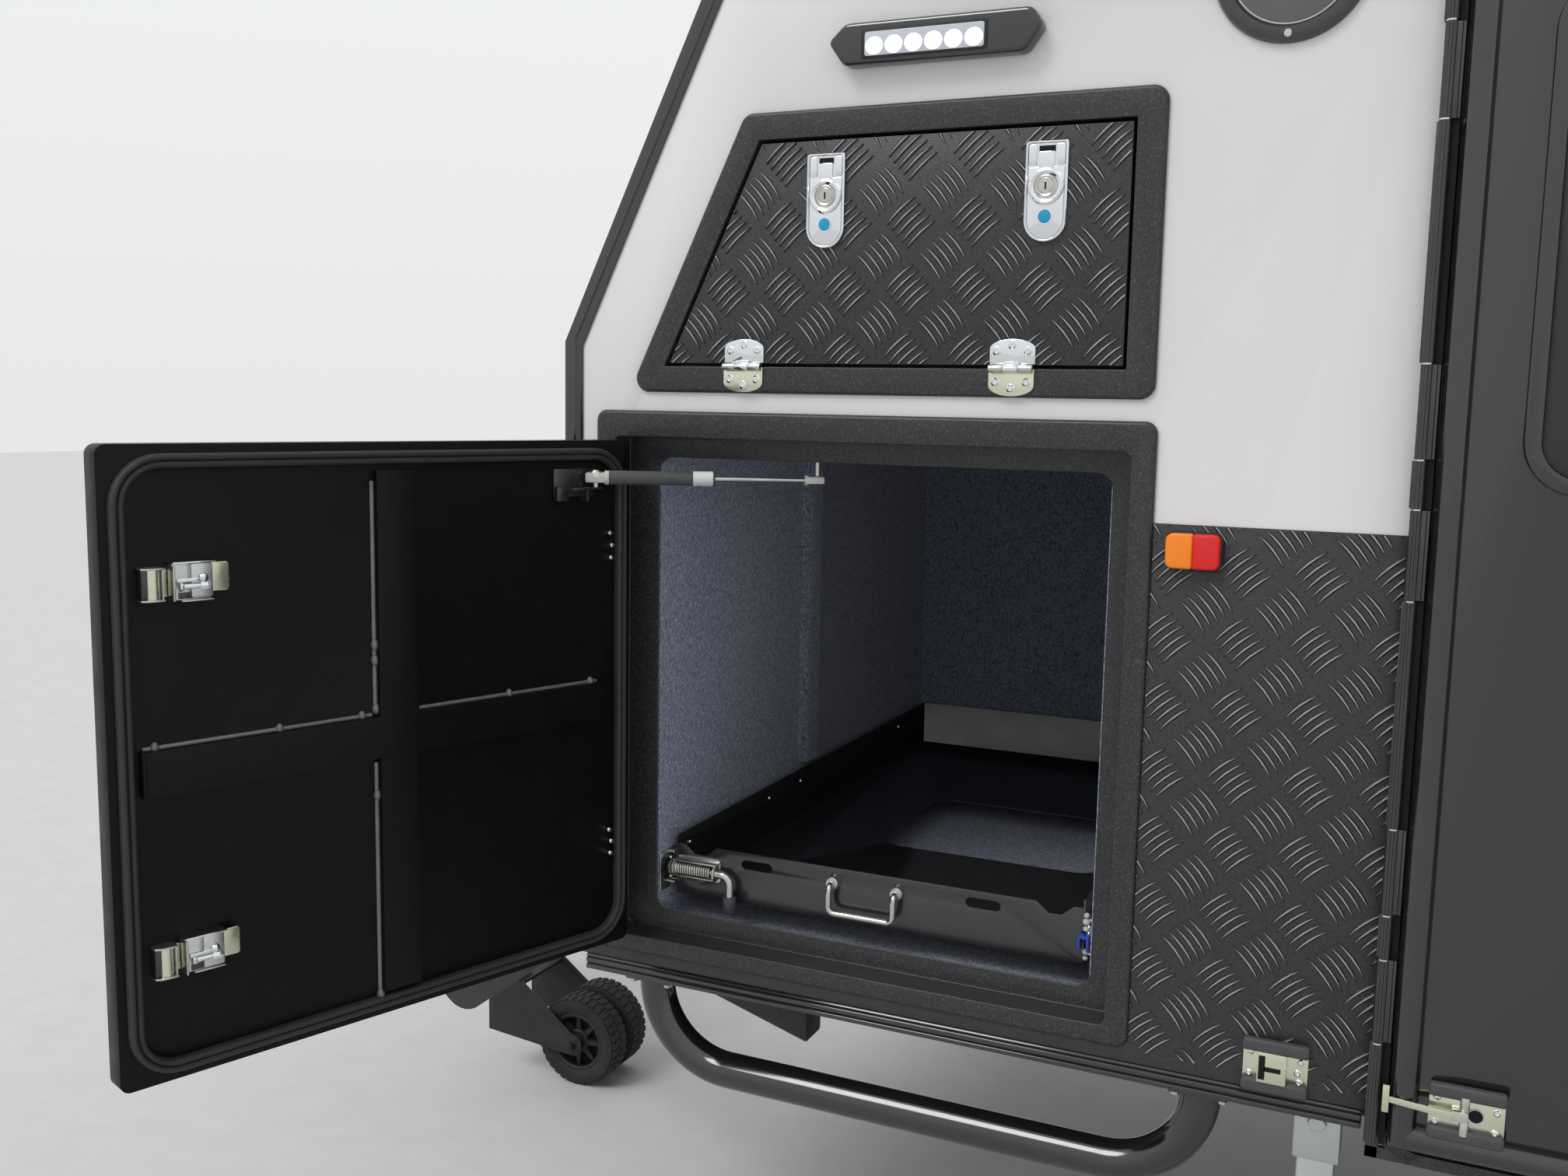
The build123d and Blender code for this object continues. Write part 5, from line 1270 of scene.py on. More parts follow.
@dataclass(frozen=True)
class TreadPlates:
    """Raised five-bar tread, cut to the flat outlines that it covers. Lengths are millimetres."""

    length: float = 48.0
    width: float = 5.6
    height: float = 1.8
    sunk: float = 0.3
    bow: float = 2.6
    gap: float = 9.5
    bars: int = 5
    leans: tuple[float, float] = (42.0, -50.0)
    pitch: tuple[float, float] = (80.0, 78.0)

    # Bar faces above this share of its height take the pale finish of the painted crest highlight.
    crest: float = 0.97
    smooth: float = 52.0
    guard: tuple[tuple[tuple[float, float], tuple[float, float]], ...] = (((-250.0, 905.0), (-0.5, 1060.0)),
                                                                          ((-262.0, 728.0), (-250.0, 905.0)))
    guard_half: float = 964.0

    SHARED: ClassVar[tuple[Outline, ...]] = (
        oblong(1902, 2998, 1014, 1376), [(1902, 770), (2036, 1013), (1902, 1013)],
        [(2998, 770), (2998, 1013), (2864, 1013)], oblong(2999, 3875, 741, 1376))
    NEAR: ClassVar[tuple[Outline, ...]] = SHARED + (oblong(779, 1041, 756, 1376), oblong(1743, 1901, 741, 1376))
    OFF: ClassVar[tuple[Outline, ...]] = SHARED + (oblong(779, 1901, 756, 1376),)
    HATCH: ClassVar[tuple[Outline, ...]] = (oblong(84, 742, 789, 1448),)
    LOCKER: ClassVar[tuple[Outline, ...]] = ([(158, 1552), (735, 1552), (735, 1816), (285, 1816)],)

    def bar(self) -> bpy.types.Mesh:
        """Makes one bar, pointed at its ends, rounded across and slightly bowed.

        Returns:
            Its mesh, along Y.
        """
        lens = [(0.0, -1.0), (0.78, -0.5), (1.0, 0.0), (0.78, 0.5), (0.0, 1.0), (-0.78, 0.5), (-1.0, 0.0),
                (-0.78, -0.5)]
        part, rings = bmesh.new(), []
        for wide, long, height in ((1.0, 1.0, -self.sunk), (0.62, 0.96, 0.7 * self.height), (0.24, 0.9, self.height)):
            rings.append([part.verts.new((0.5 * self.width * wide * x - self.bow * (1 - (long * y) ** 2),
                                          0.5 * self.length * long * y, height)) for x, y in lens])
        for low, high in zip(rings, rings[1:]):
            for index in range(len(lens)):
                after = (index + 1) % len(lens)
                part.faces.new((low[index], low[after], high[after], high[index]))
        part.faces.new(rings[-1])
        part.faces.new(reversed(rings[0]))
        return meshed(part, "tread_bar")

    def cell(self) -> bpy.types.Mesh:
        """Makes one repeat of the pattern: two groups of bars that lean either way.

        Returns:
            Its mesh.
        """
        bar, whole = self.bar(), bmesh.new()
        for corner, lean in enumerate(self.leans):
            shift = Matrix.Translation((corner * self.pitch[0] / 2, corner * self.pitch[1] / 2, 0.0))
            turn = Matrix.Rotation(math.radians(lean - 90.0), 4, "Z")
            for index in range(self.bars):
                copy = bar.copy()
                aside = Matrix.Translation(((index - (self.bars - 1) / 2) * self.gap, 0.0, 0.0))
                copy.transform(shift @ turn @ aside)
                whole.from_mesh(copy)
        return meshed(whole, "tread_cell")

    def field(self, outline: Outline) -> bmesh.types.BMesh:
        """Fills a convex outline with the pattern and cuts the bars at its edges.

        Args:
            outline: its corners, anticlockwise.

        Returns:
            The bars, standing up from Z 0.
        """
        (du, dv), us, vs = self.pitch, [point[0] for point in outline], [point[1] for point in outline]
        first = (math.floor(min(us) / du) - 1, math.floor(min(vs) / dv) - 1)
        last = (math.ceil(max(us) / du) + 1, math.ceil(max(vs) / dv) + 1)
        cell, row, part = self.cell(), bmesh.new(), bmesh.new()
        cell.transform(Matrix.Translation((first[0] * du, first[1] * dv, 0.0)))
        for _ in range(first[0], last[0] + 1):
            row.from_mesh(cell)
            cell.transform(Matrix.Translation((du, 0.0, 0.0)))
        row.to_mesh(cell)
        row.free()
        for _ in range(first[1], last[1] + 1):
            part.from_mesh(cell)
            cell.transform(Matrix.Translation((0.0, dv, 0.0)))
        for index, start in enumerate(outline):
            end = outline[(index + 1) % len(outline)]
            bmesh.ops.bisect_plane(part, geom=part.verts[:] + part.edges[:] + part.faces[:], dist=0.0001,
                                   plane_co=(*start, 0.0), plane_no=(end[1] - start[1], start[0] - end[0], 0.0),
                                   clear_outer=True, clear_inner=False)
            bmesh.ops.holes_fill(part, edges=[edge for edge in part.edges if edge.is_boundary], sides=0)
        return part

    def slope(self, low: tuple[float, float], high: tuple[float, float]) -> tuple[Matrix, float]:
        """Stands the drawing on a sheet that runs across the trailer and leans back.

        Args:
            low: X and Z of its lower edge.
            high: X and Z of its upper edge.

        Returns:
            The matrix in millimetres, and the sheet's length up the slope.
        """
        up = Vector((high[0] - low[0], 0.0, high[1] - low[1]))
        along = Vector((0.0, -1.0, 0.0))
        out = along.cross(up.normalized())
        turn = Matrix((along, up.normalized(), out)).transposed().to_4x4()
        return Matrix.Translation((low[0], 0.0, low[1])) @ turn, up.length

    def lay(self, draft: Draft, outline: Outline, place: Matrix) -> None:
        """Lays the pattern on one flat outline, with its crests in a pale finish that paints their highlight."""
        draft.add(self.field(outline), TREAD, place, PAINTED_TREAD_HIGHLIGHT, self.crest * self.height)

    def dress(self) -> None:
        """Lays the tread on the walls, the hatches, the locker's lid and the stone guard."""
        pieces = (("wall_tread_near", "trailer", Facing.NEAR, -CLADDING, self.NEAR),
                  ("wall_tread_off", "trailer", Facing.OFF, CLADDING, self.OFF),
                  ("hatch_tread", "storage_hatch", Facing.NEAR, HATCH_OUTER, self.HATCH),
                  ("offside_hatch_tread", "offside_hatch", Facing.OFF, -HATCH_OUTER, self.HATCH),
                  ("locker_tread", "locker_lid", Facing.NEAR, HATCH_OUTER, self.LOCKER))
        for label, body, facing, y, outlines in pieces:
            draft = Draft(label, swung(HATCH_PIN, -HATCH_OPEN) if body == "storage_hatch" else None)
            for outline in outlines:
                self.lay(draft, outline, facing.at(Vector((0.0, y, 0.0))))
            draft.done(body, SLOT_OF["tread_plates"], self.smooth)
        guard = Draft("guard_tread")
        for low, high in self.guard:
            place, run = self.slope(low, high)
            self.lay(guard, oblong(-self.guard_half, self.guard_half, 1.0, run - 1.0), place)
        guard.done("trailer", SLOT_OF["tread_plates"], self.smooth)


@dataclass(frozen=True)
class HatchInside:
    """What the open hatch shows on its inner face: seal, sealant, rivets, strut bracket and latches."""

    seal: tuple[float, float, float, float] = (97.0, 729.0, 802.0, 1435.0)
    seal_corner: float = 44.5
    seal_section: Outline = ((-7.5, 0.0), (-7.5, 5.0), (-6.2, 8.4), (-3.6, 9.6), (-1.2, 8.6), (0.0, 6.0), (1.2, 8.6),
                             (3.6, 9.6), (6.2, 8.4), (7.5, 5.0), (7.5, 0.0))
    brace_edge: float = 450.5
    cross_edge: float = 1143.5
    bead: float = 2.6
    rivet_rows: tuple[float, float] = (1318.0, 926.0)
    rivet_stagger: Outline = ((16.0, 115.0), (0.0, 111.5), (-16.0, 113.0))
    rivet_head: Outline = ((0, 6.5), (2.2, 6.2), (3.4, 4.6), (3.9, 2.4), (3.3, 0.4), (3.3, 0.0))
    strut_bracket: tuple[tuple[float, ...], ...] = (
        (139, 202, 1382, 1417, 0, 2.4, 0.6), (158, 162, 1376, 1395, 0, 17, 0.6),
        (184, 202, 1377, 1395, 2, 10, 1.5), (139, 186, 1391, 1394, 2, 20, 0.5))
    latch_rows: tuple[float, float] = (1314.0, 922.0)
    latch_end: float = 713.0

    def loop(self, out: float) -> Outline:
        """Draws the seal's line, moved out."""
        x0, x1, z0, z1 = self.seal
        return rounded_loop(x0 - out, x1 + out, z0 - out, z1 + out, self.seal_corner + out, 8)

    def deep(self, x0: float, x1: float, z0: float, z1: float, low: float, high: float,
             bevel: float = 0.6) -> bmesh.types.BMesh:
        """Makes a box on the inner face, between two heights above it."""
        return box(x0, x1, HATCH_INNER + low, HATCH_INNER + high, z0, z1, bevel)

    def beads(self, draft: Draft) -> None:
        """Runs sealant along the braces' edges, with a blob here and there.

        Args:
            draft: takes its parts.
        """
        y = HATCH_INNER + 1.5
        runs = (((self.brace_edge, 1409), (self.brace_edge, 1146)), ((self.brace_edge, 1088), (self.brace_edge, 802)),
                ((712, self.cross_edge), (456, self.cross_edge)), ((395, self.cross_edge), (136, self.cross_edge)))
        for start, end in runs:
            draft.add(tube([(start[0], y, start[1]), (end[0], y, end[1])], self.bead, 1.0, 10), BEAD)
        blobs = ((self.brace_edge, 1224), (self.brace_edge, 1206), (self.brace_edge, 1050), (self.brace_edge, 812),
                 (700, self.cross_edge), (566, self.cross_edge), (468, self.cross_edge), (270, self.cross_edge),
                 (146, self.cross_edge), (self.brace_edge, 1150))
        for x, z in blobs:
            draft.add(ball((x, y + 1.0, z), 4.6, (1.0, 1.0, 1.5)), BEAD)
        draft.add(self.deep(712, 715.5, 1094, 1142, 0, 12.5, 0.3), LINING)

    def latch(self, draft: Draft, z: float) -> None:
        """Builds one plated slam latch: striker end, channel, stepped housing, plunger and tab.

        Args:
            draft: takes its parts.
            z: its middle.
        """
        def at(s0: float, s1: float, w0: float, w1: float, low: float, high: float, finish: Finish,
               bevel: float = 0.8) -> None:
            """Adds a block, measured from the latch's end and its middle."""
            draft.add(self.deep(self.latch_end - s1, self.latch_end - s0, z + w0, z + w1, low, high, bevel), finish)

        at(2, 22, -16, 13, 0, 13, SATIN, 0.4)
        for w0, w1 in ((13, 15), (-19, -17)):
            outline = [(self.latch_end - s, HATCH_INNER + d) for s, d in
                       ((24, 0), (4, 0), (0.8, 3), (0, 8), (1.5, 13.5), (6, 17), (12, 18), (24, 18))]
            draft.add(plate(outline, z + w0, z + w1, Facing.TOP, 0.4), ZINC)
        draft.add(rod((self.latch_end - 14.5, HATCH_INNER + 9.5, z - 16.8), (self.latch_end - 14.5, HATCH_INNER + 9.5,
                      z + 12.8), 7.2, 24), YELLOW_ZINC)
        at(21.5, 23.5, -18, 14, 0, 17, ZINC)
        at(24, 31, -16, 12, 0, 4, YELLOW_ZINC, 0.3)
        at(31.5, 34, -20, 16, 0, 18.5, ZINC)
        at(33, 74, -20, 19, 0, 11.5, ZINC, 1.6)
        at(50, 73, -17, 18, 10, 18, ZINC, 2.2)
        at(31, 75.5, 18.2, 20, 0, 20, CHROME, 0.5)
        at(42, 75, -21.5, -19.8, 0, 14, ZINC, 0.5)
        at(39, 54, -18.5, -12, 11, 12, SATIN, 0.2)
        at(34, 66, -0.5, 3.6, 11, 22.5, CHROME, 0.8)
        y = HATCH_INNER + 18.5
        draft.add(rod((self.latch_end - 40, y, z - 5), (self.latch_end - 70, y, z - 5), 3.1, 16, 0.5), CHROME)
        draft.add(rod((self.latch_end - 37, y, z - 5), (self.latch_end - 41, y, z - 5), 5.2, 6, 0.5), CHROME)
        draft.add(rod((self.latch_end - 58, y, z - 5), (self.latch_end - 69, y, z - 5), 5.0, 8, 0.7), CHROME)
        draft.add(ball((self.latch_end - 61, y + 2, z + 3.5), 5.0), CHROME)
        tab = rounded_loop(self.latch_end - 93, self.latch_end - 70, z - 13, z + 17, 3.5, 4)
        draft.add(plate(tab, 7.5, 10.0, Facing.OFF, 0.6, (0, HATCH_INNER, 0)), YELLOW_ZINC)

    def outside(self, draft: Draft, z: float) -> None:
        """Builds one flush latch of the outer face: a dished plate with its paddle and lock.

        Args:
            draft: takes its parts.
            z: its middle.
        """
        x0, x1, y = self.latch_end - 100, self.latch_end + 2, HATCH_OUTER

        def face(out: float) -> Outline:
            """Draws the plate's outline, moved out."""
            return rounded_loop(x0 - out, x1 + out, z - 36 - out, z + 36 + out, 8 + out, 5)

        rim = ((0, 1.0), (0, 5.0), (-1.5, 6.5), (-5, 6.5), (-8, 3.0), (-9, 1.2))
        draft.add(plate(face(0), 0.0, 1.6, Facing.NEAR, 0.6, (0, y, 0)), GLOSS)
        draft.add(hoop(face, rim, Facing.NEAR, (0, y, 0)), GLOSS)
        paddle = rounded_loop(x0 + 14, x1 - 32, z - 24, z + 24, 5, 4)
        draft.add(plate(paddle, 1.0, 5.5, Facing.NEAR, 1.4, (0, y, 0)), SATIN)
        draft.add(rod((x1 - 20, y, z), (x1 - 20, y - 6.5, z), 9.0, 28, 0.8), CHROME)
        draft.add(box(x1 - 21, x1 - 19, y - 6.8, y - 6.0, z - 4, z + 4), SATIN)

    def dress(self) -> None:
        """Dresses the hatch's inner face and the flush latches outside."""
        place = swung(HATCH_PIN, -HATCH_OPEN)
        seal = Draft("hatch_bulb_seal", place)
        seal.add(hoop(self.loop, self.seal_section, Facing.OFF, (0, HATCH_INNER, 0)), RUBBER)
        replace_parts(seal.done("storage_hatch", SLOT_OF["hatch_seal"], 60.0), "hatch_seal")
        beads = Draft("hatch_sealant", place)
        self.beads(beads)
        beads.done("storage_hatch", SLOT_OF["hatch_door"])
        works = Draft("hatch_latches", place)
        for z in self.latch_rows:
            self.latch(works, z)
            self.outside(works, z)
        for z in self.rivet_rows:
            for step, x in self.rivet_stagger:
                works.add(lathe(self.rivet_head, (x, HATCH_INNER, z + step), (0, 1, 0), 14), CHROME)
        for block in self.strut_bracket:
            works.add(self.deep(*block), SATIN)
        works.add(rod((146, HATCH_INNER + 14, 1392), (146, HATCH_INNER + 14, 1399.2), 3.6, 16), ZINC)
        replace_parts(works.done("storage_hatch", SLOT_OF["hatch_hardware"]), "hatch_hardware")


STRUT_GREY = Coat("strut_grey", (0.055, 0.056, 0.06), 0.3, worn_and_glint=(0.15, 0.15, 0.15), wear=0.2, grain=300.0,
                  depth=0.00004, gloss=0.2, dust=0.02, spread=0.06)


@dataclass(frozen=True)
class GasStrut:
    """The hatch's gas strut, drawn along X from its ball on the hatch."""

    tube_radius: float = 9.0
    tube_end: float = 150.0
    rod_radius: float = 2.6
    length: float = 279.6

    def dress(self) -> None:
        """Dresses the cylinder and the rod."""
        way = Vector(JOINT_OF["strut_slide"]["axis"])
        place = Matrix.Translation(JOINT_OF["strut_slide"]["pos_m"]) @ way.to_track_quat("X", "Z").to_matrix().to_4x4()
        r, end = self.tube_radius, self.tube_end
        body = Draft("strut_tube_shown", place)
        body.add(box(-13, 13, -8, 8, -6.5, 6.5, 2.6), FITTING)
        body.add(lathe(((0, 9.6), (4.6, 9.2), (5.4, 7.6), (8.6, 7.4), (9.0, 6.6), (9.0, 0)), (0, 0, 0), (0, 0, 1),
                       24), ZINC)
        body.add(lathe(((5.0, 11), (8.4, 11), (8.8, 12), (8.8, 16), (8.2, 17), (5.0, 17)), (0, 0, 0), (1, 0, 0), 28),
                 FITTING)
        body.add(lathe(((3.0, 16), (r - 1, 16), (r, 17), (r, end - 2), (r - 0.6, end - 0.6), (r - 2, end), (3.4, end),
                        (3.2, end - 4)), (0, 0, 0), (1, 0, 0), 32), STRUT_GREY)
        body.add(lathe(((r - 0.1, end - 28), (r + 0.35, end - 28), (r + 0.35, end - 3), (r - 0.1, end - 3)),
                       (0, 0, 0), (1, 0, 0), 32), TAPE)
        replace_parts(body.done("strut_cylinder", SLOT_OF["strut_cylinder"]), "strut_cylinder")
        rod_piece = Draft("strut_rod_shown", place)
        rod_piece.add(rod((end - 52, 0, 0), (self.length - 10, 0, 0), self.rod_radius, 20), STEEL)
        rod_piece.add(box(self.length - 14, self.length + 9, -7.5, 7.5, -4.5, 4.5, 2.0), FITTING)
        rod_piece.add(lathe(((2.4, -16), (5.6, -16), (6.4, -15), (6.4, -12), (2.4, -12)), (self.length, 0, 0),
                            (1, 0, 0), 24), FITTING)
        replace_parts(rod_piece.done("strut_rod", SLOT_OF["strut_rod"]), "strut_rod")


CYAN = Coat("cyan_enamel", (0.0, 0.28, 0.52), 0.2, worn_and_glint=(0.0, 0.4, 0.6), wear=0.1, grain=200.0, depth=0.00002,
            gloss=0.6, dust=0.0, spread=0.05)
ENAMEL = Coat("white_enamel", (0.75, 0.76, 0.77), 0.25, worn_and_glint=(0.7, 0.7, 0.7), wear=0.1, grain=200.0, depth=0.00002,
              gloss=0.4, dust=0.0, spread=0.05)
# Near-black for slots, holes, grooves, recesses and gaps: painted shade where they fall dark.
PAINTED_SHADE = Coat("painted_shade_black", (0.002, 0.002, 0.002), 0.7, worn_and_glint=(0.004, 0.004, 0.004), wear=0.0, grain=200.0,
            depth=0.00002, gloss=0.0, dust=0.0, spread=0.05)


def rivet(x: float, y: float, z: float, way: Point = (0.0, -1.0, 0.0), size: float = 1.0) -> bmesh.types.BMesh:
    """Makes a blind rivet's head with its hollow stem."""
    profile = ((5.2, 0.0), (5.2, 0.7), (4.0, 1.3), (3.3, 2.4), (2.0, 2.7), (1.7, 1.4), (0.0, 1.2))
    return lathe([(radius * size, height * size) for radius, height in profile], (x, y, z), way, 18)


@dataclass(frozen=True)
class LockerFittings:
    """The locker lid's two compression latches and two hinges."""

    latches: tuple[float, float] = (371.0, 641.0)
    latch_top: float = 1801.0
    latch_half: float = 24.5
    latch_height: float = 112.0
    hinges: tuple[float, float] = (264.0, 609.0)
    pin: tuple[float, float] = (-1011.8, 1547.0)
    pin_radius: float = 4.6
    frame_face: float = -1007.0
    leaf_half: float = 27.0
    knuckle: float = 9.0

    def latch_loop(self, out: float) -> Outline:
        """Draws a latch's outline from the top's middle: square at its top and round at its foot.

        Args:
            out: how far the outline is moved out.

        Returns:
            Its points.
        """
        half, drop = self.latch_half + out, self.latch_height - self.latch_half
        foot = [(half * math.cos(math.pi * (1 + step / 16)), -drop + half * math.sin(math.pi * (1 + step / 16)))
                for step in range(17)]
        return foot + [(half, out - 3.0), (half - 1.0, out - 0.8), (half - 3.0, out), (3.0 - half, out),
                       (1.0 - half, out - 0.8), (-half, out - 3.0)]

    def latch(self, draft: Draft, x: float) -> None:
        """Builds one latch: plate, rim, tongue, lock ring, core and enamel spot.

        Args:
            draft: takes its parts.
            x: its middle.
        """
        at = (x, HATCH_OUTER, self.latch_top)

        def turned(profile: Outline, drop: float, finish: Finish, steps: int = 40) -> None:
            """Adds a turned part, so far below the latch's top."""
            draft.add(lathe(profile, (x, HATCH_OUTER, self.latch_top - drop), (0, -1, 0), steps), finish)

        draft.add(plate(self.latch_loop(0), 0.0, 2.2, Facing.NEAR, 0.0, at), CHROME)
        draft.add(hoop(self.latch_loop, ((0.0, 1.8), (0.0, 4.4), (-0.8, 5.4), (-2.2, 5.4), (-2.9, 4.4), (-3.2, 1.8)),
                       Facing.NEAR, at), CHROME)
        lower = [(u, v) for u, v in self.latch_loop(-3.8) if v < -28] + [(20.7, -29.0), (-20.7, -29.0)]
        draft.add(plate(lower, 2.0, 4.0, Facing.NEAR, 1.2, at), CHROME)
        for side in (-1, 1):
            edges = sorted((side * 11.5, side * 21.0))
            draft.add(plate(oblong(edges[0], edges[1], -27.0, -4.0), 2.0, 4.2, Facing.NEAR, 0.9, at), CHROME)
        # Dark sheet in the slot under the latch's top: painted shade.
        draft.add(box(x - 9.5, x + 9.5, HATCH_OUTER - 2.6, HATCH_OUTER - 2.0, self.latch_top - 12.5,
                      self.latch_top - 5.5, 0.2), PAINTED_SHADE)
        draft.add(plate(oblong(-9.0, 9.0, -36.0, -12.0), 2.0, 5.0, Facing.NEAR, 0.8, at), CHROME)
        turned(((21.0, 2.0), (21.0, 4.6), (20.0, 6.2), (17.5, 7.2), (14.6, 6.2), (13.0, 4.4), (12.6, 3.0)), 50.5,
               CHROME)
        turned(((12.4, 2.5), (12.4, 5.4), (11.2, 6.0), (9.2, 5.2), (8.4, 5.9), (0.0, 6.1)), 50.0, STEEL, 32)
        # Dark key slot in the lock's core: painted shade.
        draft.add(box(x - 0.9, x + 0.9, HATCH_OUTER - 6.5, HATCH_OUTER - 5.5, self.latch_top - 54, self.latch_top - 46),
                  PAINTED_SHADE)
        turned(((9.2, 3.6), (9.2, 5.2), (8.6, 5.8), (7.6, 5.6), (7.4, 4.0)), 84.0, ENAMEL, 28)
        turned(((7.7, 4.0), (7.5, 5.3), (4.0, 6.0), (0.0, 6.2)), 84.0, CYAN, 28)

    def leaf(self, height: float, sign: float) -> Outline:
        """Draws a hinge leaf from its knuckle's edge: straight sides and an arched end.

        Args:
            height: of the leaf at its middle.
            sign: 1 upwards, -1 downwards.

        Returns:
            Its points.
        """
        half, rise = self.leaf_half, height * 0.38
        arch = [(half * math.cos(math.pi * step / 14), height - rise + rise * math.sin(math.pi * step / 14))
                for step in range(15)]
        return [(u, sign * v) for u, v in [(-half, 0.0), (half, 0.0), *arch]]

    def hinge(self, lid: Draft, wall: Draft, x: float) -> None:
        """Builds one hinge: the lid's chrome leaf and the frame's passivated one, each with three rivets.

        Args:
            lid: takes the lid's parts.
            wall: takes the frame's parts.
            x: its middle.
        """
        y, z = self.pin
        face, border = HATCH_OUTER, self.frame_face
        lid.add(plate(self.leaf(29.0, 1.0), 0.0, 2.2, Facing.NEAR, 0.5, (x, face, z + 5.0)), CHROME)
        lid.add(box(x - self.knuckle, x + self.knuckle, y, face, z + 0.8, z + 8.0, 0.5), CHROME)
        lid.add(rod((x - self.knuckle, y, z), (x + self.knuckle, y, z), self.pin_radius, 24, 0.4), CHROME)
        wall.add(plate(self.leaf(31.0, -1.0), 0.0, 1.8, Facing.NEAR, 0.5, (x, border, z - 0.5)), YELLOW_ZINC)
        for u, v in ((-18.5, 15.0), (0.0, 22.0), (18.5, 15.0)):
            lid.add(rivet(x + u, face - 2.0, z + 5.0 + v), CHROME)
            wall.add(rivet(x + u, border - 1.6, z - 0.5 - v), CHROME)
        for side in (-1, 1):
            start, end = x + side * (self.knuckle + 0.3), x + side * 26.0
            wall.add(rod((start, y, z), (end, y, z), self.pin_radius, 24, 0.4), ZINC)

    def dress(self) -> None:
        """Builds the latches and hinges."""
        lid, wall = Draft("locker_chrome"), Draft("locker_hinge_leaves")
        for x in self.latches:
            self.latch(lid, x)
        for x in self.hinges:
            self.hinge(lid, wall, x)
        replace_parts(lid.done("locker_lid", SLOT_OF["locker_hardware"]), "locker_hardware")
        wall.done("trailer", SLOT_OF["wall_fixings"])


@dataclass(frozen=True)
class Lamps:
    """Side marker lamps, tail lamps and the awning light's lens."""

    markers: tuple[float, float] = (794.0, 3560.0)
    marker_span: tuple[float, float, float] = (61.0, 1328.0, 1369.0)
    marker_height: float = 18.0
    marker_corner: float = 8.0
    tail_face: float = 3900.0
    tail_middle: float = 880.0
    tail_half: float = 45.0
    tail_span: tuple[float, float] = (900.0, 1130.0)
    strip: tuple[float, float, float, float] = (424.5, 568.5, 1904.5, 1931.5)
    strip_face: float = -1026.4
    lobes: int = 6

    def marker(self, draft: Draft, x: float, facing: Facing, y: float) -> None:
        """Builds one marker lamp: black base, amber half ahead and red half behind.

        Args:
            draft: takes its parts.
            x: its front edge.
            facing: the way that it looks.
            y: the face that it sits on.
        """
        width, low, high = self.marker_span
        at = (0.0, y, 0.0)
        draft.add(plate(rounded_loop(x - 1, x + width + 1, low - 1, high + 1, 9), 0, 5, facing, 1.0, at), PLASTIC)
        middle, radius = x + width / 2, self.marker_corner
        ahead = [(middle, low + 1), (middle, high - 1)]
        for turn in range(13):
            angle = math.radians(90.0 + 15.0 * turn)
            centre = (high if turn < 6.5 else low) + (-1 - radius if turn < 6.5 else 1 + radius)
            ahead.append((x + 1 + radius + radius * math.cos(angle), centre + radius * math.sin(angle)))
        behind = [(2 * middle - u, v) for u, v in reversed(ahead)]
        for lens, finish in ((ahead, AMBER), (behind, RED)):
            draft.add(plate(lens, 4.0, self.marker_height, facing, 3.0, at, 4), finish)

    def tail(self, draft: Draft, y: float) -> None:
        """Builds one tail lamp: amber over red over clear, on a black base.

        Args:
            draft: takes its parts.
            y: its middle.
        """
        low, high = self.tail_span
        at = (self.tail_face, 0.0, 0.0)
        base = rounded_loop(y - self.tail_half, y + self.tail_half, low, high, 18)
        draft.add(plate(base, 0, 9, Facing.REAR, 2.0, at), PLASTIC)
        step = (high - low - 16) / 3
        for index, finish in enumerate((CLEAR, RED, AMBER)):
            start = low + 8 + index * step
            lens = rounded_loop(y - self.tail_half + 7, y + self.tail_half - 7, start + 1, start + step - 1, 8, 4)
            draft.add(plate(lens, 8, 23, Facing.REAR, 4.0, at, 3), finish)

    def dress(self) -> None:
        """Builds every lamp of the trailer's body."""
        draft = Draft("lamp_lenses")
        for x in self.markers:
            self.marker(draft, x, Facing.NEAR, -CLADDING)
            self.marker(draft, x, Facing.OFF, CLADDING)
        for side in (-1, 1):
            self.tail(draft, side * self.tail_middle)
        x0, x1, z0, z1 = self.strip
        draft.add(plate(rounded_loop(x0, x1, z0, z1, 3), -2.0, 0.6, Facing.NEAR, 0.5, (0, self.strip_face, 0)),
                  LED_COVER)
        pitch = (x1 - x0) / self.lobes
        for index in range(self.lobes):
            draft.add(ball((x0 + (index + 0.5) * pitch, self.strip_face - 0.4, z0 + 11.0), pitch * 0.46,
                           (1.0, 0.14, 0.92)), LED)
        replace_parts(draft.done("trailer", SLOT_OF["lamps"]), "lamps")


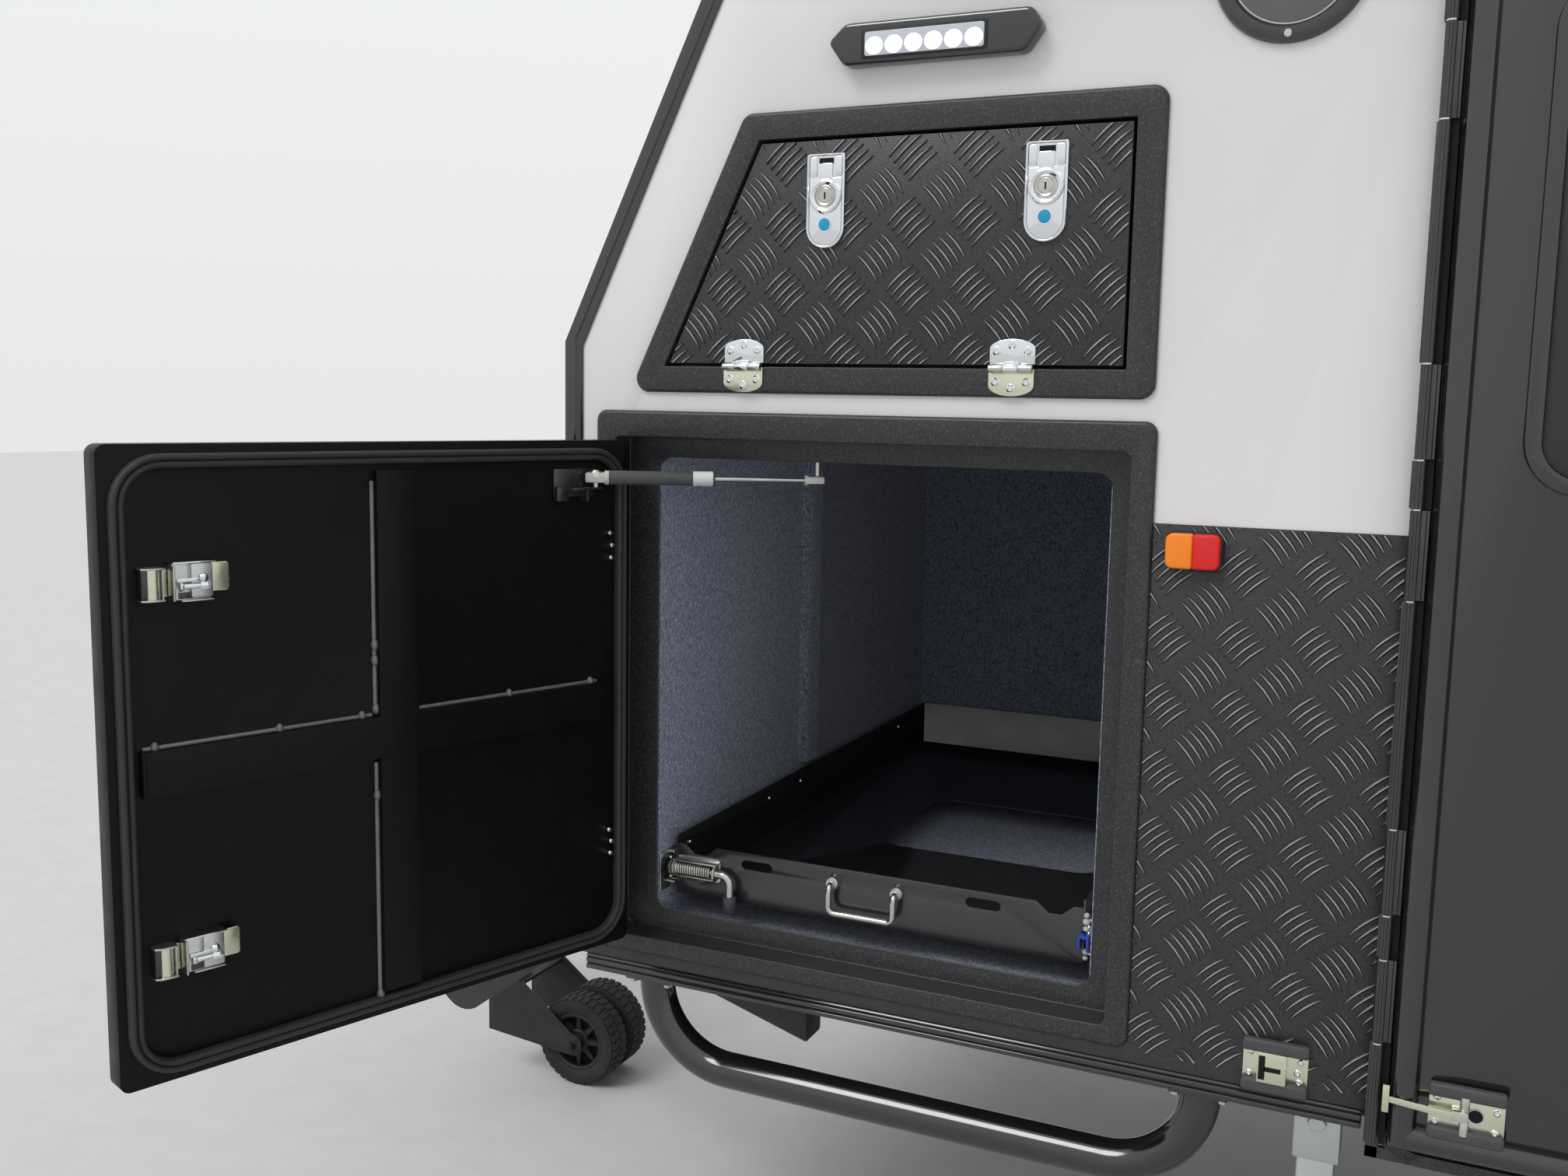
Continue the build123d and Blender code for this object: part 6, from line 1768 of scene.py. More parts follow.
@dataclass(frozen=True)
class Speaker:
    """The outdoor speaker: gloss ring, thin bright ring, dome with its holes painted as dark discs of shade, and fixing
    screw.
    """

    middle: tuple[float, float] = (892.0, 1966.0)
    radius: float = 80.0
    grille: float = 60.0
    hole: float = 1.6
    hole_pitch: float = 5.3

    def dress(self) -> None:
        """Builds the speaker on the nearside wall."""
        x, z = self.middle
        at, draft = (x, -WALL_FACE, z), Draft("speaker_shown")
        draft.add(lathe(((self.radius, 0), (self.radius, 4), (77.5, 8), (71, 10.5), (65, 9.6), (62, 6.5), (61, 3)), at,
                        (0, -1, 0), 64), GLOSS)
        draft.add(lathe(((62.2, 6.2), (61.6, 7.4), (60.6, 7.4), (60, 6.0), (61, 5)), at, (0, -1, 0), 64), FITTING)
        dome = ((61, 3), (60, 5.2), (50, 7.2), (36, 8.6), (20, 9.6), (8, 10), (0, 10.1))
        draft.add(lathe(dome, at, (0, -1, 0), 64), GRILLE)
        # The grille's holes are dark discs laid on the dome: painted shade.
        rings = int((self.grille - 8) / self.hole_pitch)
        for ring in range(1, rings + 1):
            reach = ring * self.hole_pitch
            height = 10.25 - 5.0 * (reach / self.grille) ** 2
            count = int(math.tau * reach / self.hole_pitch)
            for index in range(count):
                turn = math.tau * index / count
                hole = bmesh.new()
                where = Matrix.Translation((reach * math.cos(turn), reach * math.sin(turn), height))
                bmesh.ops.create_circle(hole, cap_ends=True, segments=7, radius=self.hole, matrix=where)
                draft.add(hole, PAINTED_SHADE, Facing.NEAR.at(Vector(at)))
        draft.add(lathe(((0, 11.2), (3.6, 11.0), (4.4, 9.5)), (x, -WALL_FACE, z - 71), (0, -1, 0), 16), FITTING)
        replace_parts(draft.done("trailer", SLOT_OF["wall_fittings"]), "wall_fittings")


CAP_GREY = Coat("moulded_grey", (0.055, 0.056, 0.06), 0.45, worn_and_glint=(0.12, 0.12, 0.12), wear=0.3, grain=420.0,
                depth=0.0001, gloss=0.0, dust=0.1, spread=0.1)


@dataclass(frozen=True)
class HoldBack:
    """The entry door's hold-back and handle, and the pins of both storage hatches on the walls."""

    wall: tuple[float, float, float, float] = (909.0, 979.0, 742.0, 802.0)
    door: tuple[float, float, float, float] = (1103.0, 1177.0, 735.0, 796.0)
    wall_face: float = -1002.0
    door_face: float = -1014.0
    handle: tuple[float, float] = (1638.0, 1706.0)
    pin_heights: tuple[float, float] = (940.0, 1270.0)
    pin_half: float = 25.0
    pin_radius: float = 5.0

    def caps(self, draft: Draft, x0: float, x1: float, z0: float, z1: float, face: float) -> None:
        """Builds the moulded caps above and below a catch's plate.

        Args:
            draft: takes its parts.
            x0: the plate's front edge.
            x1: its rear edge.
            z0: its foot.
            z1: its top.
            face: Y of the face that it sits on.
        """
        for low, high, sign in ((z1 - 14, z1 + 1, 1), (z0 - 1, z0 + 14, -1)):
            end = high if sign > 0 else low
            start = low if sign > 0 else high
            outline = [(x0 - 1, start), (x1 + 1, start), (x1 + 1, end), (x0 - 1, end)]
            if sign < 0:
                outline.reverse()
            draft.add(plate(outline, 0, 11, Facing.NEAR, 3.5, (0, face, 0), 3), CAP_GREY)

    def hatch_pins(self, wall: Draft) -> None:
        """Builds the walls' share of the hatches' hinges: pins and leaves.

        Args:
            wall: takes their parts.
        """
        x, reach = HATCH_PIN[0], -HATCH_PIN[1]
        for side in (-1, 1):
            for z in self.pin_heights:
                foot, head = z - self.pin_half, z + self.pin_half
                wall.add(rod((x, side * reach, foot), (x, side * reach, head), self.pin_radius, 20, 0.6), SATIN)
                y0, y1 = sorted((side * (reach - 3.0), side * (reach - 5.5)))
                wall.add(box(x - 20.0, x, y0, y1, foot, head, 0.6), SATIN)

    def dress(self) -> None:
        """Builds the wall's half and the door's half."""
        wall, door = Draft("wall_catch"), Draft("door_catch")
        self.on_wall(wall)
        self.hatch_pins(wall)
        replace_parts(wall.done("trailer", SLOT_OF["wall_fixings"]), "wall_fixings")
        self.on_door(door)
        self.furniture(door, self.door_face)
        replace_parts(door.done("entry_door", SLOT_OF["entry_hardware"]), "entry_hardware")

    def on_wall(self, wall: Draft) -> None:
        """Builds the slotted catch on the wall.

        Args:
            wall: takes its parts.
        """
        x0, x1, z0, z1 = self.wall
        face, middle = self.wall_face, (z0 + z1) / 2
        wall.add(plate(oblong(x0, x1, z0 + 8, z1 - 8), 0, 3, Facing.NEAR, 0.6, (0, face, 0)), YELLOW_ZINC)
        self.caps(wall, x0, x1, z0, z1, face)
        wall.add(box(x0 + 16, x0 + 48, face - 13, face - 2, z0 + 12, z1 - 12, 1.5), YELLOW_ZINC)
        # Dark sheets in the catch's slots: painted shade.
        wall.add(box(x0 + 18, x0 + 25, face - 13.3, face - 12.8, middle - 14, middle + 14, 0.1), PAINTED_SHADE)
        wall.add(box(x0 + 24, x0 + 42, face - 13.3, face - 12.8, middle - 4, middle + 1.5, 0.1), PAINTED_SHADE)
        for x, z in ((x0 + 8, z1 - 17), (x0 + 7, z0 + 17), (x1 - 8, z1 - 20), (x1 - 11, middle - 3), (x1 - 9, z0 + 16)):
            wall.add(rivet(x, face - 2.8, z, (0, -1, 0), 0.8), CHROME)

    def on_door(self, door: Draft) -> None:
        """Builds the catch's T bar on the door.

        Args:
            door: takes its parts.
        """
        x0, x1, z0, z1 = self.door
        face, middle = self.door_face, (z0 + z1) / 2
        door.add(plate(oblong(x0, x1, z0 + 8, z1 - 8), 0, 4, Facing.NEAR, 0.6, (0, face, 0)), YELLOW_ZINC)
        self.caps(door, x0, x1, z0, z1, face)
        door.add(rod((x0 + 35, face - 8, z0 + 9), (x0 + 35, face - 8, middle - 5), 5.0, 20, 0.5), ZINC)
        door.add(rod((x0 + 35, face - 8, middle + 7), (x0 + 35, face - 8, z1 - 9), 5.0, 20, 0.5), ZINC)
        door.add(box(x0 + 22, x0 + 39, face - 16, face - 4, middle - 5, middle + 7, 1.5), ZINC)
        bar = [(x0 - 39, middle + 2.5), (x0 + 2, middle - 1), (x0 + 24, middle - 2), (x0 + 24, middle + 6),
               (x0 + 2, middle + 6.5), (x0 - 39, middle + 9.5)]
        door.add(plate(bar, 14, 16.5, Facing.NEAR, 0.5, (0, face, 0)), YELLOW_ZINC)
        door.add(box(x0 - 46, x0 - 39, face - 17.5, face - 13.5, middle - 9, middle + 22, 0.8), YELLOW_ZINC)
        # Dark disc in the ring's hole: painted shade.
        door.add(lathe(((0, 4.4), (7.4, 4.4), (7.4, 4.0)), (x0 + 46, face, middle + 0.5), (0, -1, 0), 28), PAINTED_SHADE)
        door.add(lathe(((7.2, 3.8), (7.2, 5.0), (8.4, 5.0), (8.8, 3.8)), (x0 + 46, face, middle + 0.5), (0, -1, 0), 28),
                 ZINC)
        for x, z in ((x0 + 8, z1 - 16), (x0 + 7, z0 + 17), (x1 - 8, z1 - 22), (x1 - 9, z0 + 16)):
            door.add(rivet(x, face - 3.8, z, (0, -1, 0), 0.8), CHROME)

    def furniture(self, draft: Draft, face: float) -> None:
        """Builds the door's handle with its lock.

        Args:
            draft: takes its parts.
            face: Y of the door's outer face.
        """
        x0, x1 = self.handle
        draft.add(plate(rounded_loop(x0, x1, 1240, 1390, 12), 0, 8, Facing.NEAR, 2.0, (0, face, 0)), PLASTIC)
        draft.add(plate(rounded_loop(x0 + 12, x1 - 12, 1290, 1376, 8), 6, 26, Facing.NEAR, 4.0, (0, face, 0), 3),
                  SATIN)
        draft.add(rod((x0 + 34, face - 6, 1262), (x0 + 34, face - 13, 1262), 11, 28, 1.0), CHROME)
        # Dark key slot: painted shade.
        draft.add(box(x0 + 33, x0 + 35, face - 13.4, face - 12.6, 1257, 1267), PAINTED_SHADE)


@dataclass(frozen=True)
class EntryHinge:
    """The long fluted hinge at the entry door's front edge, its knuckles on the frame and the door in turn."""

    pin: tuple[float, float] = (1048.0, -1022.0)
    radius: float = 5.2
    joints: tuple[float, ...] = (712.0, 829.0, 923.0, 972.0, 1067.0, 1310.5, 1406.0, 1457.0, 1555.0, 1796.0, 1891.0,
                                 1942.0, 2040.0, 2064.0)
    flutes: int = 14
    flute_depth: float = 0.7
    gap: float = 1.8

    def barrel(self, start: float, end: float) -> bmesh.types.BMesh:
        """Makes one fluted knuckle.

        Args:
            start: its foot.
            end: its top.

        Returns:
            The part.
        """
        (x, y), count = self.pin, 2 * self.flutes
        reaches = [self.radius - (self.flute_depth if index % 2 else 0.0) for index in range(count)]
        points = [(x + reach * math.cos(math.tau * index / count), y + reach * math.sin(math.tau * index / count))
                  for index, reach in enumerate(reaches)]
        return plate(points, start, end, Facing.TOP)

    def dress(self) -> None:
        """Builds the knuckles, the washers between them, the leaves, a dark line of painted shade in a leaf's groove
        and a dark strip of painted shade in the gap beside them.
        """
        x, y = self.pin
        fixed, moving = Draft("entry_hinge_fixed"), Draft("entry_hinge_moving")
        for index, (low, high) in enumerate(zip(self.joints, self.joints[1:])):
            start, end = low + self.gap / 2, high - self.gap / 2
            draft = moving if index % 2 else fixed
            draft.add(self.barrel(start, end), SATIN)
            if index % 2:
                draft.add(box(x + 2, x + 13.5, y + 2, y + 5, start, end, 0.5), SATIN)
                # Dark line in the leaf's groove: painted shade.
                draft.add(box(x + 10, x + 11, y + 1.6, y + 2.2, start, end), PAINTED_SHADE)
            else:
                draft.add(box(x - 7.4, x - 3.5, y + 3, y + 14.5, start, end, 0.6), SATIN)
            fixed.add(rod((x, y, end), (x, y, end + self.gap - 0.2), self.radius + 0.2, 20), YELLOW_ZINC)
        # Dark strip in the gap beside the hinge: painted shade.
        moving.add(box(x + 7.6, x + 14, y + 6.6, y + 7.8, self.joints[0], self.joints[-1]), PAINTED_SHADE)
        fixed.done("trailer", SLOT_OF["wall_fixings"])
        moving.done("entry_door", SLOT_OF["entry_hardware"])


@dataclass(frozen=True)
class TrayFittings:
    """What shows on the sliding tray: handle, spring bolt, slide ends, screws and the blue release clip."""

    front: float = -936.0
    left: float = 135.5
    right: float = 707.5
    middle: float = 417.5
    grip_top: float = 875.0
    bolt_height: float = 864.0
    coils: int = 15
    coil_pitch: float = 3.55
    grip_half: float = 45.0
    liner_walls: tuple[float, float] = (122.0, 721.0)

    def spring_bolt(self, draft: Draft) -> None:
        """Builds the spring bolt: bracket, coil, bent rod with its grey tip, washer and flange.

        Args:
            draft: takes its parts.
        """
        x, y, z = self.left + 4, self.front - 13, self.bolt_height
        draft.add(plate(rounded_loop(x, x + 66, z - 16, z + 16, 4, 3), 0, 2.5, Facing.NEAR, 0.5, (0, self.front, 0)),
                  ZINC)
        for start in (x, x + 62):
            lug = [(self.front, z - 11), (self.front, z + 12), (y - 2, z + 12), (y - 9, z + 6), (y - 9, z - 5),
                   (y - 3, z - 11)]
            draft.add(plate(lug[::-1], 0, 2.8, Facing.REAR, 0.5, (start, 0, 0)), ZINC)
        draft.add(box(x, x + 66, y - 4, self.front, z + 11, z + 13, 0.5), ZINC)
        draft.add(tube([(self.left - 5, y, z), (x + 86, y, z), (x + 86, y, z - 34)], 5.6, 13, 18, 8), STEEL)
        draft.add(lathe(((5.6, 0), (9.2, 1), (9.6, 4), (8.4, 20), (7.2, 21.5), (0, 21.5)), (x + 86, y, z - 28),
                        (0, 0, -1), 22), STRUT_GREY)
        ring = [(8.2 + 1.5 * math.cos(math.tau * step / 8), 1.5 * math.sin(math.tau * step / 8)) for step in range(9)]
        for index in range(self.coils):
            draft.add(lathe(ring, (x + 7 + index * self.coil_pitch, y, z), (1, 0, 0.12), 18), STEEL)
        for start, radius in ((x - 3, 11.5), (x + 4, 10.5)):
            draft.add(lathe(((5, 0), (radius, 0), (radius, 2), (5, 2)), (start, y, z), (1, 0, 0), 24), ZINC)

    def slide_end(self, fixed: Draft, moving: Draft, x: float, sign: float) -> None:
        """Builds the open end of a slide: a fixed C channel, and the inner race with its balls on the tray.

        Args:
            fixed: takes the channel.
            moving: takes the race.
            x: the liner's wall.
            sign: 1 where the tray lies towards +X.
        """
        def strip(draft: Draft, start: float, end: float, z0: float, z1: float, y0: float, y1: float,
                  finish: Finish) -> None:
            """Adds a block, measured across from the liner's wall."""
            edges = sorted((x + sign * start, x + sign * end))
            draft.add(box(edges[0], edges[1], y0, y1, z0, z1, 0.5), finish)

        front = self.front - 4
        strip(fixed, 0.2, 2.6, 838, 884, front, front + 30, ZINC)
        strip(fixed, 0.2, 12.4, 881.0, 884, front, front + 30, ZINC)
        strip(fixed, 0.2, 12.4, 838, 841.0, front, front + 30, ZINC)
        strip(moving, 4.6, 6.6, 847, 875, front - 1, front + 20, STEEL)
        for z in (874, 866, 858, 848):
            moving.add(ball((x + sign * 7.0, front - 0.5, z), 3.2), CHROME)
        strip(moving, 4.6, 9.5, 852, 856, front - 2, front + 4, SATIN)
        strip(moving, 4.6, 9.5, 864, 869, front - 2, front + 4, SATIN)

    def dress(self) -> None:
        """Builds the tray's fittings and the fixed halves of the slides."""
        tray = Draft("tray_fittings")
        y, z = self.front, self.grip_top
        left, right = self.middle - self.grip_half, self.middle + self.grip_half
        run = [(left, y, z), (left, y - 17, z), (left, y - 17, z - 36),
               (right, y - 17, z - 36), (right, y - 17, z), (right, y, z)]
        tray.add(tube(run, 4.2, 8.5, 18, 7), STEEL)
        for x in (left, right):
            tray.add(lathe(((4, 0), (8.6, 0), (8.8, 1), (8.8, 6.5), (7.6, 8), (4, 8)), (x, y, z), (0, -1, 0), 24), ZINC)
        self.spring_bolt(tray)
        for depth in (-900.0, -640.0, -520.0, -60.0):
            tray.add(lathe(((4.2, 0), (3.8, 1.6), (1.8, 2.4), (0, 2.4)), (self.left + 2.6, depth, 886), (1, 0, 0), 14),
                     CHROME)
        tray.add(box(self.right - 5, self.right + 8.5, y - 16, y - 3, 861, 865, 0.8), BLUE)
        for start in (self.right - 5, self.right + 5.5):
            tray.add(box(start, start + 3, y - 16, y - 3, 846, 862, 0.6), BLUE)
        for height, size in ((888, 4.2), (880, 5.4), (871, 4.6), (842, 5.0), (834, 3.8)):
            tray.add(ball((self.right + 3, y - 4, height), size, (0.9, 1.0, 0.8)), FITTING)
        slides = Draft("slide_ends")
        for wall, sign in zip(self.liner_walls, (1.0, -1.0)):
            self.slide_end(slides, tray, wall, sign)
        tray.add(lathe(((0, 0), (15.5, 0), (16, 1), (16, 2.5), (12, 3), (11.5, 1.2), (0, 1.2)), (127.0, -949, 861),
                       (1, 0, 0), 30), SATIN)
        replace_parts(tray.done("storage_tray", SLOT_OF["tray_hardware"]), "tray_hardware")
        slides.done("trailer", SLOT_OF["storage_metalwork"])


@dataclass(frozen=True)
class JockeyWheels:
    """The jockey leg's two rubber wheels: pointed tread, slotted discs, stepped hubs and axle nuts."""

    middle: tuple[float, float] = (-590.0, 98.0)
    radius: float = 98.0
    width: float = 66.0
    gap: float = 16.0
    lugs: int = 34
    holes: int = 8

    def tyre(self, draft: Draft, y: float) -> None:
        """Builds one tyre with its chevron lugs.

        Args:
            draft: takes its parts.
            y: its middle.
        """
        x, z = self.middle
        half, r = self.width / 2, self.radius
        profile = ((64, -half + 6), (72, -half + 1), (84, -half), (92, -half + 3), (95.2, -half + 9), (95.8, 0),
                   (95.2, half - 9), (92, half - 3), (84, half), (72, half - 1), (64, half - 6), (62, 0))
        draft.add(lathe(list(profile) + [profile[0]], (x, y, z), (0, 1, 0), 56), TYRE)
        for index in range(self.lugs):
            for side in (-1, 1):
                turn = math.tau * (index + (0.5 if side > 0 else 0.0)) / self.lugs
                outline = [(-8.0, 1.0), (4.8, 1.0), (8.4, half - 6), (-4.4, half - 6)]
                lug = plate([(a, side * b) for a, b in outline], 93.6, r - 0.6, Facing.TOP, 0.9, segments=1)
                where = Matrix.Translation((x, y, z)) @ Matrix.Rotation(turn, 4, "Y")
                draft.add(lug, TYRE, where)

    def disc(self, draft: Draft, y: float, out: float) -> None:
        """Builds one disc of a wheel: a dark disc of painted shade in its recess, ring, spokes between triangular
        holes, hub and nut.

        Args:
            draft: takes its parts.
            y: the wheel's middle.
            out: the sign of Y that the disc looks to.
        """
        x, z = self.middle
        way = (0.0, out, 0.0)
        # Dark disc in the recess behind the spokes: painted shade.
        draft.add(lathe(((0, 6), (60, 6), (62, 8)), (x, y, z), way, 40), PAINTED_SHADE)
        draft.add(lathe(((64, 4), (64, 27), (60, 28), (56, 26), (55, 14), (55, 4)), (x, y, z), way, 48), PLASTIC)
        for index in range(self.holes):
            turn = math.tau * index / self.holes
            spoke = plate([(16, -7.5), (57, -3.2), (57, 3.2), (16, 7.5)], 6, 19, Facing.TOP, 1.2)
            where = Matrix.Translation((x, y, z)) @ Matrix.Rotation(-out * math.pi / 2, 4, "X") \
                @ Matrix.Rotation(turn, 4, "Z")
            draft.add(spoke, PLASTIC, where)
        hub = ((26, 6), (26, 20), (24, 22), (17, 23), (16, 29), (14, 31), (9, 31), (9, 33))
        draft.add(lathe(hub, (x, y, z), way, 36), PLASTIC)
        draft.add(lathe(((0, 36.5), (7.5, 36.5), (8.6, 35.5), (8.6, 30)), (x, y, z), way, 6), ZINC)

    def dress(self) -> None:
        """Builds the pair."""
        draft = Draft("jockey_pair")
        reach = (self.gap + self.width) / 2
        for side in (-1, 1):
            self.tyre(draft, side * reach)
            self.disc(draft, side * reach, side)
            self.disc(draft, side * reach, -side)
        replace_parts(draft.done("jockey_wheel_pair", SLOT_OF["jockey_wheels"]), "jockey_wheels")


@dataclass(frozen=True)
class RoadTyre:
    """An all-terrain tyre: ribbed side walls and three rows of lugs in a staggered pattern."""

    radius: float = 402.0
    width: float = 265.0
    bead: float = 214.0
    lugs: int = 42
    tread_depth: float = 11.0

    def build(self, label: str, body: str, middle: Point, axis: Point) -> bpy.types.Object:
        """Builds the tyre.

        Args:
            label: the object's name.
            body: the body that it rides on.
            middle: of the wheel, in drawn millimetres.
            axis: the wheel's axis.

        Returns:
            The object.
        """
        half, crown = self.width / 2, self.radius - self.tread_depth
        draft = Draft(label)
        side = [(self.bead, half - 34), (self.bead + 4, half - 22), (self.bead + 20, half - 12), (256, half - 4),
                (262, half - 1.5), (268, half - 3.0), (300, half), (318, half - 0.5), (324, half + 0.8),
                (330, half - 1.5), (352, half - 7), (372, half - 16), (crown - 3, half - 28), (crown, half - 42)]
        profile = [(r, -h) for r, h in side] + [(r, h) for r, h in reversed(side)]
        draft.add(lathe(profile + [(self.bead - 2, 0), profile[0]], middle, axis, 72), TYRE)
        turn = Vector(axis).to_track_quat("Z", "Y").to_matrix().to_4x4()
        place = Matrix.Translation(middle) @ turn
        shapes = (((-15, -26), (9, -30), (14, -4), (11, 24), (-12, 29), (-16, 5)), ((-14, -22), (11, -26), (8, 21),
                  (-9, 25)), ((-13, -24), (12, -18), (14, 22), (-8, 26)))
        rows = ((0.0, 0.0, shapes[0]), (-65.0, 0.5, shapes[1]), (65.0, 0.5, shapes[2]))
        for height, shift, shape in rows:
            for index in range(self.lugs):
                spun = Matrix.Rotation(math.tau * (index + shift) / self.lugs, 4, "Z")
                lug = plate(shape, crown - 4, self.radius - 0.4, Facing.TOP, 1.6, segments=1)
                draft.add(lug, TYRE, place @ spun @ Matrix.Translation((0, 0, height))
                          @ Matrix.Rotation(math.pi / 2, 4, "Y"))
        for side_sign in (-1, 1):
            for index in range(self.lugs):
                spun = Matrix.Rotation(math.tau * index / self.lugs, 4, "Z")
                low, high = (-12, 12) if index % 2 else (-16, 8)
                lug = plate(oblong(low, high, -15, 15), 0, 12, Facing.TOP, 1.6, segments=1)
                tilt = Matrix.Rotation(math.radians(side_sign * 52), 4, "Y")
                draft.add(lug, TYRE, place @ spun @ Matrix.Translation((crown - 16, 0, side_sign * (half - 27)))
                          @ tilt @ Matrix.Rotation(math.pi / 2, 4, "Y") @ Matrix.Scale(side_sign, 4, (0, 0, 1)))
        return draft.done(body, SLOT_OF["tyre_near"])


@dataclass(frozen=True)
class RoadWheels:
    """The two road tyres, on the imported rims."""

    middle: tuple[float, float, float] = (2450.0, 850.0, 402.0)

    def dress(self) -> None:
        """Builds both tyres."""
        x, reach, z = self.middle
        for side, name in ((-1, "near"), (1, "off")):
            tyre = RoadTyre().build(f"tyre_{name}_shown", f"wheel_{name}", (x, side * reach, z), (0, side, 0))
            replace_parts(tyre, f"tyre_{name}")


GALVANISED = Metal("galvanised_steel", (0.58, 0.62, 0.59), 0.34, tint=(0.42, 0.46, 0.43), scale=90.0, depth=0.00004,
                   spread=0.25)
GRILLE = Coat("speaker_grille", (0.10, 0.10, 0.105), 0.35, worn_and_glint=(0.2, 0.2, 0.2), wear=0.2, grain=400.0, depth=0.00005,
              gloss=0.0, dust=0.02, spread=0.08, shine=0.5)
HOUSING = Coat("lamp_housing", (0.006, 0.006, 0.0065), 0.12, worn_and_glint=(0.05, 0.05, 0.05), wear=0.1, grain=90.0,
               depth=0.00003, gloss=0.0, dust=0.01, spread=0.03, shine=1.0)
HEM = Coat("canvas_binding", (0.03, 0.03, 0.032), 0.7, worn_and_glint=(0.06, 0.06, 0.06), wear=0.1, grain=700.0, depth=0.0003,
           gloss=0.0, dust=0.05, spread=0.1)
VINYL = Glazing("clear_vinyl", (0.55, 0.57, 0.58), 0.08, passes=0.6)


@dataclass(frozen=True)
class AwningLight:
    """The awning light's moulded housing on the nearside wall."""

    left: float = 377.0
    right: float = 635.0
    low: float = 1896.0
    high: float = 1944.0
    depth: float = 26.0

    def dress(self) -> None:
        """Builds the housing; the lens and its lobes are the lamps' part."""
        x0, x1, z0, z1 = self.left, self.right, self.low, self.high
        corners = [(x0 + 20, z0), (x1 - 20, z0), (x1, z0 + 28), (x1 - 13, z1), (x0 + 22, z1), (x0, z0 + 28)]
        draft = Draft("awning_light_housing")
        draft.add(plate(softened(corners, 7.0), 0, self.depth, Facing.NEAR, 5.0, (0, -WALL_FACE, 0), 4), HOUSING)
        window = rounded_loop(x0 + 43, x1 - 62, z0 + 5, z1 - 9, 4, 4)
        draft.add(plate(window, self.depth - 2, self.depth + 0.5, Facing.NEAR, 0.5, (0, -WALL_FACE, 0)), PLASTIC)
        draft.done("trailer", SLOT_OF["wall_fittings"])


def softened(corners: Outline, radius: float, steps: int = 4) -> list[tuple[float, float]]:
    """Rounds the corners of an outline.

    Args:
        corners: the outline's corners in order.
        radius: how far from each corner its rounding starts.
        steps: how many lengths each rounding has.

    Returns:
        The rounded outline.
    """
    made: list[tuple[float, float]] = []
    for index, corner in enumerate(corners):
        here = Vector(corner)
        before, after = Vector(corners[index - 1]), Vector(corners[(index + 1) % len(corners)])
        start, end = here + (before - here).normalized() * radius, here + (after - here).normalized() * radius
        for step in range(steps + 1):
            t = step / steps
            point = start * (1 - t) ** 2 + here * 2 * t * (1 - t) + end * t * t
            made.append((point.x, point.y))
    return made


@dataclass(frozen=True)
class Stabilisers:
    """The four stabiliser legs: galvanised tubes with pin holes painted as dark discs of shade, brackets, bolts and
    dished feet.
    """

    stations: tuple[float, float] = (989.0, 3560.0)
    reach: float = 920.0
    half: float = 21.0
    hole_pitch: float = 60.0
    first_hole: float = 90.0
    holes: int = 9

    def leg(self, draft: Draft, x: float, side: float) -> None:
        """Builds one leg.

        Args:
            draft: takes its parts.
            x: its station.
            side: -1 on the nearside, 1 on the offside.
        """
        y, half = side * self.reach, self.half
        draft.add(box(x - half, x + half, y - half, y + half, 8, 700, 4.0), GALVANISED)
        draft.add(box(x - half - 5, x + half + 5, y - half - 4, y + half + 4, 640, 711, 3.0), GALVANISED)
        draft.add(box(x - 60, x + 60, y - 34, y + 34, 711, 719, 1.5), CHASSIS)
        draft.add(box(x - 70, x + 70, y - 50, y + 50, 0.5, 6.5, 2.5), GALVANISED)
        for edge in (-1, 1):
            draft.add(box(x + edge * 67 - 3, x + edge * 67 + 3, y - 48, y + 48, 4, 16, 2.0), GALVANISED)
        out = y + side * (half + 4)
        draft.add(lathe(((0, 9.5), (9.5, 9.5), (10.8, 8.5), (10.8, 2), (14, 1.8), (14, 0)), (x, out, 690),
                        (0, side, 0), 6), GALVANISED)
        # Each pin hole is a dark disc on the tube: painted shade.
        for step in range(self.holes):
            z = self.first_hole + step * self.hole_pitch
            draft.add(lathe(((0, 0.35), (6.5, 0.35), (6.6, 0)), (x, y + side * half, z), (0, side, 0), 18), PAINTED_SHADE)

    def dress(self) -> None:
        """Builds all four."""
        draft = Draft("stabilisers_shown")
        for x in self.stations:
            for side in (-1, 1):
                self.leg(draft, x, side)
        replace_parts(draft.done("trailer", SLOT_OF["stabiliser_legs"]), "stabiliser_legs")


@dataclass(frozen=True)
class ScrubBars:
    """The bent tubes under the front hatches, with their bolted flanges."""

    front: float = 124.0
    rear: float = 860.0
    top: float = 719.0
    low: float = 597.0
    reach: float = 966.0
    radius: float = 24.0
    bend: float = 112.0

    def dress(self) -> None:
        """Builds both bars."""
        draft = Draft("scrub_bars_shown")
        for side in (-1, 1):
            y = side * self.reach
            run = [(self.front, y, self.top - 6), (self.front, y, self.low), (self.rear, y, self.low),
                   (self.rear, y, self.top - 6)]
            draft.add(tube(run, self.radius, self.bend, 28, 14), GLOSS)
            for x in (self.front, self.rear):
                draft.add(box(x - 34, x + 34, y - 30, y + 30, self.top - 7, self.top - 0.5, 1.5), GLOSS)
                for shift in (-27, 27):
                    draft.add(lathe(((0, 6), (6, 6), (6.8, 5), (6.8, 0)), (x + shift, y + side * 18, self.top - 7),
                                    (0, 0, -1), 6), ZINC)
        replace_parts(draft.done("trailer", SLOT_OF["scrub_bars"]), "scrub_bars")


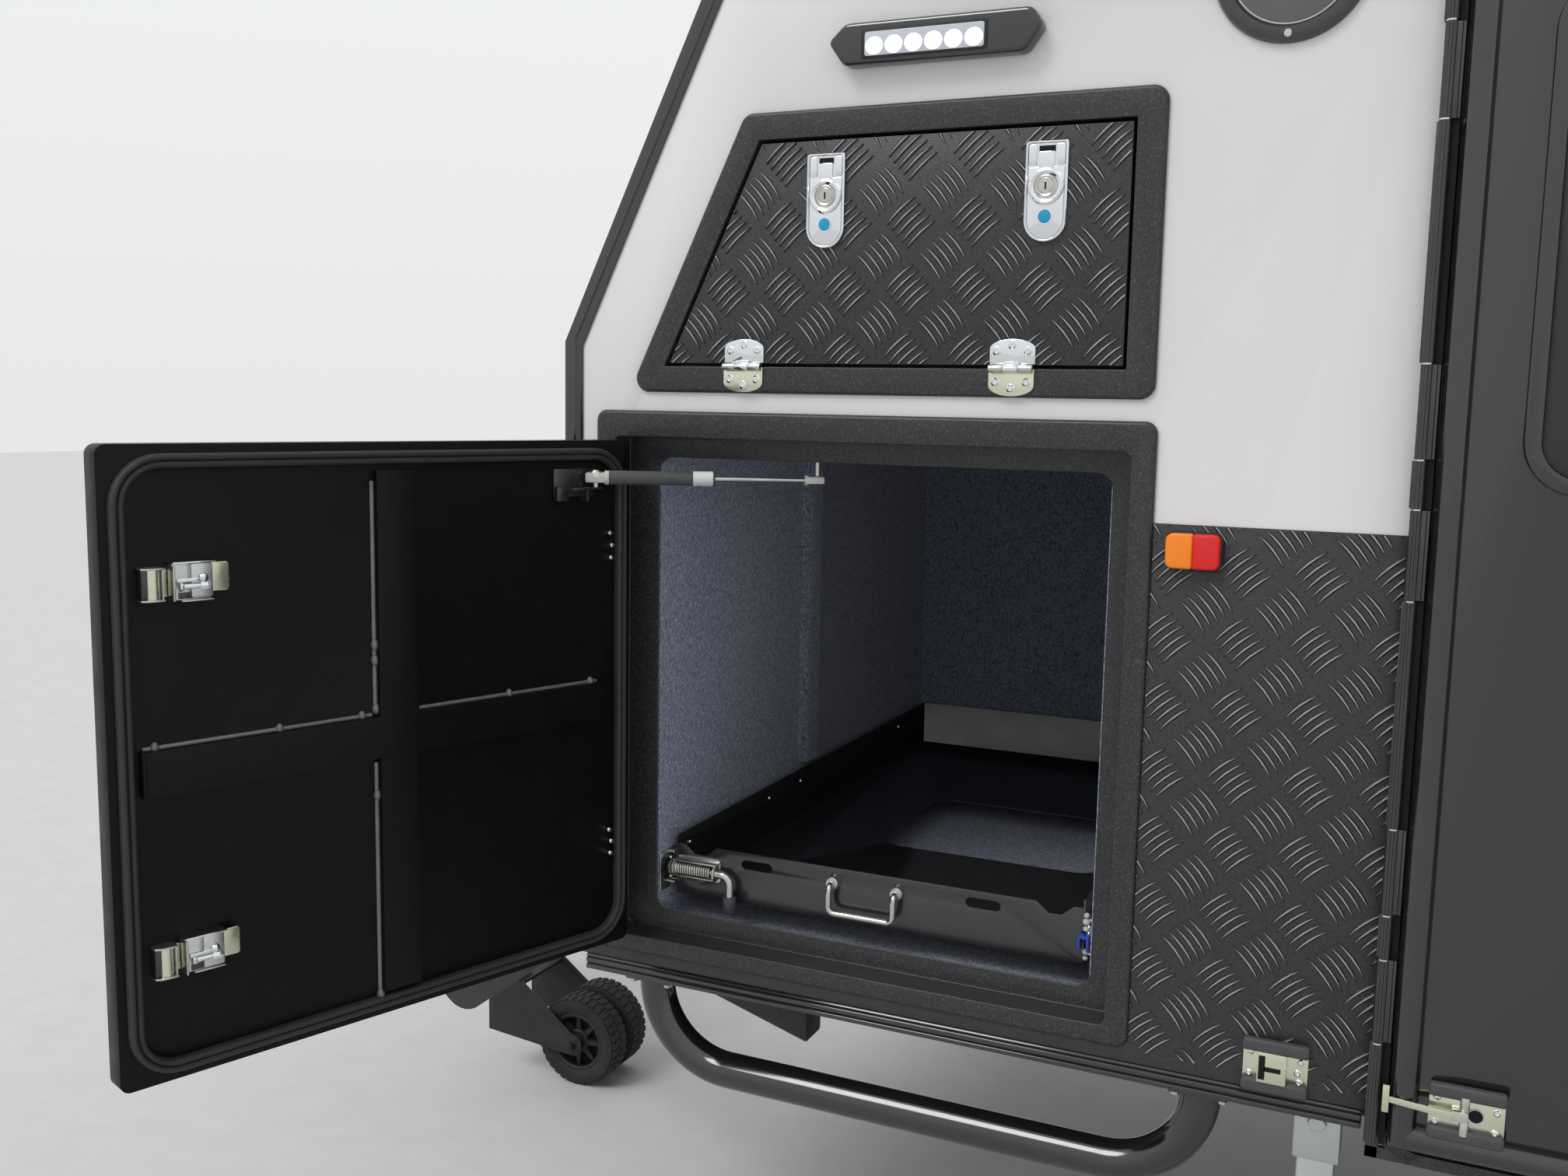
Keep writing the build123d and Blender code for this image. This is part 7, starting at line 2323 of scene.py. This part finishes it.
@dataclass(frozen=True)
class DoorBands:
    """The entry door's half-round bands at its hinge edge and foot, mitred where they meet in a square corner."""

    left: float = 1063.5
    right: float = 1672.0
    low: float = 711.5
    high: float = 2012.0
    wide: float = 29.0
    deep: float = 13.0
    face: float = -1014.0
    steps: int = 20

    def band(self, end: float, upright: bool) -> bmesh.types.BMesh:
        """Makes one band whose first end is cut at 45 degrees.

        Args:
            end: where its far end lies.
            upright: whether it runs up the hinge edge rather than along the foot.

        Returns:
            The band.
        """
        part, ends = bmesh.new(), ([], [])
        for step in range(self.steps + 1):
            turn = math.pi * step / self.steps
            aside, y = self.wide / 2 * (1 - math.cos(turn)), self.face - self.deep * math.sin(turn)
            for ring, run in zip(ends, (aside, end)):
                if upright:
                    place = (self.left + aside, y, self.low + run if ring is ends[0] else end)
                else:
                    place = (self.left + run if ring is ends[0] else end, y, self.low + aside)
                ring.append(part.verts.new(place))
        for index in range(self.steps):
            part.faces.new((ends[0][index], ends[0][index + 1], ends[1][index + 1], ends[1][index]))
        part.faces.new((ends[0][0], ends[1][0], ends[1][-1], ends[0][-1]))
        part.faces.new(ends[0])
        part.faces.new(list(reversed(ends[1])))
        return part

    def dress(self) -> None:
        """Builds the bands and the corners behind them."""
        door = Draft("entry_door_bands")
        door.add(self.band(self.high, True), GLOSS)
        door.add(self.band(self.right, False), GLOSS)
        door.add(box(1063.3, 1110, -1013.6, -990, 711.3, 740, 0.8), GLOSS)
        door.done("entry_door", SLOT_OF["entry_hardware"])
        frame = Draft("entry_frame_corner")
        for x0, x1, z0, z1 in ((1042.3, 1056, 690.3, 760), (1042.3, 1110, 690.3, 704)):
            frame.add(box(x0, x1, -1007, -1000.5, z0, z1, 0.8), POWDER)
        frame.done("trailer", SLOT_OF["entry_frame"])


@dataclass(frozen=True)
class Outriggers:
    """The cross members, whose arms taper towards the sills."""

    reach: float = 0.93
    raised: float = 0.118
    bevel: float = 2.5

    def dress(self) -> None:
        """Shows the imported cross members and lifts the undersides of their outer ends."""
        shown = Skin((CHASSIS,), 0.0).dress("cross_members")
        for vert in shown.data.vertices:
            if abs(vert.co.y) > self.reach:
                vert.co.z = max(vert.co.z, self.raised)
        work = bmesh.new()
        work.from_mesh(shown.data)
        bevelled(work, self.bevel * MM, 2)
        work.to_mesh(shown.data)
        work.free()
        shown.data.set_sharp_from_angle(angle=math.radians(SMOOTH))


@dataclass(frozen=True)
class TrimBeads:
    """The fine bead down the middle of the edge trims of both sides."""

    knee: float = 1578.0
    slope: float = 0.4791
    inset: float = 12.0
    top: float = 2150.0
    foot: float = 745.0
    rear: float = 3300.0
    face: float = 1002.6
    radius: float = 2.6

    def dress(self) -> None:
        """Lays a bead along the front slope, the roof line's front and the body's front edge."""
        draft = Draft("trim_beads")
        x, bend, high = self.inset, self.knee + 3.0, self.top - self.inset
        back = self.inset + (self.top - self.inset - self.knee) * self.slope + 4.0
        for side in (-1, 1):
            y = side * self.face
            draft.add(tube([(x, y, self.foot), (x, y, bend), (back, y, high), (self.rear, y, high)], self.radius, 6.0,
                           10, 4), GLOSS)
        draft.done("trailer", SLOT_OF["body_trims"])


@dataclass(frozen=True)
class SpareWheel:
    """The spare wheel on the rear bar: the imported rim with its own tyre."""

    middle: tuple[float, float, float] = (4137.5, 0.0, 1060.0)
    bead: float = 0.2295

    def dress(self) -> None:
        """Dresses the rim, and hangs a tyre over it."""
        shown = Skin((ALLOY,), 2.0).dress("spare_wheel")
        work = bmesh.new()
        work.from_mesh(shown.data)
        height = (self.middle[2] + GROUND) * MM
        outer = [face for face in work.faces
                 if max(math.hypot(vert.co.y, vert.co.z - height) for vert in face.verts) > self.bead]
        bmesh.ops.delete(work, geom=outer, context="FACES")
        work.to_mesh(shown.data)
        work.free()
        RoadTyre().build("tyre_spare_shown", "trailer", self.middle, (1, 0, 0))


@dataclass(frozen=True)
class PopCanvas:
    """The fabric skirt between the walls and the lifting roof: one sagging sheet with vinyl windows and bindings."""

    corner: float = 0.070
    thick: float = 0.0016
    sag: float = 0.008
    step: float = 0.024
    border: float = 0.018
    rows: tuple[float, ...] = (0.0, 0.015, 0.06, 0.11, 0.155, 0.2, 0.27, 0.35, 0.43, 0.5, 0.57, 0.65, 0.73, 0.8,
                               0.845, 0.89, 0.94, 0.985, 1.0)
    sill: float = 0.2
    head: float = 0.8
    ease: float = 1.012
    window: float = 0.36
    clear: float = 0.008
    smooth: float = 60.0

    def path(self, half_x: float, half_y: float) -> tuple[float, Callable[[float], tuple[Vector, Vector]]]:
        """Describes the ring that the sheet follows.

        Args:
            half_x: half its length in metres.
            half_y: half its width.

        Returns:
            Its length round, and a rule that gives place and outward way at a distance along it.
        """
        r = self.corner
        runs = (2 * (half_x - r), math.pi * r / 2, 2 * (half_y - r), math.pi * r / 2) * 2
        starts = (Vector((-half_x + r, -half_y)), Vector((half_x - r, -half_y + r)), Vector((half_x, -half_y + r)),
                  Vector((half_x - r, half_y - r)), Vector((half_x - r, half_y)), Vector((-half_x + r, half_y - r)),
                  Vector((-half_x, half_y - r)), Vector((-half_x + r, -half_y + r)))

        def at(s: float) -> tuple[Vector, Vector]:
            """Finds a place on the ring.

            Args:
                s: metres along it.

            Returns:
                The place, and the way out of the ring there.
            """
            index = 0
            while index < 7 and s > runs[index]:
                s -= runs[index]
                index += 1
            turn = index // 2 * math.pi / 2
            if index % 2 == 0:
                along = Vector((math.cos(turn), math.sin(turn)))
                return starts[index] + along * s, Vector((along.y, -along.x))
            angle = turn - math.pi / 2 + s / r
            way = Vector((math.cos(angle), math.sin(angle)))
            return starts[index] + way * r, way

        return sum(runs), at

    def windows(self, half_x: float, half_y: float) -> list[tuple[float, float]]:
        """Lists the vinyl windows.

        Args:
            half_x: half the ring's length in metres.
            half_y: half its width.

        Returns:
            Where each window starts and ends along the ring.
        """
        long, arc, short = 2 * (half_x - self.corner), math.pi * self.corner / 2, 2 * (half_y - self.corner)
        spans, start = [], 0.0
        for run, count in ((long, 3), (short, 1), (long, 3), (short, 1)):
            width = run / count
            for index in range(count):
                middle = start + (index + 0.5) * width
                spans.append((middle - self.window * width, middle + self.window * width))
            start += run + arc
        return spans

    def depth(self, s: float, v: float, spans: Sequence[tuple[float, float]]) -> float:
        """Gives how far the sheet falls in at a place.

        Args:
            s: metres along the ring.
            v: 0 at the foot, 1 at the head.
            spans: of the windows.

        Returns:
            Metres, inwards.
        """
        loose = 1.0 + 0.3 * math.sin(math.tau * s / 0.83 + 1.0) + 0.2 * math.sin(math.tau * s / 0.31 + 0.4)
        if any(start < s < end for start, end in spans):
            loose *= 0.75
        pucker = 0.0007 * math.sin(math.tau * s / 0.052) * (math.exp(-v / 0.1) + math.exp(-(1 - v) / 0.1))
        crease = 0.0013 * math.sin(math.tau * (s / 0.145 + 0.8 * v)) * math.sin(math.pi * v)
        return self.sag * loose * math.sin(math.pi * v) ** 0.8 + pucker + crease

    def dress(self) -> None:
        """Builds the sheet, on no body."""
        low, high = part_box("pop_canvas")
        middle = Vector(((low[0] + high[0]) / 2, (low[1] + high[1]) / 2))
        half_x, half_y, tall = (high[0] - low[0]) / 2, (high[1] - low[1]) / 2, high[2] - low[2]
        around, at = self.path(half_x, half_y)
        spans = self.windows(half_x, half_y)
        count = round(around / self.step)
        marks = {index * around / count for index in range(count)}
        for start, end in spans:
            edges = (start, start + self.border, end - self.border, end)
            marks = {mark for mark in marks if min(abs(mark - edge) for edge in edges) > self.clear}
            marks |= set(edges)
        stops = sorted(marks)
        part, layers = bmesh.new(), []
        for inset in (0.0, self.thick):
            layer = []
            for s in stops:
                place, way = at(s)
                column = []
                for v in self.rows:
                    flat = middle + place - way * (self.depth(s, v, spans) + inset)
                    column.append(part.verts.new((flat.x, flat.y, low[2] + v * tall)))
                layer.append(column)
            layers.append(layer)
        last = len(self.rows) - 1
        for index, s in enumerate(stops):
            after = (index + 1) % len(stops)
            centre = (s + (stops[after] if after else around)) / 2
            for row in range(last):
                v = (self.rows[row] + self.rows[row + 1]) / 2
                kind = self.kind(centre, v, spans)
                for layer, outward in ((layers[0], True), (layers[1], False)):
                    corners = (layer[index][row], layer[after][row], layer[after][row + 1], layer[index][row + 1])
                    face = part.faces.new(corners if outward else tuple(reversed(corners)))
                    face.material_index = kind
            for row in (0, last):
                corners = (layers[0][index][row], layers[1][index][row], layers[1][after][row], layers[0][after][row])
                part.faces.new(corners if row == 0 else tuple(reversed(corners))).material_index = 1
        bmesh.ops.recalc_face_normals(part, faces=part.faces)
        shown = finished(meshed(part, "pop_canvas_shown"), "pop_canvas_shown", (CANVAS, HEM, VINYL), None,
                         self.smooth)
        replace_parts(shown, "pop_canvas")
        LOG.info("canvas cut %.3f by %.3f m", around * self.ease, tall * self.ease)
        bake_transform(shown)

    def kind(self, s: float, v: float, spans: Sequence[tuple[float, float]]) -> int:
        """Picks canvas, binding or vinyl for a place on the sheet.

        Args:
            s: metres along the ring.
            v: 0 at the foot, 1 at the head.
            spans: of the windows.

        Returns:
            The number of its finish.
        """
        if v < 0.05 or v > 0.95:
            return 1
        for start, end in spans:
            if start < s < end and self.sill - 0.05 < v < self.head + 0.05:
                inside = start + self.border < s < end - self.border and self.sill < v < self.head
                return 2 if inside else 1
        return 0


@dataclass(frozen=True)
class Mattress:
    """The foam mattress, plumped by a short cloth simulation, with piping along its edges."""

    shrink: float = 0.016
    voxel: float = 0.024
    pressure: float = 4.0
    frames: int = 20
    cap: float = 0.022
    corner: float = 0.045
    tuft_height: float = 0.09
    tuft_depth: float = 0.006
    tuft_pitch: float = 0.24
    lift: float = 0.0005
    smooth: float = 80.0
    piping: float = 0.0045
    seams: tuple[float, float] = (0.042, 0.034)
    seam_corner: float = 0.06
    seam_step: float = 0.05
    apart: float = 14.0

    def plumped(self, pad: bpy.types.Object) -> None:
        """Swells the pad by cloth pressure and keeps each point near where it was.

        Args:
            pad: the remeshed pad.
        """
        before = [vert.co.copy() for vert in pad.data.vertices]
        cloth = pad.modifiers.new("cloth", "CLOTH")
        cloth.settings.use_pressure = True
        cloth.settings.uniform_pressure_force = self.pressure
        cloth.settings.effector_weights.gravity = 0.0
        cloth.point_cache.frame_start, cloth.point_cache.frame_end = 1, self.frames
        for number in range(1, self.frames + 1):
            bpy.context.scene.frame_set(number)
        settled = pad.evaluated_get(bpy.context.evaluated_depsgraph_get()).to_mesh()
        after = [vert.co.copy() for vert in settled.vertices]
        pad.modifiers.remove(cloth)
        bpy.context.scene.frame_set(1)
        for vert, was, now in zip(pad.data.vertices, before, after):
            moved = now - was
            if moved.length > self.cap:
                moved *= self.cap / moved.length
            vert.co = was + moved

    def dress(self) -> None:
        """Builds the pad, its piping and its quilting."""
        low, high = (Vector(corner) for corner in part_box("mattress"))
        inner = [(low[axis] + self.shrink, high[axis] - self.shrink) for axis in range(3)]
        part = bmesh.new()
        bmesh.ops.create_cube(part, size=1.0)
        for vert in part.verts:
            vert.co = Vector([inner[axis][int(vert.co[axis] > 0)] for axis in range(3)])
        bevelled(part, self.corner, 4)
        pad = finished(meshed(part, "mattress_shown"), "mattress_shown", (TICKING,), "trailer",
                       self.smooth)
        remesh = pad.modifiers.new("remesh", "REMESH")
        remesh.mode, remesh.voxel_size = "VOXEL", self.voxel
        even = bpy.data.meshes.new_from_object(pad.evaluated_get(bpy.context.evaluated_depsgraph_get()))
        pad.modifiers.clear()
        pad.data = even
        self.plumped(pad)
        work = bmesh.new()
        work.from_mesh(pad.data)
        bmesh.ops.subdivide_edges(work, edges=work.edges, cuts=1, use_grid_fill=True, smooth=0.0)
        bmesh.ops.smooth_vert(work, verts=work.verts, factor=0.5, use_axis_x=True, use_axis_y=True, use_axis_z=True)
        for vert in work.verts:
            if vert.co.z > low.z + self.tuft_height:
                vert.co.z -= self.tuft_depth * (0.5 + 0.5 * math.cos(math.tau * vert.co.x / self.tuft_pitch)) \
                    * (0.5 + 0.5 * math.cos(math.tau * vert.co.y / self.tuft_pitch))
            vert.co.z = max(vert.co.z, low.z + self.lift)
        work.to_mesh(pad.data)
        work.free()
        pad.data.materials.clear()
        pad.data.materials.append(TICKING.material())
        pad.data.polygons.foreach_set("use_smooth", [True] * len(pad.data.polygons))
        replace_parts(pad, "mattress")
        self.pipe(pad, low, high)

    def pipe(self, pad: bpy.types.Object, low: Vector, high: Vector) -> None:
        """Sews piping round the pad, near its top and its foot.

        Args:
            pad: the finished pad.
            low: the least corner of its space.
            high: the greatest corner.
        """
        tree = BVHTree.FromObject(pad, bpy.context.evaluated_depsgraph_get())
        draft = Draft("mattress_piping", Matrix.Identity(4))
        for height in (high.z - self.seams[0], low.z + self.seams[1]):
            loop = rounded_loop(low.x, high.x, low.y, high.y, self.seam_corner, 6)
            points = []
            for index, start in enumerate(loop):
                end = loop[(index + 1) % len(loop)]
                count = max(1, int(math.dist(start, end) / self.seam_step))
                for step in range(count):
                    t = step / count
                    found = tree.find_nearest(Vector((start[0] + (end[0] - start[0]) * t,
                                                      start[1] + (end[1] - start[1]) * t, height)))
                    point = found[0] / MM
                    if not points or (point - points[-1]).length > self.apart:
                        points.append(point)
            if (points[0] - points[-1]).length < self.apart:
                points.pop()
            draft.add(self.cord(points), HEM)
        draft.done("trailer", SLOT_OF["mattress"])

    def cord(self, points: Sequence[Vector], sides: int = 8) -> bmesh.types.BMesh:
        """Runs a level cord once round a closed row of points.

        Args:
            points: in millimetres.
            sides: faces round the cord.

        Returns:
            The cord.
        """
        part, rings, radius = bmesh.new(), [], self.piping / MM
        for index, point in enumerate(points):
            along = (points[(index + 1) % len(points)] - points[index - 1]).normalized()
            aside = along.cross(Vector((0.0, 0.0, 1.0))).normalized()
            rings.append([part.verts.new(point + aside * radius * math.cos(math.tau * turn / sides)
                                         + Vector((0.0, 0.0, radius * math.sin(math.tau * turn / sides))))
                          for turn in range(sides)])
        for index, ring in enumerate(rings):
            after = rings[(index + 1) % len(rings)]
            for turn in range(sides):
                following = (turn + 1) % sides
                part.faces.new((ring[turn], after[turn], after[following], ring[following]))
        bmesh.ops.recalc_face_normals(part, faces=part.faces)
        return part


class Assembly(Protocol):
    """What every sub-assembly of the trailer does."""

    def dress(self) -> None:
        """Shows its pieces."""


class Camper:
    """The whole trailer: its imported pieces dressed, and what is added to them."""

    def __init__(self) -> None:
        """Lists the sub-assemblies."""
        self.assemblies: tuple[Assembly, ...] = (
            PlainPieces(), TreadPlates(), HatchInside(), GasStrut(), LockerFittings(), Lamps(), Speaker(),
            AwningLight(), HoldBack(), EntryHinge(), DoorBands(), TrayFittings(), JockeyWheels(), RoadWheels(),
            SpareWheel(), Stabilisers(), ScrubBars(), Outriggers(), TrimBeads(), PopCanvas(), Mattress())

    def dress(self) -> None:
        """Dresses every sub-assembly in turn."""
        for assembly in self.assemblies:
            LOG.info("dressing %s", type(assembly).__name__)
            assembly.dress()


def main() -> None:
    """Dresses the trailer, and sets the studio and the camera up."""
    logging.basicConfig(level=logging.INFO, format="%(message)s")
    bpy.context.scene.view_settings.view_transform = "Standard"
    Camper().dress()
    Studio().build()
    PhotoCamera().build()


if __name__ == "__main__":
    main()
